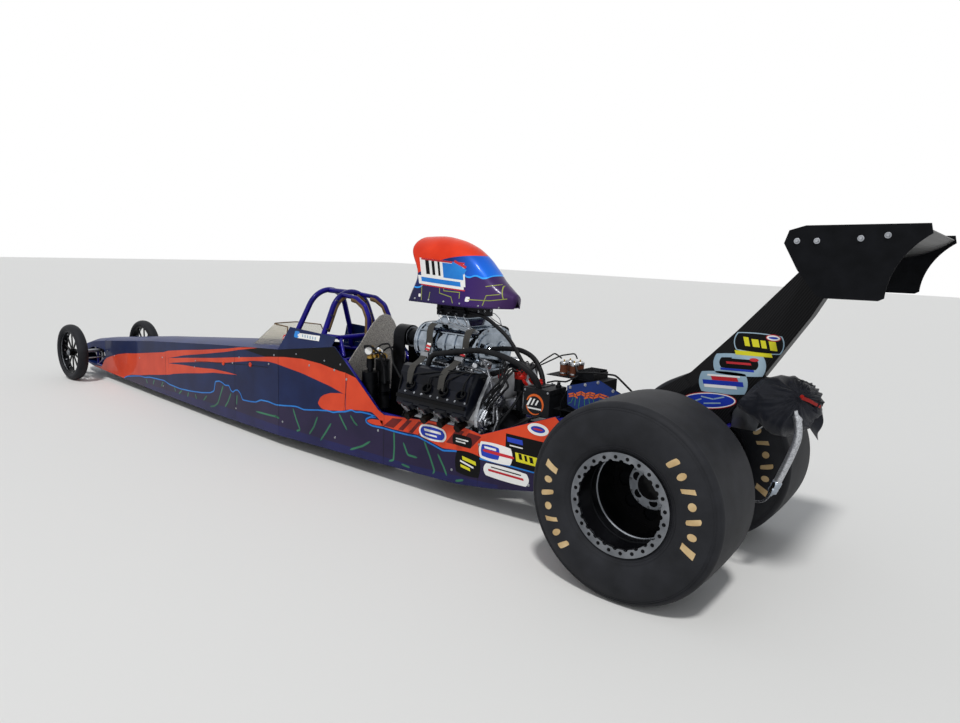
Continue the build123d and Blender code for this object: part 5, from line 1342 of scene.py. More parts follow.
# Engine dress: fasteners, fittings, straps, cables and covers

engine = {"crank": 0.36, "coverBase": 0.3603, "firstCylinder": 1.144, "pitch": 0.127, "blowerAxis": 0.89,
    "lobeHalf": 0.062}
diagonal = math.sqrt(0.5)
cylinderPlaces = [engine["firstCylinder"] + k * engine["pitch"] for k in range(4)]


def bankPoint(x, across, out, side=1):
    # point on a bank that leans 45 degrees, across it (plus is towards the valley) and out along it
    return (x, side * (out - across) * diagonal, engine["crank"] + (across + out) * diagonal)


def bankAxis(across, out, side=1):
    # direction on a leaning bank, in the same two measures
    return (0, side * (out - across) * diagonal, (across + out) * diagonal)


def ringShape(profile, segments):
    # closed profile of (radius, height) turned about Z into a solid ring
    profile = np.asarray(profile, float)
    count = len(profile)
    a = np.linspace(0, 2 * np.pi, segments, endpoint=False)
    verts = np.stack([profile[:, :1] * np.cos(a), profile[:, :1] * np.sin(a),
        np.repeat(profile[:, 1:], segments, 1)], -1).reshape(-1, 3)
    r, c = np.meshgrid(np.arange(count), np.arange(segments), indexing="ij")
    r2, c2 = (r + 1) % count, (c + 1) % segments
    quads = np.stack([r * segments + c, r * segments + c2, r2 * segments + c2, r2 * segments + c],
        -1).reshape(-1, 4)
    return verts, quads.tolist()


def prismShape(outline, low, high, axis="x"):
    # outline of two coordinates carried straight from low to high along one axis
    outline = np.asarray(outline, float)
    count = len(outline)
    order = {"x": [2, 0, 1], "y": [0, 2, 1], "z": [0, 1, 2]}[axis]
    ends = [np.column_stack([outline, np.full(count, level)])[:, order] for level in (low, high)]
    faces = [[k, (k + 1) % count, count + (k + 1) % count, count + k] for k in range(count)]
    faces += [list(range(count))[::-1], list(range(count, 2 * count))]
    return np.vstack(ends), faces


def boxShape(x, y, z):
    # straight block between pairs of coordinates
    return prismShape([(x[0], y[0]), (x[1], y[0]), (x[1], y[1]), (x[0], y[1])], *z, "z")


def beamShape(start, end, width, height):
    # straight bar of a flat section from one point to another
    start, end = np.asarray(start, float), np.asarray(end, float)
    length = float(np.linalg.norm(end - start))
    return repeated(boxShape((-width / 2, width / 2), (-height / 2, height / 2), (0, length)), [start],
        [end - start])


def ringAt(profile, segments, place, axis):
    # one solid ring standing at a place along an axis
    return repeated(ringShape(profile, segments), [place], [axis])


boltShape = joined([lathe([(1.45, 0), (1.45, 0.22), (1.38, 0.28)], 14),
    lathe([(0.92, 0.27), (0.92, 0.95), (0.74, 1.12)], 6)])
nutShape = joined([lathe([(0.62, -0.2), (0.62, 0.3)], 12), lathe([(1.0, 0.3), (1.0, 1.3), (0.86, 1.45)], 6),
    lathe([(0.74, 1.45), (0.74, 2.3), (0.66, 2.45)], 14)])


def addBolts(name, rows, material=None, shape=None, body="chassis"):
    # one small shape at rows of place, axis and radius
    return addParts(name, [repeated(shape or boltShape, *zip(*rows))], material or platedSteel, body)


def addBeveled(name, shapes, material, width):
    # blocks with their edges rounded a little, as cast or machined parts have them
    piece = addParts(name, shapes, material)
    edge = piece.modifiers.new("edge", "BEVEL")
    edge.width, edge.segments, edge.limit_method, edge.angle_limit = width, 2, "ANGLE", math.radians(35)
    return keepShape(piece)


def addHoses(name, rows, material, sides=10):
    # round lines through their points: rows of points and radius
    return addParts(name, [sweepRound(smoothPath(points, max(20, 9 * len(points))), radius, sides)
        for points, radius in rows], material, smooth=True)


def addCoverDress():
    # rows of bolts, plug wells and boots along each valve cover, with its ridges
    bolts, rings, boots, ridges, pads = [], [], [], [], []
    base = engine["coverBase"]
    for side in (1, -1):
        for x in cylinderPlaces:
            rings.append((bankPoint(x, -0.028, base + 0.1015, side), bankAxis(0, 1, side)))
            boots.append((bankPoint(x, -0.028, base + 0.052, side), bankAxis(0, 1, side)))
            bolts.append((bankPoint(x + 0.063, -0.1205, base + 0.012, side), bankAxis(-1, 0, side), 0.0055))
            for step in (0.036, -0.036):
                bolts.append((bankPoint(x + step, -0.062, base + 0.079, side), bankAxis(-0.5, 0.85, side),
                    0.0045))
        for x in np.linspace(1.115, 1.6, 9):
            bolts.append((bankPoint(x, 0.1205, base + 0.012, side), bankAxis(1, 0, side), 0.0055))
        for rear, front, across, out, width, tall in ((1.098, 1.612, -0.092, 0.072, 0.016, 0.02),
                (1.093, 1.617, -0.117, 0.004, 0.012, 0.008)):
            ridges.append(beamShape(bankPoint(rear, across, base + out, side),
                bankPoint(front, across, base + out, side), width, tall))
        for x in (1.097, 1.612):
            pads.append(beamShape(bankPoint(x, -0.06, base + 0.08, side),
                bankPoint(x, 0.06, base + 0.142, side), 0.01, 0.01))
    addBolts("coverBolts", bolts)
    well = ringShape([(0.0245, 0), (0.0325, 0), (0.0325, 0.004), (0.03, 0.007), (0.0262, 0.007),
        (0.0245, 0.005)], 28)
    addParts("plugWellRings", [repeated(well, *zip(*rings))], blackPaint)
    boot = lathe([(0.015, 0), (0.015, 0.022), (0.012, 0.026), (0.008, 0.04), (0.007, 0.046)], 18)
    addParts("plugBoots", [repeated(boot, *zip(*boots))], blackPlastic, smooth=True)
    addBeveled("coverRidges", ridges + pads, blackPaint, 0.0012)


# Rear end of each head, measured across its bank and out along it; bosses have a radius
headEnd = {
    "outline": [(-0.112, 0.262), (-0.04, 0.252), (0.03, 0.27), (0.104, 0.272), (0.11, 0.34), (0.082, 0.362),
        (-0.05, 0.36), (-0.104, 0.352)],
    "bosses": [(-0.074, 0.306, 0.024), (0.07, 0.312, 0.02), (-0.004, 0.3, 0.014)],
    "bolts": [(-0.1, 0.275), (-0.096, 0.342), (-0.035, 0.268), (-0.03, 0.346), (0.04, 0.28), (0.04, 0.346),
        (0.098, 0.284), (0.096, 0.332)],
}


def addHeadDress():
    # cast ends of the heads with their bosses, bolts and water outlets, and the exhaust flanges
    ends, bolts, nuts, flanges = [], [], [], []
    for side in (1, -1):
        points = np.array([bankPoint(0, a, b, side)[1:] for a, b in headEnd["outline"]])
        for low, high, scale in ((1.024, 1.0385, 1.0), (1.016, 1.026, 0.8)):
            centre = points.mean(0)
            ends.append(prismShape(centre + (points - centre) * scale, low, high, "x"))
        for a, b, r in headEnd["bosses"]:
            place = bankPoint(1.019, a, b, side)
            ends.append(turned([(r, 0), (r, 0.007), (r * 0.86, 0.01), (r * 0.55, 0.01), (r * 0.5, 0.006)],
                24, place, (-1, 0, 0)))
        for a, b in headEnd["bolts"]:
            bolts.append((bankPoint(1.0235, a, b, side), (-1, 0, 0), 0.0055))
        nuts.append((bankPoint(1.01, -0.074, 0.306, side), (-1, 0, 0), 0.011))
        for x in cylinderPlaces:
            flanges.append(beamShape(bankPoint(x - 0.046, -0.115, 0.302, side),
                bankPoint(x + 0.046, -0.115, 0.302, side), 0.007, 0.05))
            for dx in (-0.037, 0.037):
                for out in (0.316, 0.288):
                    bolts.append((bankPoint(x + dx, -0.119, out, side), bankAxis(-1, 0, side), 0.0062))
    addBeveled("headEndCastings", ends, brightCast, 0.0025)
    addBeveled("exhaustFlanges", flanges, platedSteel, 0.0015)
    addBolts("headBolts", bolts)
    addBolts("waterOutlets", nuts, machinedAluminium, nutShape)


def trackOutline(radius, count=14):
    # racetrack round the two rotor axes: half circles of one radius joined by straight runs
    a = np.linspace(-np.pi / 2, np.pi / 2, count)
    right = np.stack([engine["lobeHalf"] + radius * np.cos(a), engine["blowerAxis"] + radius * np.sin(a)],
        -1)
    left = np.stack([-engine["lobeHalf"] - radius * np.cos(a), engine["blowerAxis"] - radius * np.sin(a)],
        -1)
    return np.vstack([right, left])


def addBlowerDress():
    # end plates round the rotor axes, bearing caps, long ribs over the case, bolts and fittings
    ends = ((0.121, 1.188, 1.2), (0.122, 1.655, 1.664), (0.092, 1.18, 1.19))
    plates = [prismShape(trackOutline(radius), low, high, "x") for radius, low, high in ends]
    plates.append(prismShape([(-0.156, 0.746), (0.156, 0.746), (0.156, 0.756), (-0.156, 0.756)], 1.215, 1.64,
        "x"))
    cap = [(0.04, 0), (0.04, 0.008), (0.035, 0.011), (0.02, 0.012), (0.016, 0.02), (0.012, 0.021)]
    lobes = (engine["lobeHalf"], -engine["lobeHalf"])
    plates += [turned(cap, 32, (1.18, y, engine["blowerAxis"]), (-1, 0, 0)) for y in lobes]
    for y, z in ((0.1745, 0.905), (0.15, 0.968), (0.16, 0.83)):
        for s in (1, -1):
            plates.append(beamShape((1.205, s * y, z), (1.65, s * y, z), 0.004, 0.009))
    addBeveled("blowerPlates", plates, polishedAluminium, 0.0015)
    bolts = []
    for outline, x, axis in ((trackOutline(0.108, 8), 1.188, (-1, 0, 0)),
            (trackOutline(0.112, 9), 1.664, (1, 0, 0))):
        bolts += [((x, y, z), axis, 0.0048) for y, z in outline]
    for y in lobes:
        bolts += [((1.1725, y + 0.03 * math.cos(t), engine["blowerAxis"] + 0.03 * math.sin(t)), (-1, 0, 0),
            0.0032) for t in np.arange(0.4, 6.5, np.pi / 3)]
    bolts += [((x, s * 0.15, 0.756), (0, 0, 1), 0.0052) for x in np.linspace(1.235, 1.62, 8)
        for s in (1, -1)]
    addBolts("blowerBolts", bolts)
    # Fuel pumps, relief valves and fittings at the case's rear end
    pump = [(0.0001, 0.0), (0.026, 0.0), (0.026, 0.018), (0.02, 0.022), (0.02, 0.05), (0.024, 0.053),
        (0.024, 0.06), (0.011, 0.062), (0.009, 0.074)]
    shapes = [turned(pump, 24, (1.176, s * 0.118, 0.815), (-0.9, s * 0.35, 0)) for s in (1, -1)]
    shapes += [turned([(0.014, 0), (0.014, 0.012), (0.01, 0.014), (0.01, 0.034), (0.013, 0.036),
        (0.013, 0.044)], 20, (x, 0.15, z), axis) for x, z, axis in ((1.235, 0.77, (0, 1, 0.35)),
        (1.3, 0.772, (0, 1, 0.2)), (1.215, 0.8, (-0.7, 0.7, 0.2)), (1.385, 0.772, (0, 1, 0.3)))]
    addParts("blowerFittings", shapes, brightCast)


# Left routes of the blower's two straps, front and rear
blowerStraps = {
    "front": [(1.525, 0.15, 1.016), (1.527, 0.181, 1.0), (1.527, 0.192, 0.96), (1.527, 0.192, 0.9),
        (1.528, 0.206, 0.85), (1.53, 0.25, 0.812), (1.532, 0.285, 0.792), (1.534, 0.316, 0.781),
        (1.536, 0.338, 0.742), (1.538, 0.34, 0.7), (1.54, 0.34, 0.672)],
    "rear": [(1.238, 0.14, 1.012), (1.241, 0.176, 0.998), (1.245, 0.192, 0.955), (1.25, 0.193, 0.9),
        (1.258, 0.206, 0.852), (1.27, 0.252, 0.818), (1.276, 0.285, 0.793), (1.284, 0.316, 0.781),
        (1.292, 0.338, 0.742), (1.298, 0.34, 0.7), (1.302, 0.34, 0.668)],
}


def addStraps():
    # webbing from the injector's base over the case's side down to the valve cover, with tags and buckles
    shapes, tags, buckles = [], [], []
    for points in blowerStraps.values():
        for s in (1, -1):
            route = [(x, s * y, z) for x, y, z in points]
            shapes.append(strapAlong(route, 0.048, (0, s * 0.8, 0.6), 0.0024, 60))
            tags.append(strapAlong(route[3:5], 0.03, (0, s, 0.3), 0.0042, 8))
            mid = np.mean(route[4:6], axis=0)
            buckles.append(beamShape(mid + [-0.03, 0, 0], mid + [0.03, 0, 0], 0.014, 0.04))
    addParts("blowerStraps", shapes, greyWebbing)
    addParts("strapTags", tags, whiteVinyl)
    marks = [strapAlong([(x, s * (y + 0.0024), z), (x + 0.002, s * (y + 0.01), z - 0.01)], 0.032,
        (0, s, 0.3), 0.0012, 4) for s in (1, -1) for x, y, z in ((1.527, 0.1945, 0.888),
        (1.528, 0.201, 0.868), (1.2505, 0.1955, 0.888), (1.2545, 0.202, 0.868))]
    addParts("strapTagBars", marks, redVinyl)
    addBeveled("strapBuckles", buckles, platedSteel, 0.002)


def addInjectorDress():
    # flange, throttle linkage, nozzles and their thin steel lines
    plates = [boxShape((1.268, 1.57), (-0.128, 0.128), (1.0125, 1.0205)),
        boxShape((1.304, 1.514), (-0.108, 0.108), (1.059, 1.066))]
    webs = ((1.29, 0.098, 1.33, 0.078), (1.548, 0.098, 1.49, 0.078), (1.42, 0.112, 1.412, 0.096))
    plates += [beamShape((x, s * y, 1.022), (x2, s * y2, 1.062), 0.006, 0.01)
        for s in (1, -1) for x, y, x2, y2 in webs]
    addBeveled("injectorPlates", plates, polishedAluminium, 0.0015)
    bolts = [((x, s * 0.119, 1.0205), (0, 0, 1), 0.0052) for x in np.linspace(1.285, 1.553, 6)
        for s in (1, -1)]
    bolts += [((x, y, 1.1), (way, 0, 0), 0.005) for x, way in ((1.2955, -1), (1.5445, 1))
        for y in (-0.09, -0.03, 0.03, 0.09)]
    addBolts("injectorBolts", bolts)
    shapes, lines, nuts = [], [], []
    for s in (1, -1):
        shapes.append(beamShape((1.31, s * 0.132, 1.106), (1.53, s * 0.132, 1.106), 0.008, 0.008))
        for x in (1.33, 1.42, 1.51):
            shapes.append(beamShape((x, s * 0.122, 1.12), (x - 0.012, s * 0.134, 1.09), 0.006, 0.014))
        for k in range(4):
            x = 1.315 + 0.062 * k
            nuts.append(((x, s * (0.121 - 0.0005 * k), 1.082), (0, s, 0.1), 0.0055))
            lines.append(([(x, s * 0.132, 1.083), (x - 0.008, s * (0.152 + 0.003 * k), 1.078),
                (x - 0.04, s * (0.16 + 0.003 * k), 1.05 - 0.006 * k),
                (1.262 - 0.006 * k, s * (0.158 + 0.004 * k), 1.02 - 0.01 * k),
                (1.212 - 0.005 * k, s * (0.12 - 0.01 * k), 0.995 - 0.006 * k)], 0.0026))
    addBeveled("throttleLinkage", shapes, blackAnodised, 0.001)
    addBolts("fuelNozzles", nuts, platedSteel, nutShape)
    addHoses("fuelLines", lines, platedSteel, 8)


def addMagnetoDress():
    # red cap with a tower for each lead, and the leads to the plugs
    verts, faces = lathe([(0.037, 0), (0.037, 0.016), (0.033, 0.022), (0.02, 0.026)], 28)
    cap = [(verts + [0.99, 0, 0.742], faces)]
    towers = []
    for k in range(8):
        t = math.radians(22.5 + 45 * k)
        towers.append(((0.99 + 0.027 * math.cos(t), 0.027 * math.sin(t), 0.756),
            (0.35 * math.cos(t), 0.35 * math.sin(t), 1)))
    cap.append(repeated(lathe([(0.0075, 0), (0.0075, 0.02), (0.006, 0.024), (0.006, 0.034)], 14),
        *zip(*towers)))
    cap += [turned([(0.008, 0), (0.009, 0.006), (0.0095, 0.024), (0.007, 0.034), (0.0055, 0.04)], 14, place,
        axis) for place, axis in (((1.062, 0.112, 0.752), (-0.6, 0.5, 0.4)),
        ((1.078, 0.094, 0.76), (-0.7, 0.3, 0.5)), ((1.02, 0.104, 0.748), (-0.3, 0.8, 0.4)),
        ((1.04, 0.088, 0.764), (-0.5, 0.3, 0.8)), ((0.872, 0.104, 0.734), (0.4, 0.5, 0.7)),
        ((0.836, 0.1, 0.748), (0.3, 0.6, 0.7)))]
    addParts("magnetoCap", cap, redPlastic)
    leads = []
    for side in (1, -1):
        for k, x in enumerate(cylinderPlaces):
            t = math.radians((22.5 + 45 * k) * side)
            start = (0.99 + 0.033 * math.cos(t), 0.033 * math.sin(t), 0.786)
            well = bankPoint(x, -0.028, engine["coverBase"] + 0.096, side)
            high = bankPoint(x - 0.02, 0.02, engine["coverBase"] + 0.148, side)
            leads.append(([start, (1.01 + 0.01 * k, side * (0.07 + 0.008 * k), 0.806 - 0.006 * k),
                (1.06, side * (0.15 + 0.01 * k), 0.792 - 0.01 * k), (1.092, side * (0.235 + 0.006 * k),
                0.776 - 0.006 * k), (1.11 + 0.3 * (x - engine["firstCylinder"]), side * 0.3, 0.79), high,
                well], 0.0042))
    addHoses("plugLeads", leads, blackRubberHose)


# Routes as (distance, y, height) points, with a radius for each line
cableRoutes = {
    "main": [(0.854, 0.26, 0.918), (0.815, 0.26, 0.872), (0.925, 0.26, 0.752), (0.978, 0.26, 0.698),
        (1.031, 0.26, 0.628), (1.074, 0.265, 0.542), (1.108, 0.272, 0.441)],
    # steps beside the main route, and radius
    "loom": [(0, 0, 0, 0.0075), (0.018, 0.012, 0.006, 0.0055), (-0.016, 0.01, -0.006, 0.005),
        (0.034, -0.012, 0.008, 0.0045), (-0.03, -0.006, -0.01, 0.006), (0.01, 0.024, -0.004, 0.004)],
    "single": [([(1.016, 0.268, 0.33), (0.985, 0.262, 0.345), (0.955, 0.255, 0.42), (0.965, 0.235, 0.52),
        (0.99, 0.18, 0.6)], 0.011), ([(0.885, 0.13, 0.7), (0.9, 0.17, 0.64), (0.935, 0.215, 0.56),
        (0.985, 0.246, 0.47), (1.03, 0.262, 0.44)], 0.009), ([(0.7, 0.215, 0.61), (0.73, 0.245, 0.6),
        (0.8, 0.256, 0.56), (0.88, 0.258, 0.51), (0.96, 0.262, 0.455)], 0.006),
        ([(0.56, 0.1, 0.83), (0.6, 0.15, 0.8), (0.68, 0.13, 0.79), (0.74, 0.11, 0.77)], 0.0045),
        ([(0.64, -0.02, 0.9), (0.66, -0.03, 0.925), (0.74, -0.02, 0.905), (0.86, 0.01, 0.835),
        (0.95, 0.02, 0.79)], 0.004), ([(0.7, 0.04, 0.9), (0.74, 0.05, 0.925), (0.8, 0.06, 0.88),
        (0.9, 0.05, 0.8)], 0.004), ([(0.24, 0.12, 0.8), (0.32, 0.15, 0.875), (0.43, 0.13, 0.868),
        (0.56, 0.11, 0.85), (0.6, 0.06, 0.87)], 0.005)],
    "alongRail": [(1.06, 0.268, 0.66), (1.062, 0.29, 0.56), (1.075, 0.3, 0.5), (1.12, 0.292, 0.47),
        (1.2, 0.288, 0.452), (1.42, 0.286, 0.448), (1.6, 0.284, 0.44)],
    "braided": [([(1.01, 0.195, 0.6), (0.985, 0.225, 0.59), (0.96, 0.245, 0.54), (0.975, 0.262, 0.47),
        (1.02, 0.268, 0.44)], 0.0075), ([(1.176, 0.15, 0.842), (1.13, 0.182, 0.85), (1.085, 0.2, 0.812),
        (1.04, 0.215, 0.74), (1.0, 0.232, 0.64), (0.985, 0.25, 0.52)], 0.007),
        ([(1.3, 0.19, 0.785), (1.26, 0.215, 0.8), (1.18, 0.22, 0.8), (1.1, 0.215, 0.79), (1.05, 0.19, 0.76)],
        0.006), ([(1.385, 0.19, 0.785), (1.42, 0.215, 0.8), (1.5, 0.222, 0.796), (1.59, 0.215, 0.78)],
        0.006), ([(1.24, 0.192, 0.784), (1.215, 0.21, 0.775), (1.15, 0.205, 0.77)], 0.006)],
    "pale": [([(0.985, 0.1, 0.8), (0.975, 0.15, 0.78), (0.965, 0.19, 0.74), (0.96, 0.205, 0.7)], 0.0035),
        ([(0.995, 0.09, 0.81), (0.992, 0.13, 0.805), (0.985, 0.17, 0.77)], 0.003)],
    "sensors": [((0.968, 0.19, 0.712), (0.2, 0.5, -1)), ((1.0, 0.215, 0.72), (0.5, 0.4, -1))],
}


def addCables():
    # loom from the injector past the bellhousing to the frame rail: main route + step + a sine's sway
    main, rows = np.array(cableRoutes["main"]), []
    for k, (dx, dy, dz, r) in enumerate(cableRoutes["loom"]):
        line = main[2:] + [dx, dy, dz]
        line[:, 1] += 0.01 * np.sin(np.arange(len(line)) * 1.9 + k)
        start = [(0.94 + 0.02 * k, 0.16 - 0.01 * k, 0.8 + 0.012 * k),
            (0.925 + 0.012 * k, 0.215, 0.79 + 0.006 * k)]
        rows.append((np.vstack([start, line]), r))
    rows += cableRoutes["single"] + [(np.array(cableRoutes["alongRail"]) * [1, s, 1], 0.006)
        for s in (1, -1)]
    addHoses("cableLoom", rows, blackRubberHose)
    addHoses("braidedLines", cableRoutes["braided"], steelBraid, 12)
    addHoses("paleWires", cableRoutes["pale"], whiteVinyl, 8)
    sensor = [(0.011, 0), (0.011, 0.012), (0.014, 0.014), (0.014, 0.034), (0.009, 0.04), (0.006, 0.06)]
    addParts("sensorBodies", [turned(sensor, 16, place, axis) for place, axis in cableRoutes["sensors"]],
        brightCast)


def arcFilm(centre, radius, width, start, end):
    # part of a ring on a flat side, thin at its ends: c + (r -+ w/2 sqrt(sin s)) (cos t, sin t)
    count = 28
    t = np.radians(np.linspace(start, end, count))
    half = width / 2 * np.sin(np.linspace(0.15, np.pi - 0.15, count)) ** 0.5
    rims = [np.stack([centre[0] + r * np.cos(t), centre[1] + r * np.sin(t)], -1)
        for r in (radius - half, radius + half)]
    return np.stack(rims, 1).reshape(-1, 2), gridFaces(count, 2)


def sideSkin(name, patches, half, material):
    # flat patches laid on a left-hand face at y = half, given a film's thickness
    shapes = [(np.column_stack([patch[:, 0], np.full(len(patch), half), patch[:, 1]]), faces[:, ::-1])
        for patch, faces in patches]
    piece = addParts(name, shapes, material, outward=False)
    return giveSkin(piece, 0.0003)


def addBatteryDress():
    # box: lid, clamp and terminals, and a round mark of an orange ring round pale slanted bars
    high = 0.7484
    shapes = [boxShape((0.649, 0.817), (0.057, 0.223), (high - 0.022, high + 0.004)),
        boxShape((0.722, 0.744), (0.052, 0.228), (high + 0.002, high + 0.008)),
        boxShape((0.722, 0.744), (0.2205, 0.2235), (high - 0.021, high + 0.006))]
    addBeveled("batteryLid", shapes, blackPlastic, 0.003)
    post = lathe([(0.016, 0), (0.016, 0.01), (0.01, 0.014), (0.009, 0.026)], 18)
    for name, x, plasticKind, slot in (("batteryRedBoot", 0.79, redPlastic, "red_plastic"),
            ("batteryBlackBoot", 0.676, blackPlastic, "black_plastic")):
        addParts(name, [repeated(post, [(x, 0.096, high + 0.004)], [(0, 0, 1)])], plasticKind)
    bolts = [((x, 0.2235, high - 0.01), (0, 1, 0), 0.004) for x in (0.662, 0.804)]
    bolts += [((0.733, y, high + 0.008), (0, 0, 1), 0.006) for y in (0.07, 0.2)]
    addBolts("batteryBolts", bolts)
    centre = (0.742, 0.664)
    sideSkin("boxMarkOrange", [arcFilm(centre, 0.052, 0.013, 20, 215),
        arcFilm(centre, 0.052, 0.007, 235, 350)], 0.2206, coilOrange)
    bars = [("bar", 0.776, 0.676, 0.012, 0.044, 0, -0.5), ("bar", 0.752, 0.678, 0.01, 0.036, 0, -0.5),
        ("bar", 0.728, 0.676, 0.01, 0.028, 0, -0.5), ("bar", 0.742, 0.643, 0.086, 0.008, 0, 0.5)]
    patches = []
    for kind, x, z, width, height, tilt, slant in bars:
        patch, faces = filmPatch(kind, width, height, tilt, slant)
        patches.append((patch + [x, z], faces))
    sideSkin("boxMarkPale", patches, 0.2209, whiteVinyl)


# Left face of the folded cover behind the engine, as (distance, height) points
rearCover = {
    "outline": [(0.232, 0.664), (0.232, 0.787), (0.377, 0.848), (0.558, 0.793), (0.551, 0.697),
        (0.452, 0.664)],
    "band": [(0.545, 0.752), (0.52, 0.76), (0.5, 0.752), (0.475, 0.764), (0.45, 0.756), (0.425, 0.768),
        (0.4, 0.766), (0.37, 0.78), (0.33, 0.774), (0.27, 0.748)],
    "greenLines": [[(0.52, 0.738), (0.53, 0.712), (0.545, 0.704)], [(0.505, 0.742), (0.508, 0.7)],
        [(0.48, 0.742), (0.485, 0.695), (0.47, 0.68)], [(0.455, 0.744), (0.45, 0.7), (0.43, 0.68)],
        [(0.43, 0.748), (0.42, 0.712), (0.395, 0.69)], [(0.405, 0.748), (0.395, 0.722), (0.365, 0.7)],
        [(0.37, 0.756), (0.345, 0.722), (0.33, 0.69)], [(0.32, 0.752), (0.3, 0.71)]],
    "buttons": [(0.54, 0.788), (0.455, 0.814), (0.385, 0.836), (0.3, 0.806)],
}


def addShelfDress():
    # Folded cover's outer face in blue lacquer with an orange band, green lines and buttons
    addParts("coverBluePanel", [prismShape(rearCover["outline"], 0.2061, 0.2069, "y")], deepBluePaint)
    runs = np.array(rearCover["band"])
    waves = (runs, runs[2:7] + [0.0, 0.011], runs[4:9] + [0.005, -0.012], runs[:3] + [-0.004, -0.011])
    sideSkin("coverOrangeBand", [part for line in waves for part in lineFilm(line, 0.0075)], 0.2072,
        coilOrange)
    sideSkin("coverGreenLines", [part for line in rearCover["greenLines"]
        for part in lineFilm(line, 0.0038)], 0.2074, greenPaint)
    addBolts("coverButtons", [((x, 0.2069, z), (0, 1, 0), 0.0055) for x, z in rearCover["buttons"]])
    # Coils: silver caps, clamps and posts; matte black sheets under the shelf and beside the box, standing in
    # for the shade in those gaps
    caps, posts = [], []
    for k in range(4):
        x, y = 0.62 + (k % 2) * 0.062, -0.02 + (k // 2) * 0.062
        caps.append(turned([(0.0235, 0.0), (0.0242, 0.004), (0.0242, 0.012), (0.0215, 0.0155),
            (0.015, 0.0165), (0.014, 0.014)], 28, (x, y, 0.87), (0, 0, 1)))
        caps.append(ringAt([(0.0222, 0), (0.0236, 0), (0.0236, 0.007), (0.0222, 0.007)], 28, (x, y, 0.822),
            (0, 0, 1)))
        posts.append(((x, y, 0.884), (0, 0, 1), 0.0052))
    addParts("coilCaps", caps, brightCast)
    addBolts("coilPosts", posts, brass, nutShape)
    shadeSheets = [prismShape([(-0.196, 0.6), (0.196, 0.6), (0.196, 0.7), (0.088, 0.806), (-0.088, 0.806),
        (-0.196, 0.7)], 0.596, 0.599, "x"), boxShape((0.126, 0.222), (0.06, 0.2), (0.6615, 0.796)),
        boxShape((0.46, 0.64), (-0.2, 0.2), (0.6575, 0.66)), prismShape([(0.44, 0.7), (0.59, 0.7),
        (0.59, 0.806), (0.44, 0.806)], -0.09, -0.087, "y")]
    # Matte black sheets that close the gaps with painted shade
    addBeveled("rearShadeSheets", shadeSheets, matteBlackPaint, 0.0008)
    # Ignition box with cooling fins beside the coils
    box = [boxShape((0.48, 0.586), (-0.08, 0.08), (0.8125, 0.846))]
    box += [boxShape((0.484, 0.582), (y - 0.0012, y + 0.0012), (0.845, 0.856))
        for y in np.linspace(-0.074, 0.074, 13)]
    addBeveled("ignitionBox", box, blackAnodised, 0.0012)


def addGearboxDress():
    # quilted safety blanket laced over the gearbox, its bolts, and ribs on the bell
    u, v = np.meshgrid(np.linspace(0, 1, 64), np.linspace(0, 1, 60), indexing="ij")
    x = 0.41 + 0.43 * u
    a = np.radians(-60 + 300 * v)
    quilt = np.abs(np.sin(np.pi * 6 * u)) ** 0.5 * 0.004 + np.abs(np.sin(np.pi * 9 * v)) ** 0.5 * 0.003
    wrinkle = 0.0022 * np.sin(41 * u + 5 * np.sin(9 * v)) + 0.0018 * np.sin(23 * v * 3 + 7 * u)
    radius = 0.132 + quilt + wrinkle
    clothSheet("gearboxBlanket", np.stack([x, radius * np.cos(a), 0.372 + radius * np.sin(a) * 1.02], -1),
        blackNylon, 0.004)
    ribs = []
    for k in range(12):
        t = math.radians(30 * k + 15)
        foot, top = ((x, r * math.cos(t), engine["crank"] + r * math.sin(t))
            for x, r in ((1.036, 0.178), (0.93, 0.128)))
        ribs.append(beamShape(foot, top, 0.008, 0.012))
    addBeveled("bellRibs", ribs, matteBlackPaint, 0.0015)
    bolts = [((1.0395, 0.205 * math.cos(t), engine["crank"] + 0.205 * math.sin(t)), (-1, 0, 0), 0.007)
        for t in np.radians(np.arange(0, 360, 30))]
    bolts += [((1.0395, y, z), (-1, 0, 0), 0.0065) for y in (-0.3, 0.3) for z in (0.4, 0.47)]
    addBolts("bellBolts", bolts)


brightCast = metal("brightCastAluminium", "#83868b", "#c9cbcf", 0.2, 0.42, 0.0024, 0.0002, 0.03)
coilOrange = paint("orangeVinylFilm", "#c8541c", "#dd6a2a", 0.0)
deepBluePaint = paint("lacqueredDeepBluePaint", "#12245c", "#1a3474", 0.15)
addCoverDress()
addHeadDress()
addBlowerDress()
addStraps()
addInjectorDress()
addMagnetoDress()
addCables()
addBatteryDress()
addShelfDress()
addGearboxDress()
print("engine dressed")

# Rear wheels: bead bolts, centre, barrel steps, tyre marks, brakes

rearWheel = {
    "height": 0.438, "ringFace": 0.6886, "boltRadius": 0.205, "bolts": 24, "centreFace": 0.345,
    "markRadius": 0.33, "markHeight": 0.062,
    "holeCircle": 0.078, "hubBoltCircle": 0.049, "rimBoltCircle": 0.1045,
}


def aroundWheel(radius, angle, y, side):
    # point of a wheel at a radius and an angle from straight ahead
    return (radius * math.cos(angle), side * y, rearWheel["height"] + radius * math.sin(angle))


def sidewallRing(radius, width, y):
    # flat ring beside the tyre, ready to be dropped along y onto its sidewall
    count = 120
    t = np.radians(np.linspace(0, 360, count))
    rims = [np.stack([r * np.cos(t), np.full(count, y), rearWheel["height"] + r * np.sin(t)], -1)
        for r in (radius - width / 2, radius + width / 2)]
    return np.stack(rims, 1).reshape(-1, 3), gridFaces(count, 2)


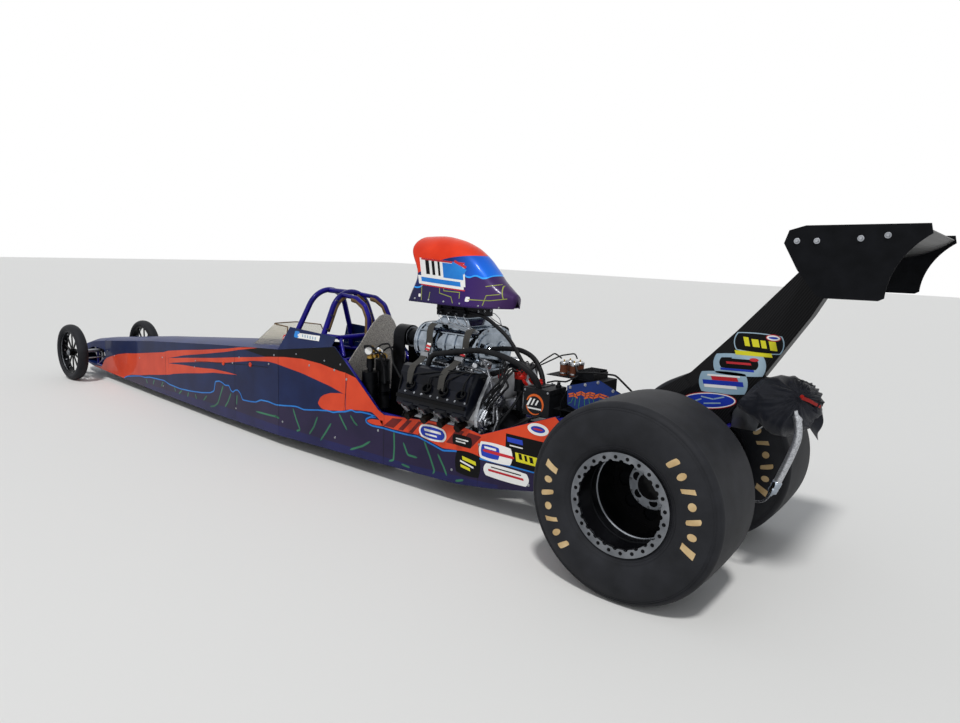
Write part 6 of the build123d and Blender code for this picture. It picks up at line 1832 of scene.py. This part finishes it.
def tyreMarks(y):
    # generic raised marks in two sectors: tall lozenges, rounds and slanted bars set along an arc
    kinds = [("bar", 0.03, 1.0, 0.25), ("oval", 0.03, 0.62, 0), ("badge", 0.022, 0.95, -0.2),
        ("oval", 0.034, 0.55, 0), ("bar", 0.02, 0.9, 0.3), ("oval", 0.028, 0.7, 0),
        ("badge", 0.024, 0.85, 0.2)]
    shapes = []
    for centre in (165.0, -14.0):
        for index, (kind, width, tall, slant) in enumerate(kinds):
            patch, faces = filmPatch(kind, width, rearWheel["markHeight"] * tall, 0, slant, 7)
            middle = math.radians(centre + (3 - index) * 10.5)
            angle = middle + patch[:, 0] / rearWheel["markRadius"]
            radius = rearWheel["markRadius"] + patch[:, 1]
            shapes.append((np.stack([radius * np.cos(angle), np.full(len(patch), y),
                rearWheel["height"] + radius * np.sin(angle)], -1), faces))
    return joined(shapes)


def addTyreDress():
    # paint marks and raised rings on both walls of each slick
    for side, word in ((1, "Left"), (-1, "Right")):
        tyre = nodes["rear_tyre_" + word.lower()]
        for face, y in (("Outer", side * 0.95), ("Inner", side * 0.0005)):
            rings = [sidewallRing(radius, width, y) for radius, width in ((0.2395, 0.004), (0.252, 0.0022),
                (0.404, 0.0024), (0.4125, 0.0016))]
            for name, shapes, material, lift, skin in (("tyreMarks", [tyreMarks(y)], tanMark, 0.0002,
                    0.0002), ("sidewallRings", rings, slickRubber, 0.001, 0.0012)):
                piece = addParts(name + face + word, shapes, material, "rear_wheels",
                    outward=False)
                giveSkin(wrapPiece(piece, tyre, lift), skin, 0)


def addWheelDress():
    # bead bolts on their seats, centre discs with hub bolts and black discs that paint the shade of their
    # holes, liners and a step inside each barrel
    bolts, seats, liners, centres, holes, hubBolts, steps, stems = [], [], [], [], [], [], [], []
    for side in (1, -1):
        out = (0, side, 0)
        for k in range(rearWheel["bolts"]):
            angle = math.radians(15 * k + 7.5)
            bolts.append((aroundWheel(rearWheel["boltRadius"], angle, rearWheel["ringFace"] + 0.0006, side),
                out, 0.0048))
            seats.append((aroundWheel(rearWheel["boltRadius"], angle, rearWheel["ringFace"], side), out))
        for group, segments, y, profile in ((centres, 48, rearWheel["centreFace"] + 0.0005,
                [(0.034, 0), (0.113, 0), (0.113, 0.005), (0.108, 0.008), (0.094, 0.009), (0.05, 0.013),
                (0.04, 0.022), (0.034, 0.022)]), (centres, 64, 0.5, [(0.1975, 0), (0.1945, 0.001),
                (0.1945, 0.007), (0.1975, 0.009)]), (liners, 64, 0.331,
                [(0.066, 0), (0.1965, 0), (0.1965, 0.0015), (0.066, 0.0015)]),
                (steps, 72, 0.56, [(0.1978, -0.006), (0.1935, -0.003), (0.1935, 0.003), (0.1978, 0.006)])):
            group.append(ringAt(profile, segments, aroundWheel(0, 0, y, side), out))
        for k in range(6):
            angle = math.radians(60 * k + 20)
            holes.append((aroundWheel(rearWheel["holeCircle"], angle, rearWheel["centreFace"] + 0.0085,
                side), out))
            hubBolts.append((aroundWheel(rearWheel["hubBoltCircle"], angle + 0.5,
                rearWheel["centreFace"] + 0.013, side), out, 0.0072))
        for k in range(12):
            hubBolts.append((aroundWheel(rearWheel["rimBoltCircle"], math.radians(30 * k + 5),
                rearWheel["centreFace"] + 0.0085, side), out, 0.0046))
        stems.append((aroundWheel(0.19, 1.9, 0.64, side), out, 0.0042))
    addBolts("beadBolts", bolts, blackAnodised, body="rear_wheels")
    seat = ringShape([(0.0062, 0), (0.0082, 0), (0.0082, 0.0006), (0.0062, 0.0006)], 20)
    addParts("beadBoltSeats", [repeated(seat, *zip(*seats))], headerSteel, "rear_wheels")
    # Centres in pale grey: a painted reflection of their polished metal
    addParts("wheelCentres", centres, centrePaintedShine, "rear_wheels")
    # Black discs on each centre: painted shade where its holes would show the dark inside
    hole = lathe([(0.021, 0), (0.021, 0.0022), (0.0185, 0.0028)], 28)
    addParts("wheelCentreHoleShade", [repeated(hole, *zip(*holes))], matteBlackPaint, "rear_wheels")
    addBolts("hubBolts", hubBolts, platedSteel, body="rear_wheels")
    addBolts("valveStems", stems, platedSteel, nutShape, "rear_wheels")
    addParts("wheelLiners", liners, matteBlackPaint, "rear_wheels")
    addParts("barrelSteps", steps, matteBlackPaint, "rear_wheels")


def addBrakes():
    # caliper halves on both faces of each disc, joined over its edge, and a dark plate behind each wheel
    blocks, plates, bolts = [], [], []
    height = rearWheel["height"]
    cheek = [(-0.168, -0.05), (-0.156, -0.07), (-0.092, -0.06), (-0.086, 0.0), (-0.092, 0.06),
        (-0.156, 0.07), (-0.168, 0.05)]
    bridge = [(-0.17, -0.045), (-0.154, -0.045), (-0.154, 0.045), (-0.17, 0.045)]
    for side in (1, -1):
        for outline, low, high in ((cheek, 0.228, 0.2515), (cheek, 0.2655, 0.274), (bridge, 0.245, 0.272)):
            blocks.append(prismShape([(x, height + z) for x, z in outline],
                *sorted((side * low, side * high)), "y"))
        plates.append(ringAt([(0.06, 0), (0.184, 0), (0.19, 0.004), (0.184, 0.003), (0.06, 0.003)], 60,
            (0, side * 0.2265, height), (0, -side, 0)))
        bolts += [((-0.125, side * 0.228, height + dz), (0, -side, 0), 0.007) for dz in (-0.045, 0.045)]
    addBeveled("brakeCalipers", blocks, machinedAluminium, 0.003)
    addParts("dustPlates", plates, matteBlackPaint)
    addBolts("caliperBolts", bolts)


# Front wheels: hub caps, rim rings and spoke collars; then the small parts in the nose's notch

frontWheel = {"distance": 6.2, "height": 0.279, "middle": 0.361, "capFace": 0.397}


def addFrontDress():
    # caps, rings, bolts and collars turned round the front axle's line, then fittings and hoses in the notch
    x0, z0 = frontWheel["distance"], frontWheel["height"]
    for side, word in ((1, "left"), (-1, "right")):
        body = word + "_front_wheel"
        face, out = frontWheel["capFace"], (0, side, 0)
        shapes = [turned([(0.03, 0), (0.03, 0.003), (0.024, 0.005), (0.022, 0.011), (0.01, 0.0125)], 32,
            (x0, side * face, z0), out), ringAt([(0.2045, -0.004), (0.2125, -0.004), (0.2125, 0.0035),
            (0.206, 0.0035)], 72, (x0, side * 0.386, z0), out)]
        addParts("frontHubCap" + word.capitalize(), shapes, machinedAluminium, body)
        rows = [((x0 + 0.024 * math.cos(t), side * (face + 0.003), z0 + 0.024 * math.sin(t)), out, 0.003)
            for t in np.arange(0, 6.2, np.pi / 3)]
        addBolts("frontHubBolts" + word.capitalize(), rows, platedSteel, body=body)
        collar = lathe([(0.0058, 0), (0.0058, 0.012), (0.0042, 0.016)], 10)
        places, axes = [], []
        for k in range(12):
            t = math.radians(30 * k)
            places.append((x0 + 0.186 * math.sin(t), side * frontWheel["middle"], z0 + 0.186 * math.cos(t)))
            axes.append((math.sin(t), 0, math.cos(t)))
        addParts("spokeCollars" + word.capitalize(), [repeated(collar, places, axes)], platedSteel, body)
    shapes = []
    for s in (1, -1):
        shapes.append(turned([(0.015, 0), (0.015, 0.06), (0.011, 0.064), (0.006, 0.066), (0.006, 0.11)], 24,
            (6.3, s * 0.075, 0.205), (0.25, s * 0.2, 1)))
        shapes.append(turned([(0.02, 0), (0.02, 0.01), (0.012, 0.014), (0.012, 0.03)], 24,
            (6.255, s * 0.106, 0.262), (0, s, 0)))
    addParts("noseFittings", shapes, brightCast)
    rows = [([(6.33, s * 0.06, 0.27), (6.28, s * 0.085, 0.3), (6.2, s * 0.095, 0.292), (6.12, s * 0.1, 0.25),
        (6.08, s * 0.105, 0.2)], 0.006) for s in (1, -1)]
    addHoses("noseHoses", rows, blackRubberHose)


# Cockpit: padding, cushions, harness, bottle valves, screen trim

def addPadding():
    # foam sleeves swept along the hoops' upper legs and stays, tied with cloth rings
    arc = np.radians(np.linspace(23.5, 74, 16))
    shapes = []
    for s in (1, -1):
        leg = [(0.2075, 0.875), (0.186, 0.924), (0.164, 0.975)] + list(zip(0.0013 + 0.154 * np.cos(arc),
            0.963 + 0.154 * np.sin(arc)))
        path = [(2.448, s * y, z) for y, z in leg]
        shapes.append(sweepRound(smoothPath(path, 48), 0.0195, 14))
        stay = [(2.33, s * 0.086, 1.094), (2.285, s * 0.087, 1.088), (2.214, s * 0.09, 1.05),
            (2.176, s * 0.092, 0.985), (2.172, s * 0.094, 0.915), (2.174, s * 0.096, 0.85)]
        shapes.append(sweepRound(smoothPath(stay, 44), 0.0185, 14))
    addParts("rollBarPadding", shapes, tanFoam, smooth=True)
    ties = []
    for s in (1, -1):
        for y, z, tilt in ((0.205, 0.882, 0.4), (0.166, 0.972, 0.4), (0.118, 1.065, 0.9)):
            ties.append(ringAt([(0.0195, -0.004), (0.0245, -0.004), (0.0245, 0.004), (0.0195, 0.004)], 24,
                (2.448, s * (y + 0.008), z + 0.006), (0, -s * tilt, 0.92)))
    addParts("paddingTies", ties, blackNylon)


def cushionGrid(line, half, thickness, rows, cols, ribs):
    # pillow on a line, pinched at its stitches: thickness t (1 - |2u-1|^4)(1 - |2v-1|^4)
    path = smoothPath(line, rows)
    tangent = np.gradient(path, axis=0)
    tangent /= np.linalg.norm(tangent, axis=1, keepdims=True)
    normal = np.stack([-tangent[:, 1], tangent[:, 0]], -1)
    u, v = np.linspace(0, 1, rows)[:, None], np.linspace(0, 1, cols)[None, :]
    swell = (1 - np.abs(2 * u - 1) ** 4) * (1 - np.abs(2 * v - 1) ** 4)
    pinch = 0.45 + 0.55 * np.abs(np.sin(np.pi * ribs * u)) ** 0.6
    sheets = []
    for lift in (thickness * swell * pinch, -0.1 * thickness * swell):
        x = path[:, :1] + normal[:, :1] * lift
        z = path[:, 1:] + normal[:, 1:] * lift
        sheets.append(np.stack([x, half * (2 * v - 1) + 0 * x, z], -1))
    return sheets


def sewEdges(form):
    # joins the two faces of a pillow where their points meet
    bmesh.ops.remove_doubles(form, verts=form.verts, dist=0.00005)
    turnOutward(form)


# Line of (distance, height), half width, thickness and number of quilted ribs
seatCushions = {
    "seatBackCushion": ([(2.4, 0.235), (2.372, 0.33), (2.33, 0.47), (2.285, 0.61)], 0.15, 0.036, 5),
    "seatCushion": ([(2.735, 0.224), (2.64, 0.198), (2.54, 0.184), (2.44, 0.206)], 0.155, 0.032, 4),
}


def addCushions():
    # two pillow faces sewn at their edges, swelled by the cloth solver with the edges and the underside held
    for name, (line, half, thick, ribs) in seatCushions.items():
        rows, cols = 64, 48
        top, low = cushionGrid(line, half, thick, rows, cols, ribs)
        verts = np.vstack([top.reshape(-1, 3), low.reshape(-1, 3)])
        faces = gridFaces(rows, cols).tolist() + (gridFaces(rows, cols)[:, ::-1] + rows * cols).tolist()
        piece = addMesh(name, placed(verts), faces, blackVinylCloth, smooth=True)
        editMesh(piece.data, sewEdges)
        points = meshPoints(piece.data)
        edge = np.abs(points[:, 1]) > half - 0.004
        under = np.arange(len(points)) >= rows * cols
        swellCloth(piece, np.where(edge | under)[0], 0.4, 12, 0.006, 0.04)


harness = {
    "width": 0.052,
    "shoulder": [(2.19, 0.072, 0.772), (2.215, 0.072, 0.742), (2.262, 0.072, 0.672), (2.312, 0.07, 0.612),
        (2.36, 0.064, 0.49), (2.42, 0.046, 0.34), (2.47, 0.026, 0.27)],
    "lap": [(2.42, 0.158, 0.236), (2.445, 0.12, 0.262), (2.475, 0.06, 0.268), (2.49, 0.022, 0.262)],
    "crotch": [(2.64, 0.0, 0.246), (2.58, 0.0, 0.24), (2.52, 0.0, 0.252), (2.49, 0.0, 0.262)],
}


def addHarness():
    # shoulder and lap straps on both sides, one from below, and their buckles
    shapes = []
    for s in (1, -1):
        shapes.append(strapAlong(np.array(harness["shoulder"]) * [1, s, 1], harness["width"], (1, 0, 0.4),
            0.003, 70))
        shapes.append(strapAlong(np.array(harness["lap"]) * [1, s, 1], harness["width"], (0.3, 0, 1), 0.003,
            30))
    shapes.append(strapAlong(harness["crotch"], 0.044, (0, 0, 1), 0.003, 24))
    addParts("harnessStraps", shapes, redWebbing)
    buckles = [turned([(0.034, 0), (0.034, 0.01), (0.03, 0.014), (0.012, 0.015), (0.01, 0.019)], 32,
        (2.482, 0, 0.264), (0.25, 0, 1))]
    buckles += [beamShape((2.338, s * 0.068 - 0.032, 0.566), (2.338, s * 0.068 + 0.032, 0.566), 0.024, 0.012)
        for s in (1, -1)]
    addBeveled("harnessBuckles", buckles, platedSteel, 0.0015)


# Valve bodies over the bottles: profile, segments, place and axis
bottleValves = [([(0.024, 0), (0.024, 0.016), (0.016, 0.02), (0.016, 0.03)], 24, (2.025, 0.2, 0.744),
    (0, 0, 1)), ([(0.012, -0.034), (0.012, 0.034)], 16, (2.025, 0.2, 0.79), (0.4, 1, 0)),
    ([(0.01, 0), (0.01, 0.02), (0.02, 0.022), (0.02, 0.034), (0.012, 0.037)], 20, (2.025, 0.2, 0.79),
    (0, 0, 1)), ([(0.014, -0.026), (0.014, 0.026)], 16, (2.045, 0.07, 0.744), (1, 0.2, 0)),
    ([(0.011, 0), (0.011, 0.03), (0.016, 0.031), (0.016, 0.045), (0.011, 0.046), (0.011, 0.11)], 6,
    (1.985, 0.205, 0.762), (0.15, -1, 0)), ([(0.015, 0), (0.015, 0.014), (0.009, 0.016), (0.009, 0.034)], 6,
    (1.99, 0.162, 0.77), (-0.5, 0.2, 1))]
bottleHoses = [([(2.03, 0.235, 0.8), (2.02, 0.262, 0.83), (1.975, 0.25, 0.835), (1.93, 0.215, 0.79),
    (1.9, 0.2, 0.7), (1.88, 0.21, 0.6)], 0.007), ([(2.03, 0.16, 0.795), (2.01, 0.12, 0.83),
    (1.965, 0.1, 0.838), (1.925, 0.11, 0.8), (1.89, 0.13, 0.72), (1.8, 0.15, 0.64)], 0.006),
    ([(2.045, 0.1, 0.76), (2.02, 0.06, 0.8), (1.975, 0.03, 0.81), (1.93, 0.02, 0.77), (1.88, 0.03, 0.69)],
    0.006), ([(2.01, 0.18, 0.772), (1.96, 0.17, 0.79), (1.94, 0.15, 0.76), (1.95, 0.14, 0.7)], 0.0045)]


def addBottleDress():
    # brass valve, gauge, collar and hoses over the bottles behind the shield
    addParts("bottleValves", [turned(*part) for part in bottleValves], brass)
    shapes = [turned([(0.027, 0), (0.027, 0.014), (0.024, 0.016), (0.0235, 0.013)], 32, place, axis)
        for place, axis in (((2.006, 0.236, 0.798), (-0.7, 0.7, 0.1)),
        ((2.0, 0.15, 0.786), (-0.8, 0.6, 0.1)))]
    shapes.append(turned([(0.02, 0), (0.02, 0.034), (0.012, 0.04)], 20, (2.04, 0.11, 0.74), (0.1, 0.2, 1)))
    addParts("bottleGauges", shapes, machinedAluminium)
    addParts("gaugeDials", [turned([(0.0228, 0.0), (0.0228, 0.0012)], 28, place, axis)
        for place, axis in (((1.9962, 0.2458, 0.7994), (-0.7, 0.7, 0.1)), ((1.9896, 0.1578, 0.7873),
        (-0.8, 0.6, 0.1)))], whiteVinyl)
    addHoses("bottleHoses", bottleHoses, blackRubberHose)


def addScreenDress():
    # foam edge round the screen's rim, a red stop disc, and screws in the skin beside the seat
    rim = [(2.96, 0.15), (3.174, 0.112), (3.196, 0.092), (3.2, 0.0), (3.196, -0.092), (3.174, -0.112),
        (2.96, -0.15)]
    corners = [(x, y, 0.849) for x, y in rim]
    runs = list(zip(corners[:-1], corners[1:])) + [((2.96, s * 0.15, 0.849), (2.924, s * 0.192, 0.722))
        for s in (1, -1)]
    shapes = [sweepRound(np.linspace(one, two, 8), 0.0042, 8) for one, two in runs]
    addParts("screenTrim", shapes, tanFoam, smooth=True)
    for name, radius, lift, material in (("stopDisc", 0.026, 0.0, redVinyl),
            ("stopDiscCentre", 0.014, 0.004, whiteVinyl)):
        shape = lathe([(radius, 0), (radius, 0.004), (radius * 0.9, 0.0055)], 32)
        addParts(name, [repeated(shape, [(2.885, 0.222 + lift, 0.78)], [(-0.2, 1, 0.15)])], material)
    bolts = [((x, s * 0.3008, z), (0, s, 0), 0.0045) for x, z in ((2.2, 0.69), (2.36, 0.694), (2.66, 0.7))
        for s in (1, -1)]
    addBolts("cockpitScrews", bolts)


# Screws on the wing's end plates and on its pylon: y of the face, radius, and (distance, height) of each
wingScrews = {
    "endPlateScrews": (0.5102, 0.0075, [(-0.535, 1.538), (-0.601, 1.54), (-0.739, 1.552), (-0.819, 1.564)]),
    "pylonScrews": (0.0442, 0.0055, [(-0.555, 1.47), (-0.52, 1.42), (-0.585, 1.44), (0.06, 0.72),
        (0.1, 0.69), (-0.02, 0.76)]),
}


def addWingDress():
    # the same screw on both faces at each spot
    for name, (face, radius, spots) in wingScrews.items():
        addBolts(name, [((x, s * face, z), (0, s, 0), radius) for x, z in spots for s in (1, -1)])


def addDriveDress():
    # flat flanges behind the two pulleys of the belt, and dished ones before them
    shapes = []
    for z, r in ((engine["blowerAxis"], 0.066), (engine["crank"], 0.088)):
        shapes.append(turned([(r, 0), (r, 0.0035)], 48, (1.8405, 0, z), (1, 0, 0)))
        shapes.append(turned([(r, 0), (r, 0.0035), (r * 0.8, 0.0045), (r * 0.3, 0.0045), (r * 0.28, 0.0105),
            (0.008, 0.0105)], 48, (1.9555, 0, z), (1, 0, 0)))
    addParts("pulleyFlanges", shapes, machinedAluminium)


addTyreDress()
addWheelDress()
addBrakes()
addFrontDress()
print("wheels dressed")
addPadding()
addCushions()
addHarness()
addBottleDress()
addScreenDress()
addWingDress()
addDriveDress()
print("cockpit, wing and drive dressed")

# Camera, light and floor

# The photograph's camera: place from the rear axle, angles in degrees, lens in millimetres on a 36 mm sensor
photoCamera = {"place": (-1.188, 3.186, 1.462), "heading": -52.127, "pitch": -9.317, "roll": 2.336,
    "lens": 25.6}


def addCamera():
    # the camera looks along f = (cos h cos p, sin h cos p, sin p), rolled about it
    heading, pitch, roll = (math.radians(photoCamera[key]) for key in ("heading", "pitch", "roll"))
    f = Vector((math.cos(heading) * math.cos(pitch), math.sin(heading) * math.cos(pitch), math.sin(pitch)))
    right = Vector((math.sin(heading), -math.cos(heading), 0))
    up = right.cross(f)
    right, up = right * math.cos(roll) + up * math.sin(roll), up * math.cos(roll) - right * math.sin(roll)
    data = bpy.data.cameras.new("photoCamera")
    data.lens, data.sensor_width = photoCamera["lens"], 36
    data.clip_start, data.clip_end = 0.05, 200
    camera = bpy.data.objects.new("photoCamera", data)
    turn = Matrix((right, up, -f)).transposed().to_4x4()
    camera.matrix_world = Matrix.Translation(Vector(placed(photoCamera["place"]))) @ turn
    bpy.context.scene.collection.objects.link(camera)
    bpy.context.scene.camera = camera


# Sun-like key from high on the left rear, a broad fill, and a pale sky
lights = {
    "key": {"kind": "SUN", "energy": 1.9, "angle": 6, "towards": (0.25, -0.45, -0.86)},
    "fill": {"kind": "AREA", "energy": 70, "size": 7, "place": (-3.0, 6.0, 3.5),
        "towards": (0.2, -0.9, -0.38)},
}


def addLights():
    # lamps from the table, and a sky of two strengths
    for name, facts in lights.items():
        data = bpy.data.lights.new(name, facts["kind"])
        data.energy = facts["energy"]
        lamp = bpy.data.objects.new(name, data)
        if facts["kind"] == "SUN":
            data.angle = math.radians(facts["angle"])
        else:
            data.size = facts["size"]
            lamp.location = facts["place"]
        lamp.rotation_euler = Vector(facts["towards"]).to_track_quat("-Z", "Y").to_euler()
        bpy.context.scene.collection.objects.link(lamp)
    world = bpy.data.worlds.new("paleSky")
    bpy.context.scene.world = world
    world.use_nodes = True
    tree = world.node_tree
    tree.nodes.clear()
    # camera, glossy and transmission rays see white, all others the soft sky
    rays = addNode(tree, "LightPath").outputs
    seen = sumFrom(tree, "MAXIMUM", rays["Is Camera Ray"], rays["Is Glossy Ray"])
    shown = sumFrom(tree, "MAXIMUM", seen, rays["Is Transmission Ray"])
    soft = addNode(tree, "Background", {"Color": toLinear("#e8edf4"), "Strength": 0.42})
    white = addNode(tree, "Background", {"Color": (1, 1, 1, 1), "Strength": 1.0})
    mixed = addNode(tree, "MixShader", None, {"Fac": shown, 1: soft.outputs[0], 2: white.outputs[0]})
    addNode(tree, "OutputWorld", None, {"Surface": mixed.outputs[0]})


def addFloor():
    # one large square under the wheels
    half = 40
    mesh = bpy.data.meshes.new("floor")
    mesh.from_pydata([(-half, -half, 0), (half, -half, 0), (half, half, 0), (-half, half, 0)], [],
        [(0, 1, 2, 3)])
    floor = bpy.data.objects.new("floor", mesh)
    bpy.context.scene.collection.objects.link(floor)
    mesh.materials.append(startMaterial("paleStudioFloor", {"Roughness": 0.8,
        "Base Color": toLinear("#e2e1de")})[0])


addCamera()
addLights()
addFloor()
view = bpy.context.scene.view_settings
view.view_transform = "Standard"
print("camera, light and floor set")
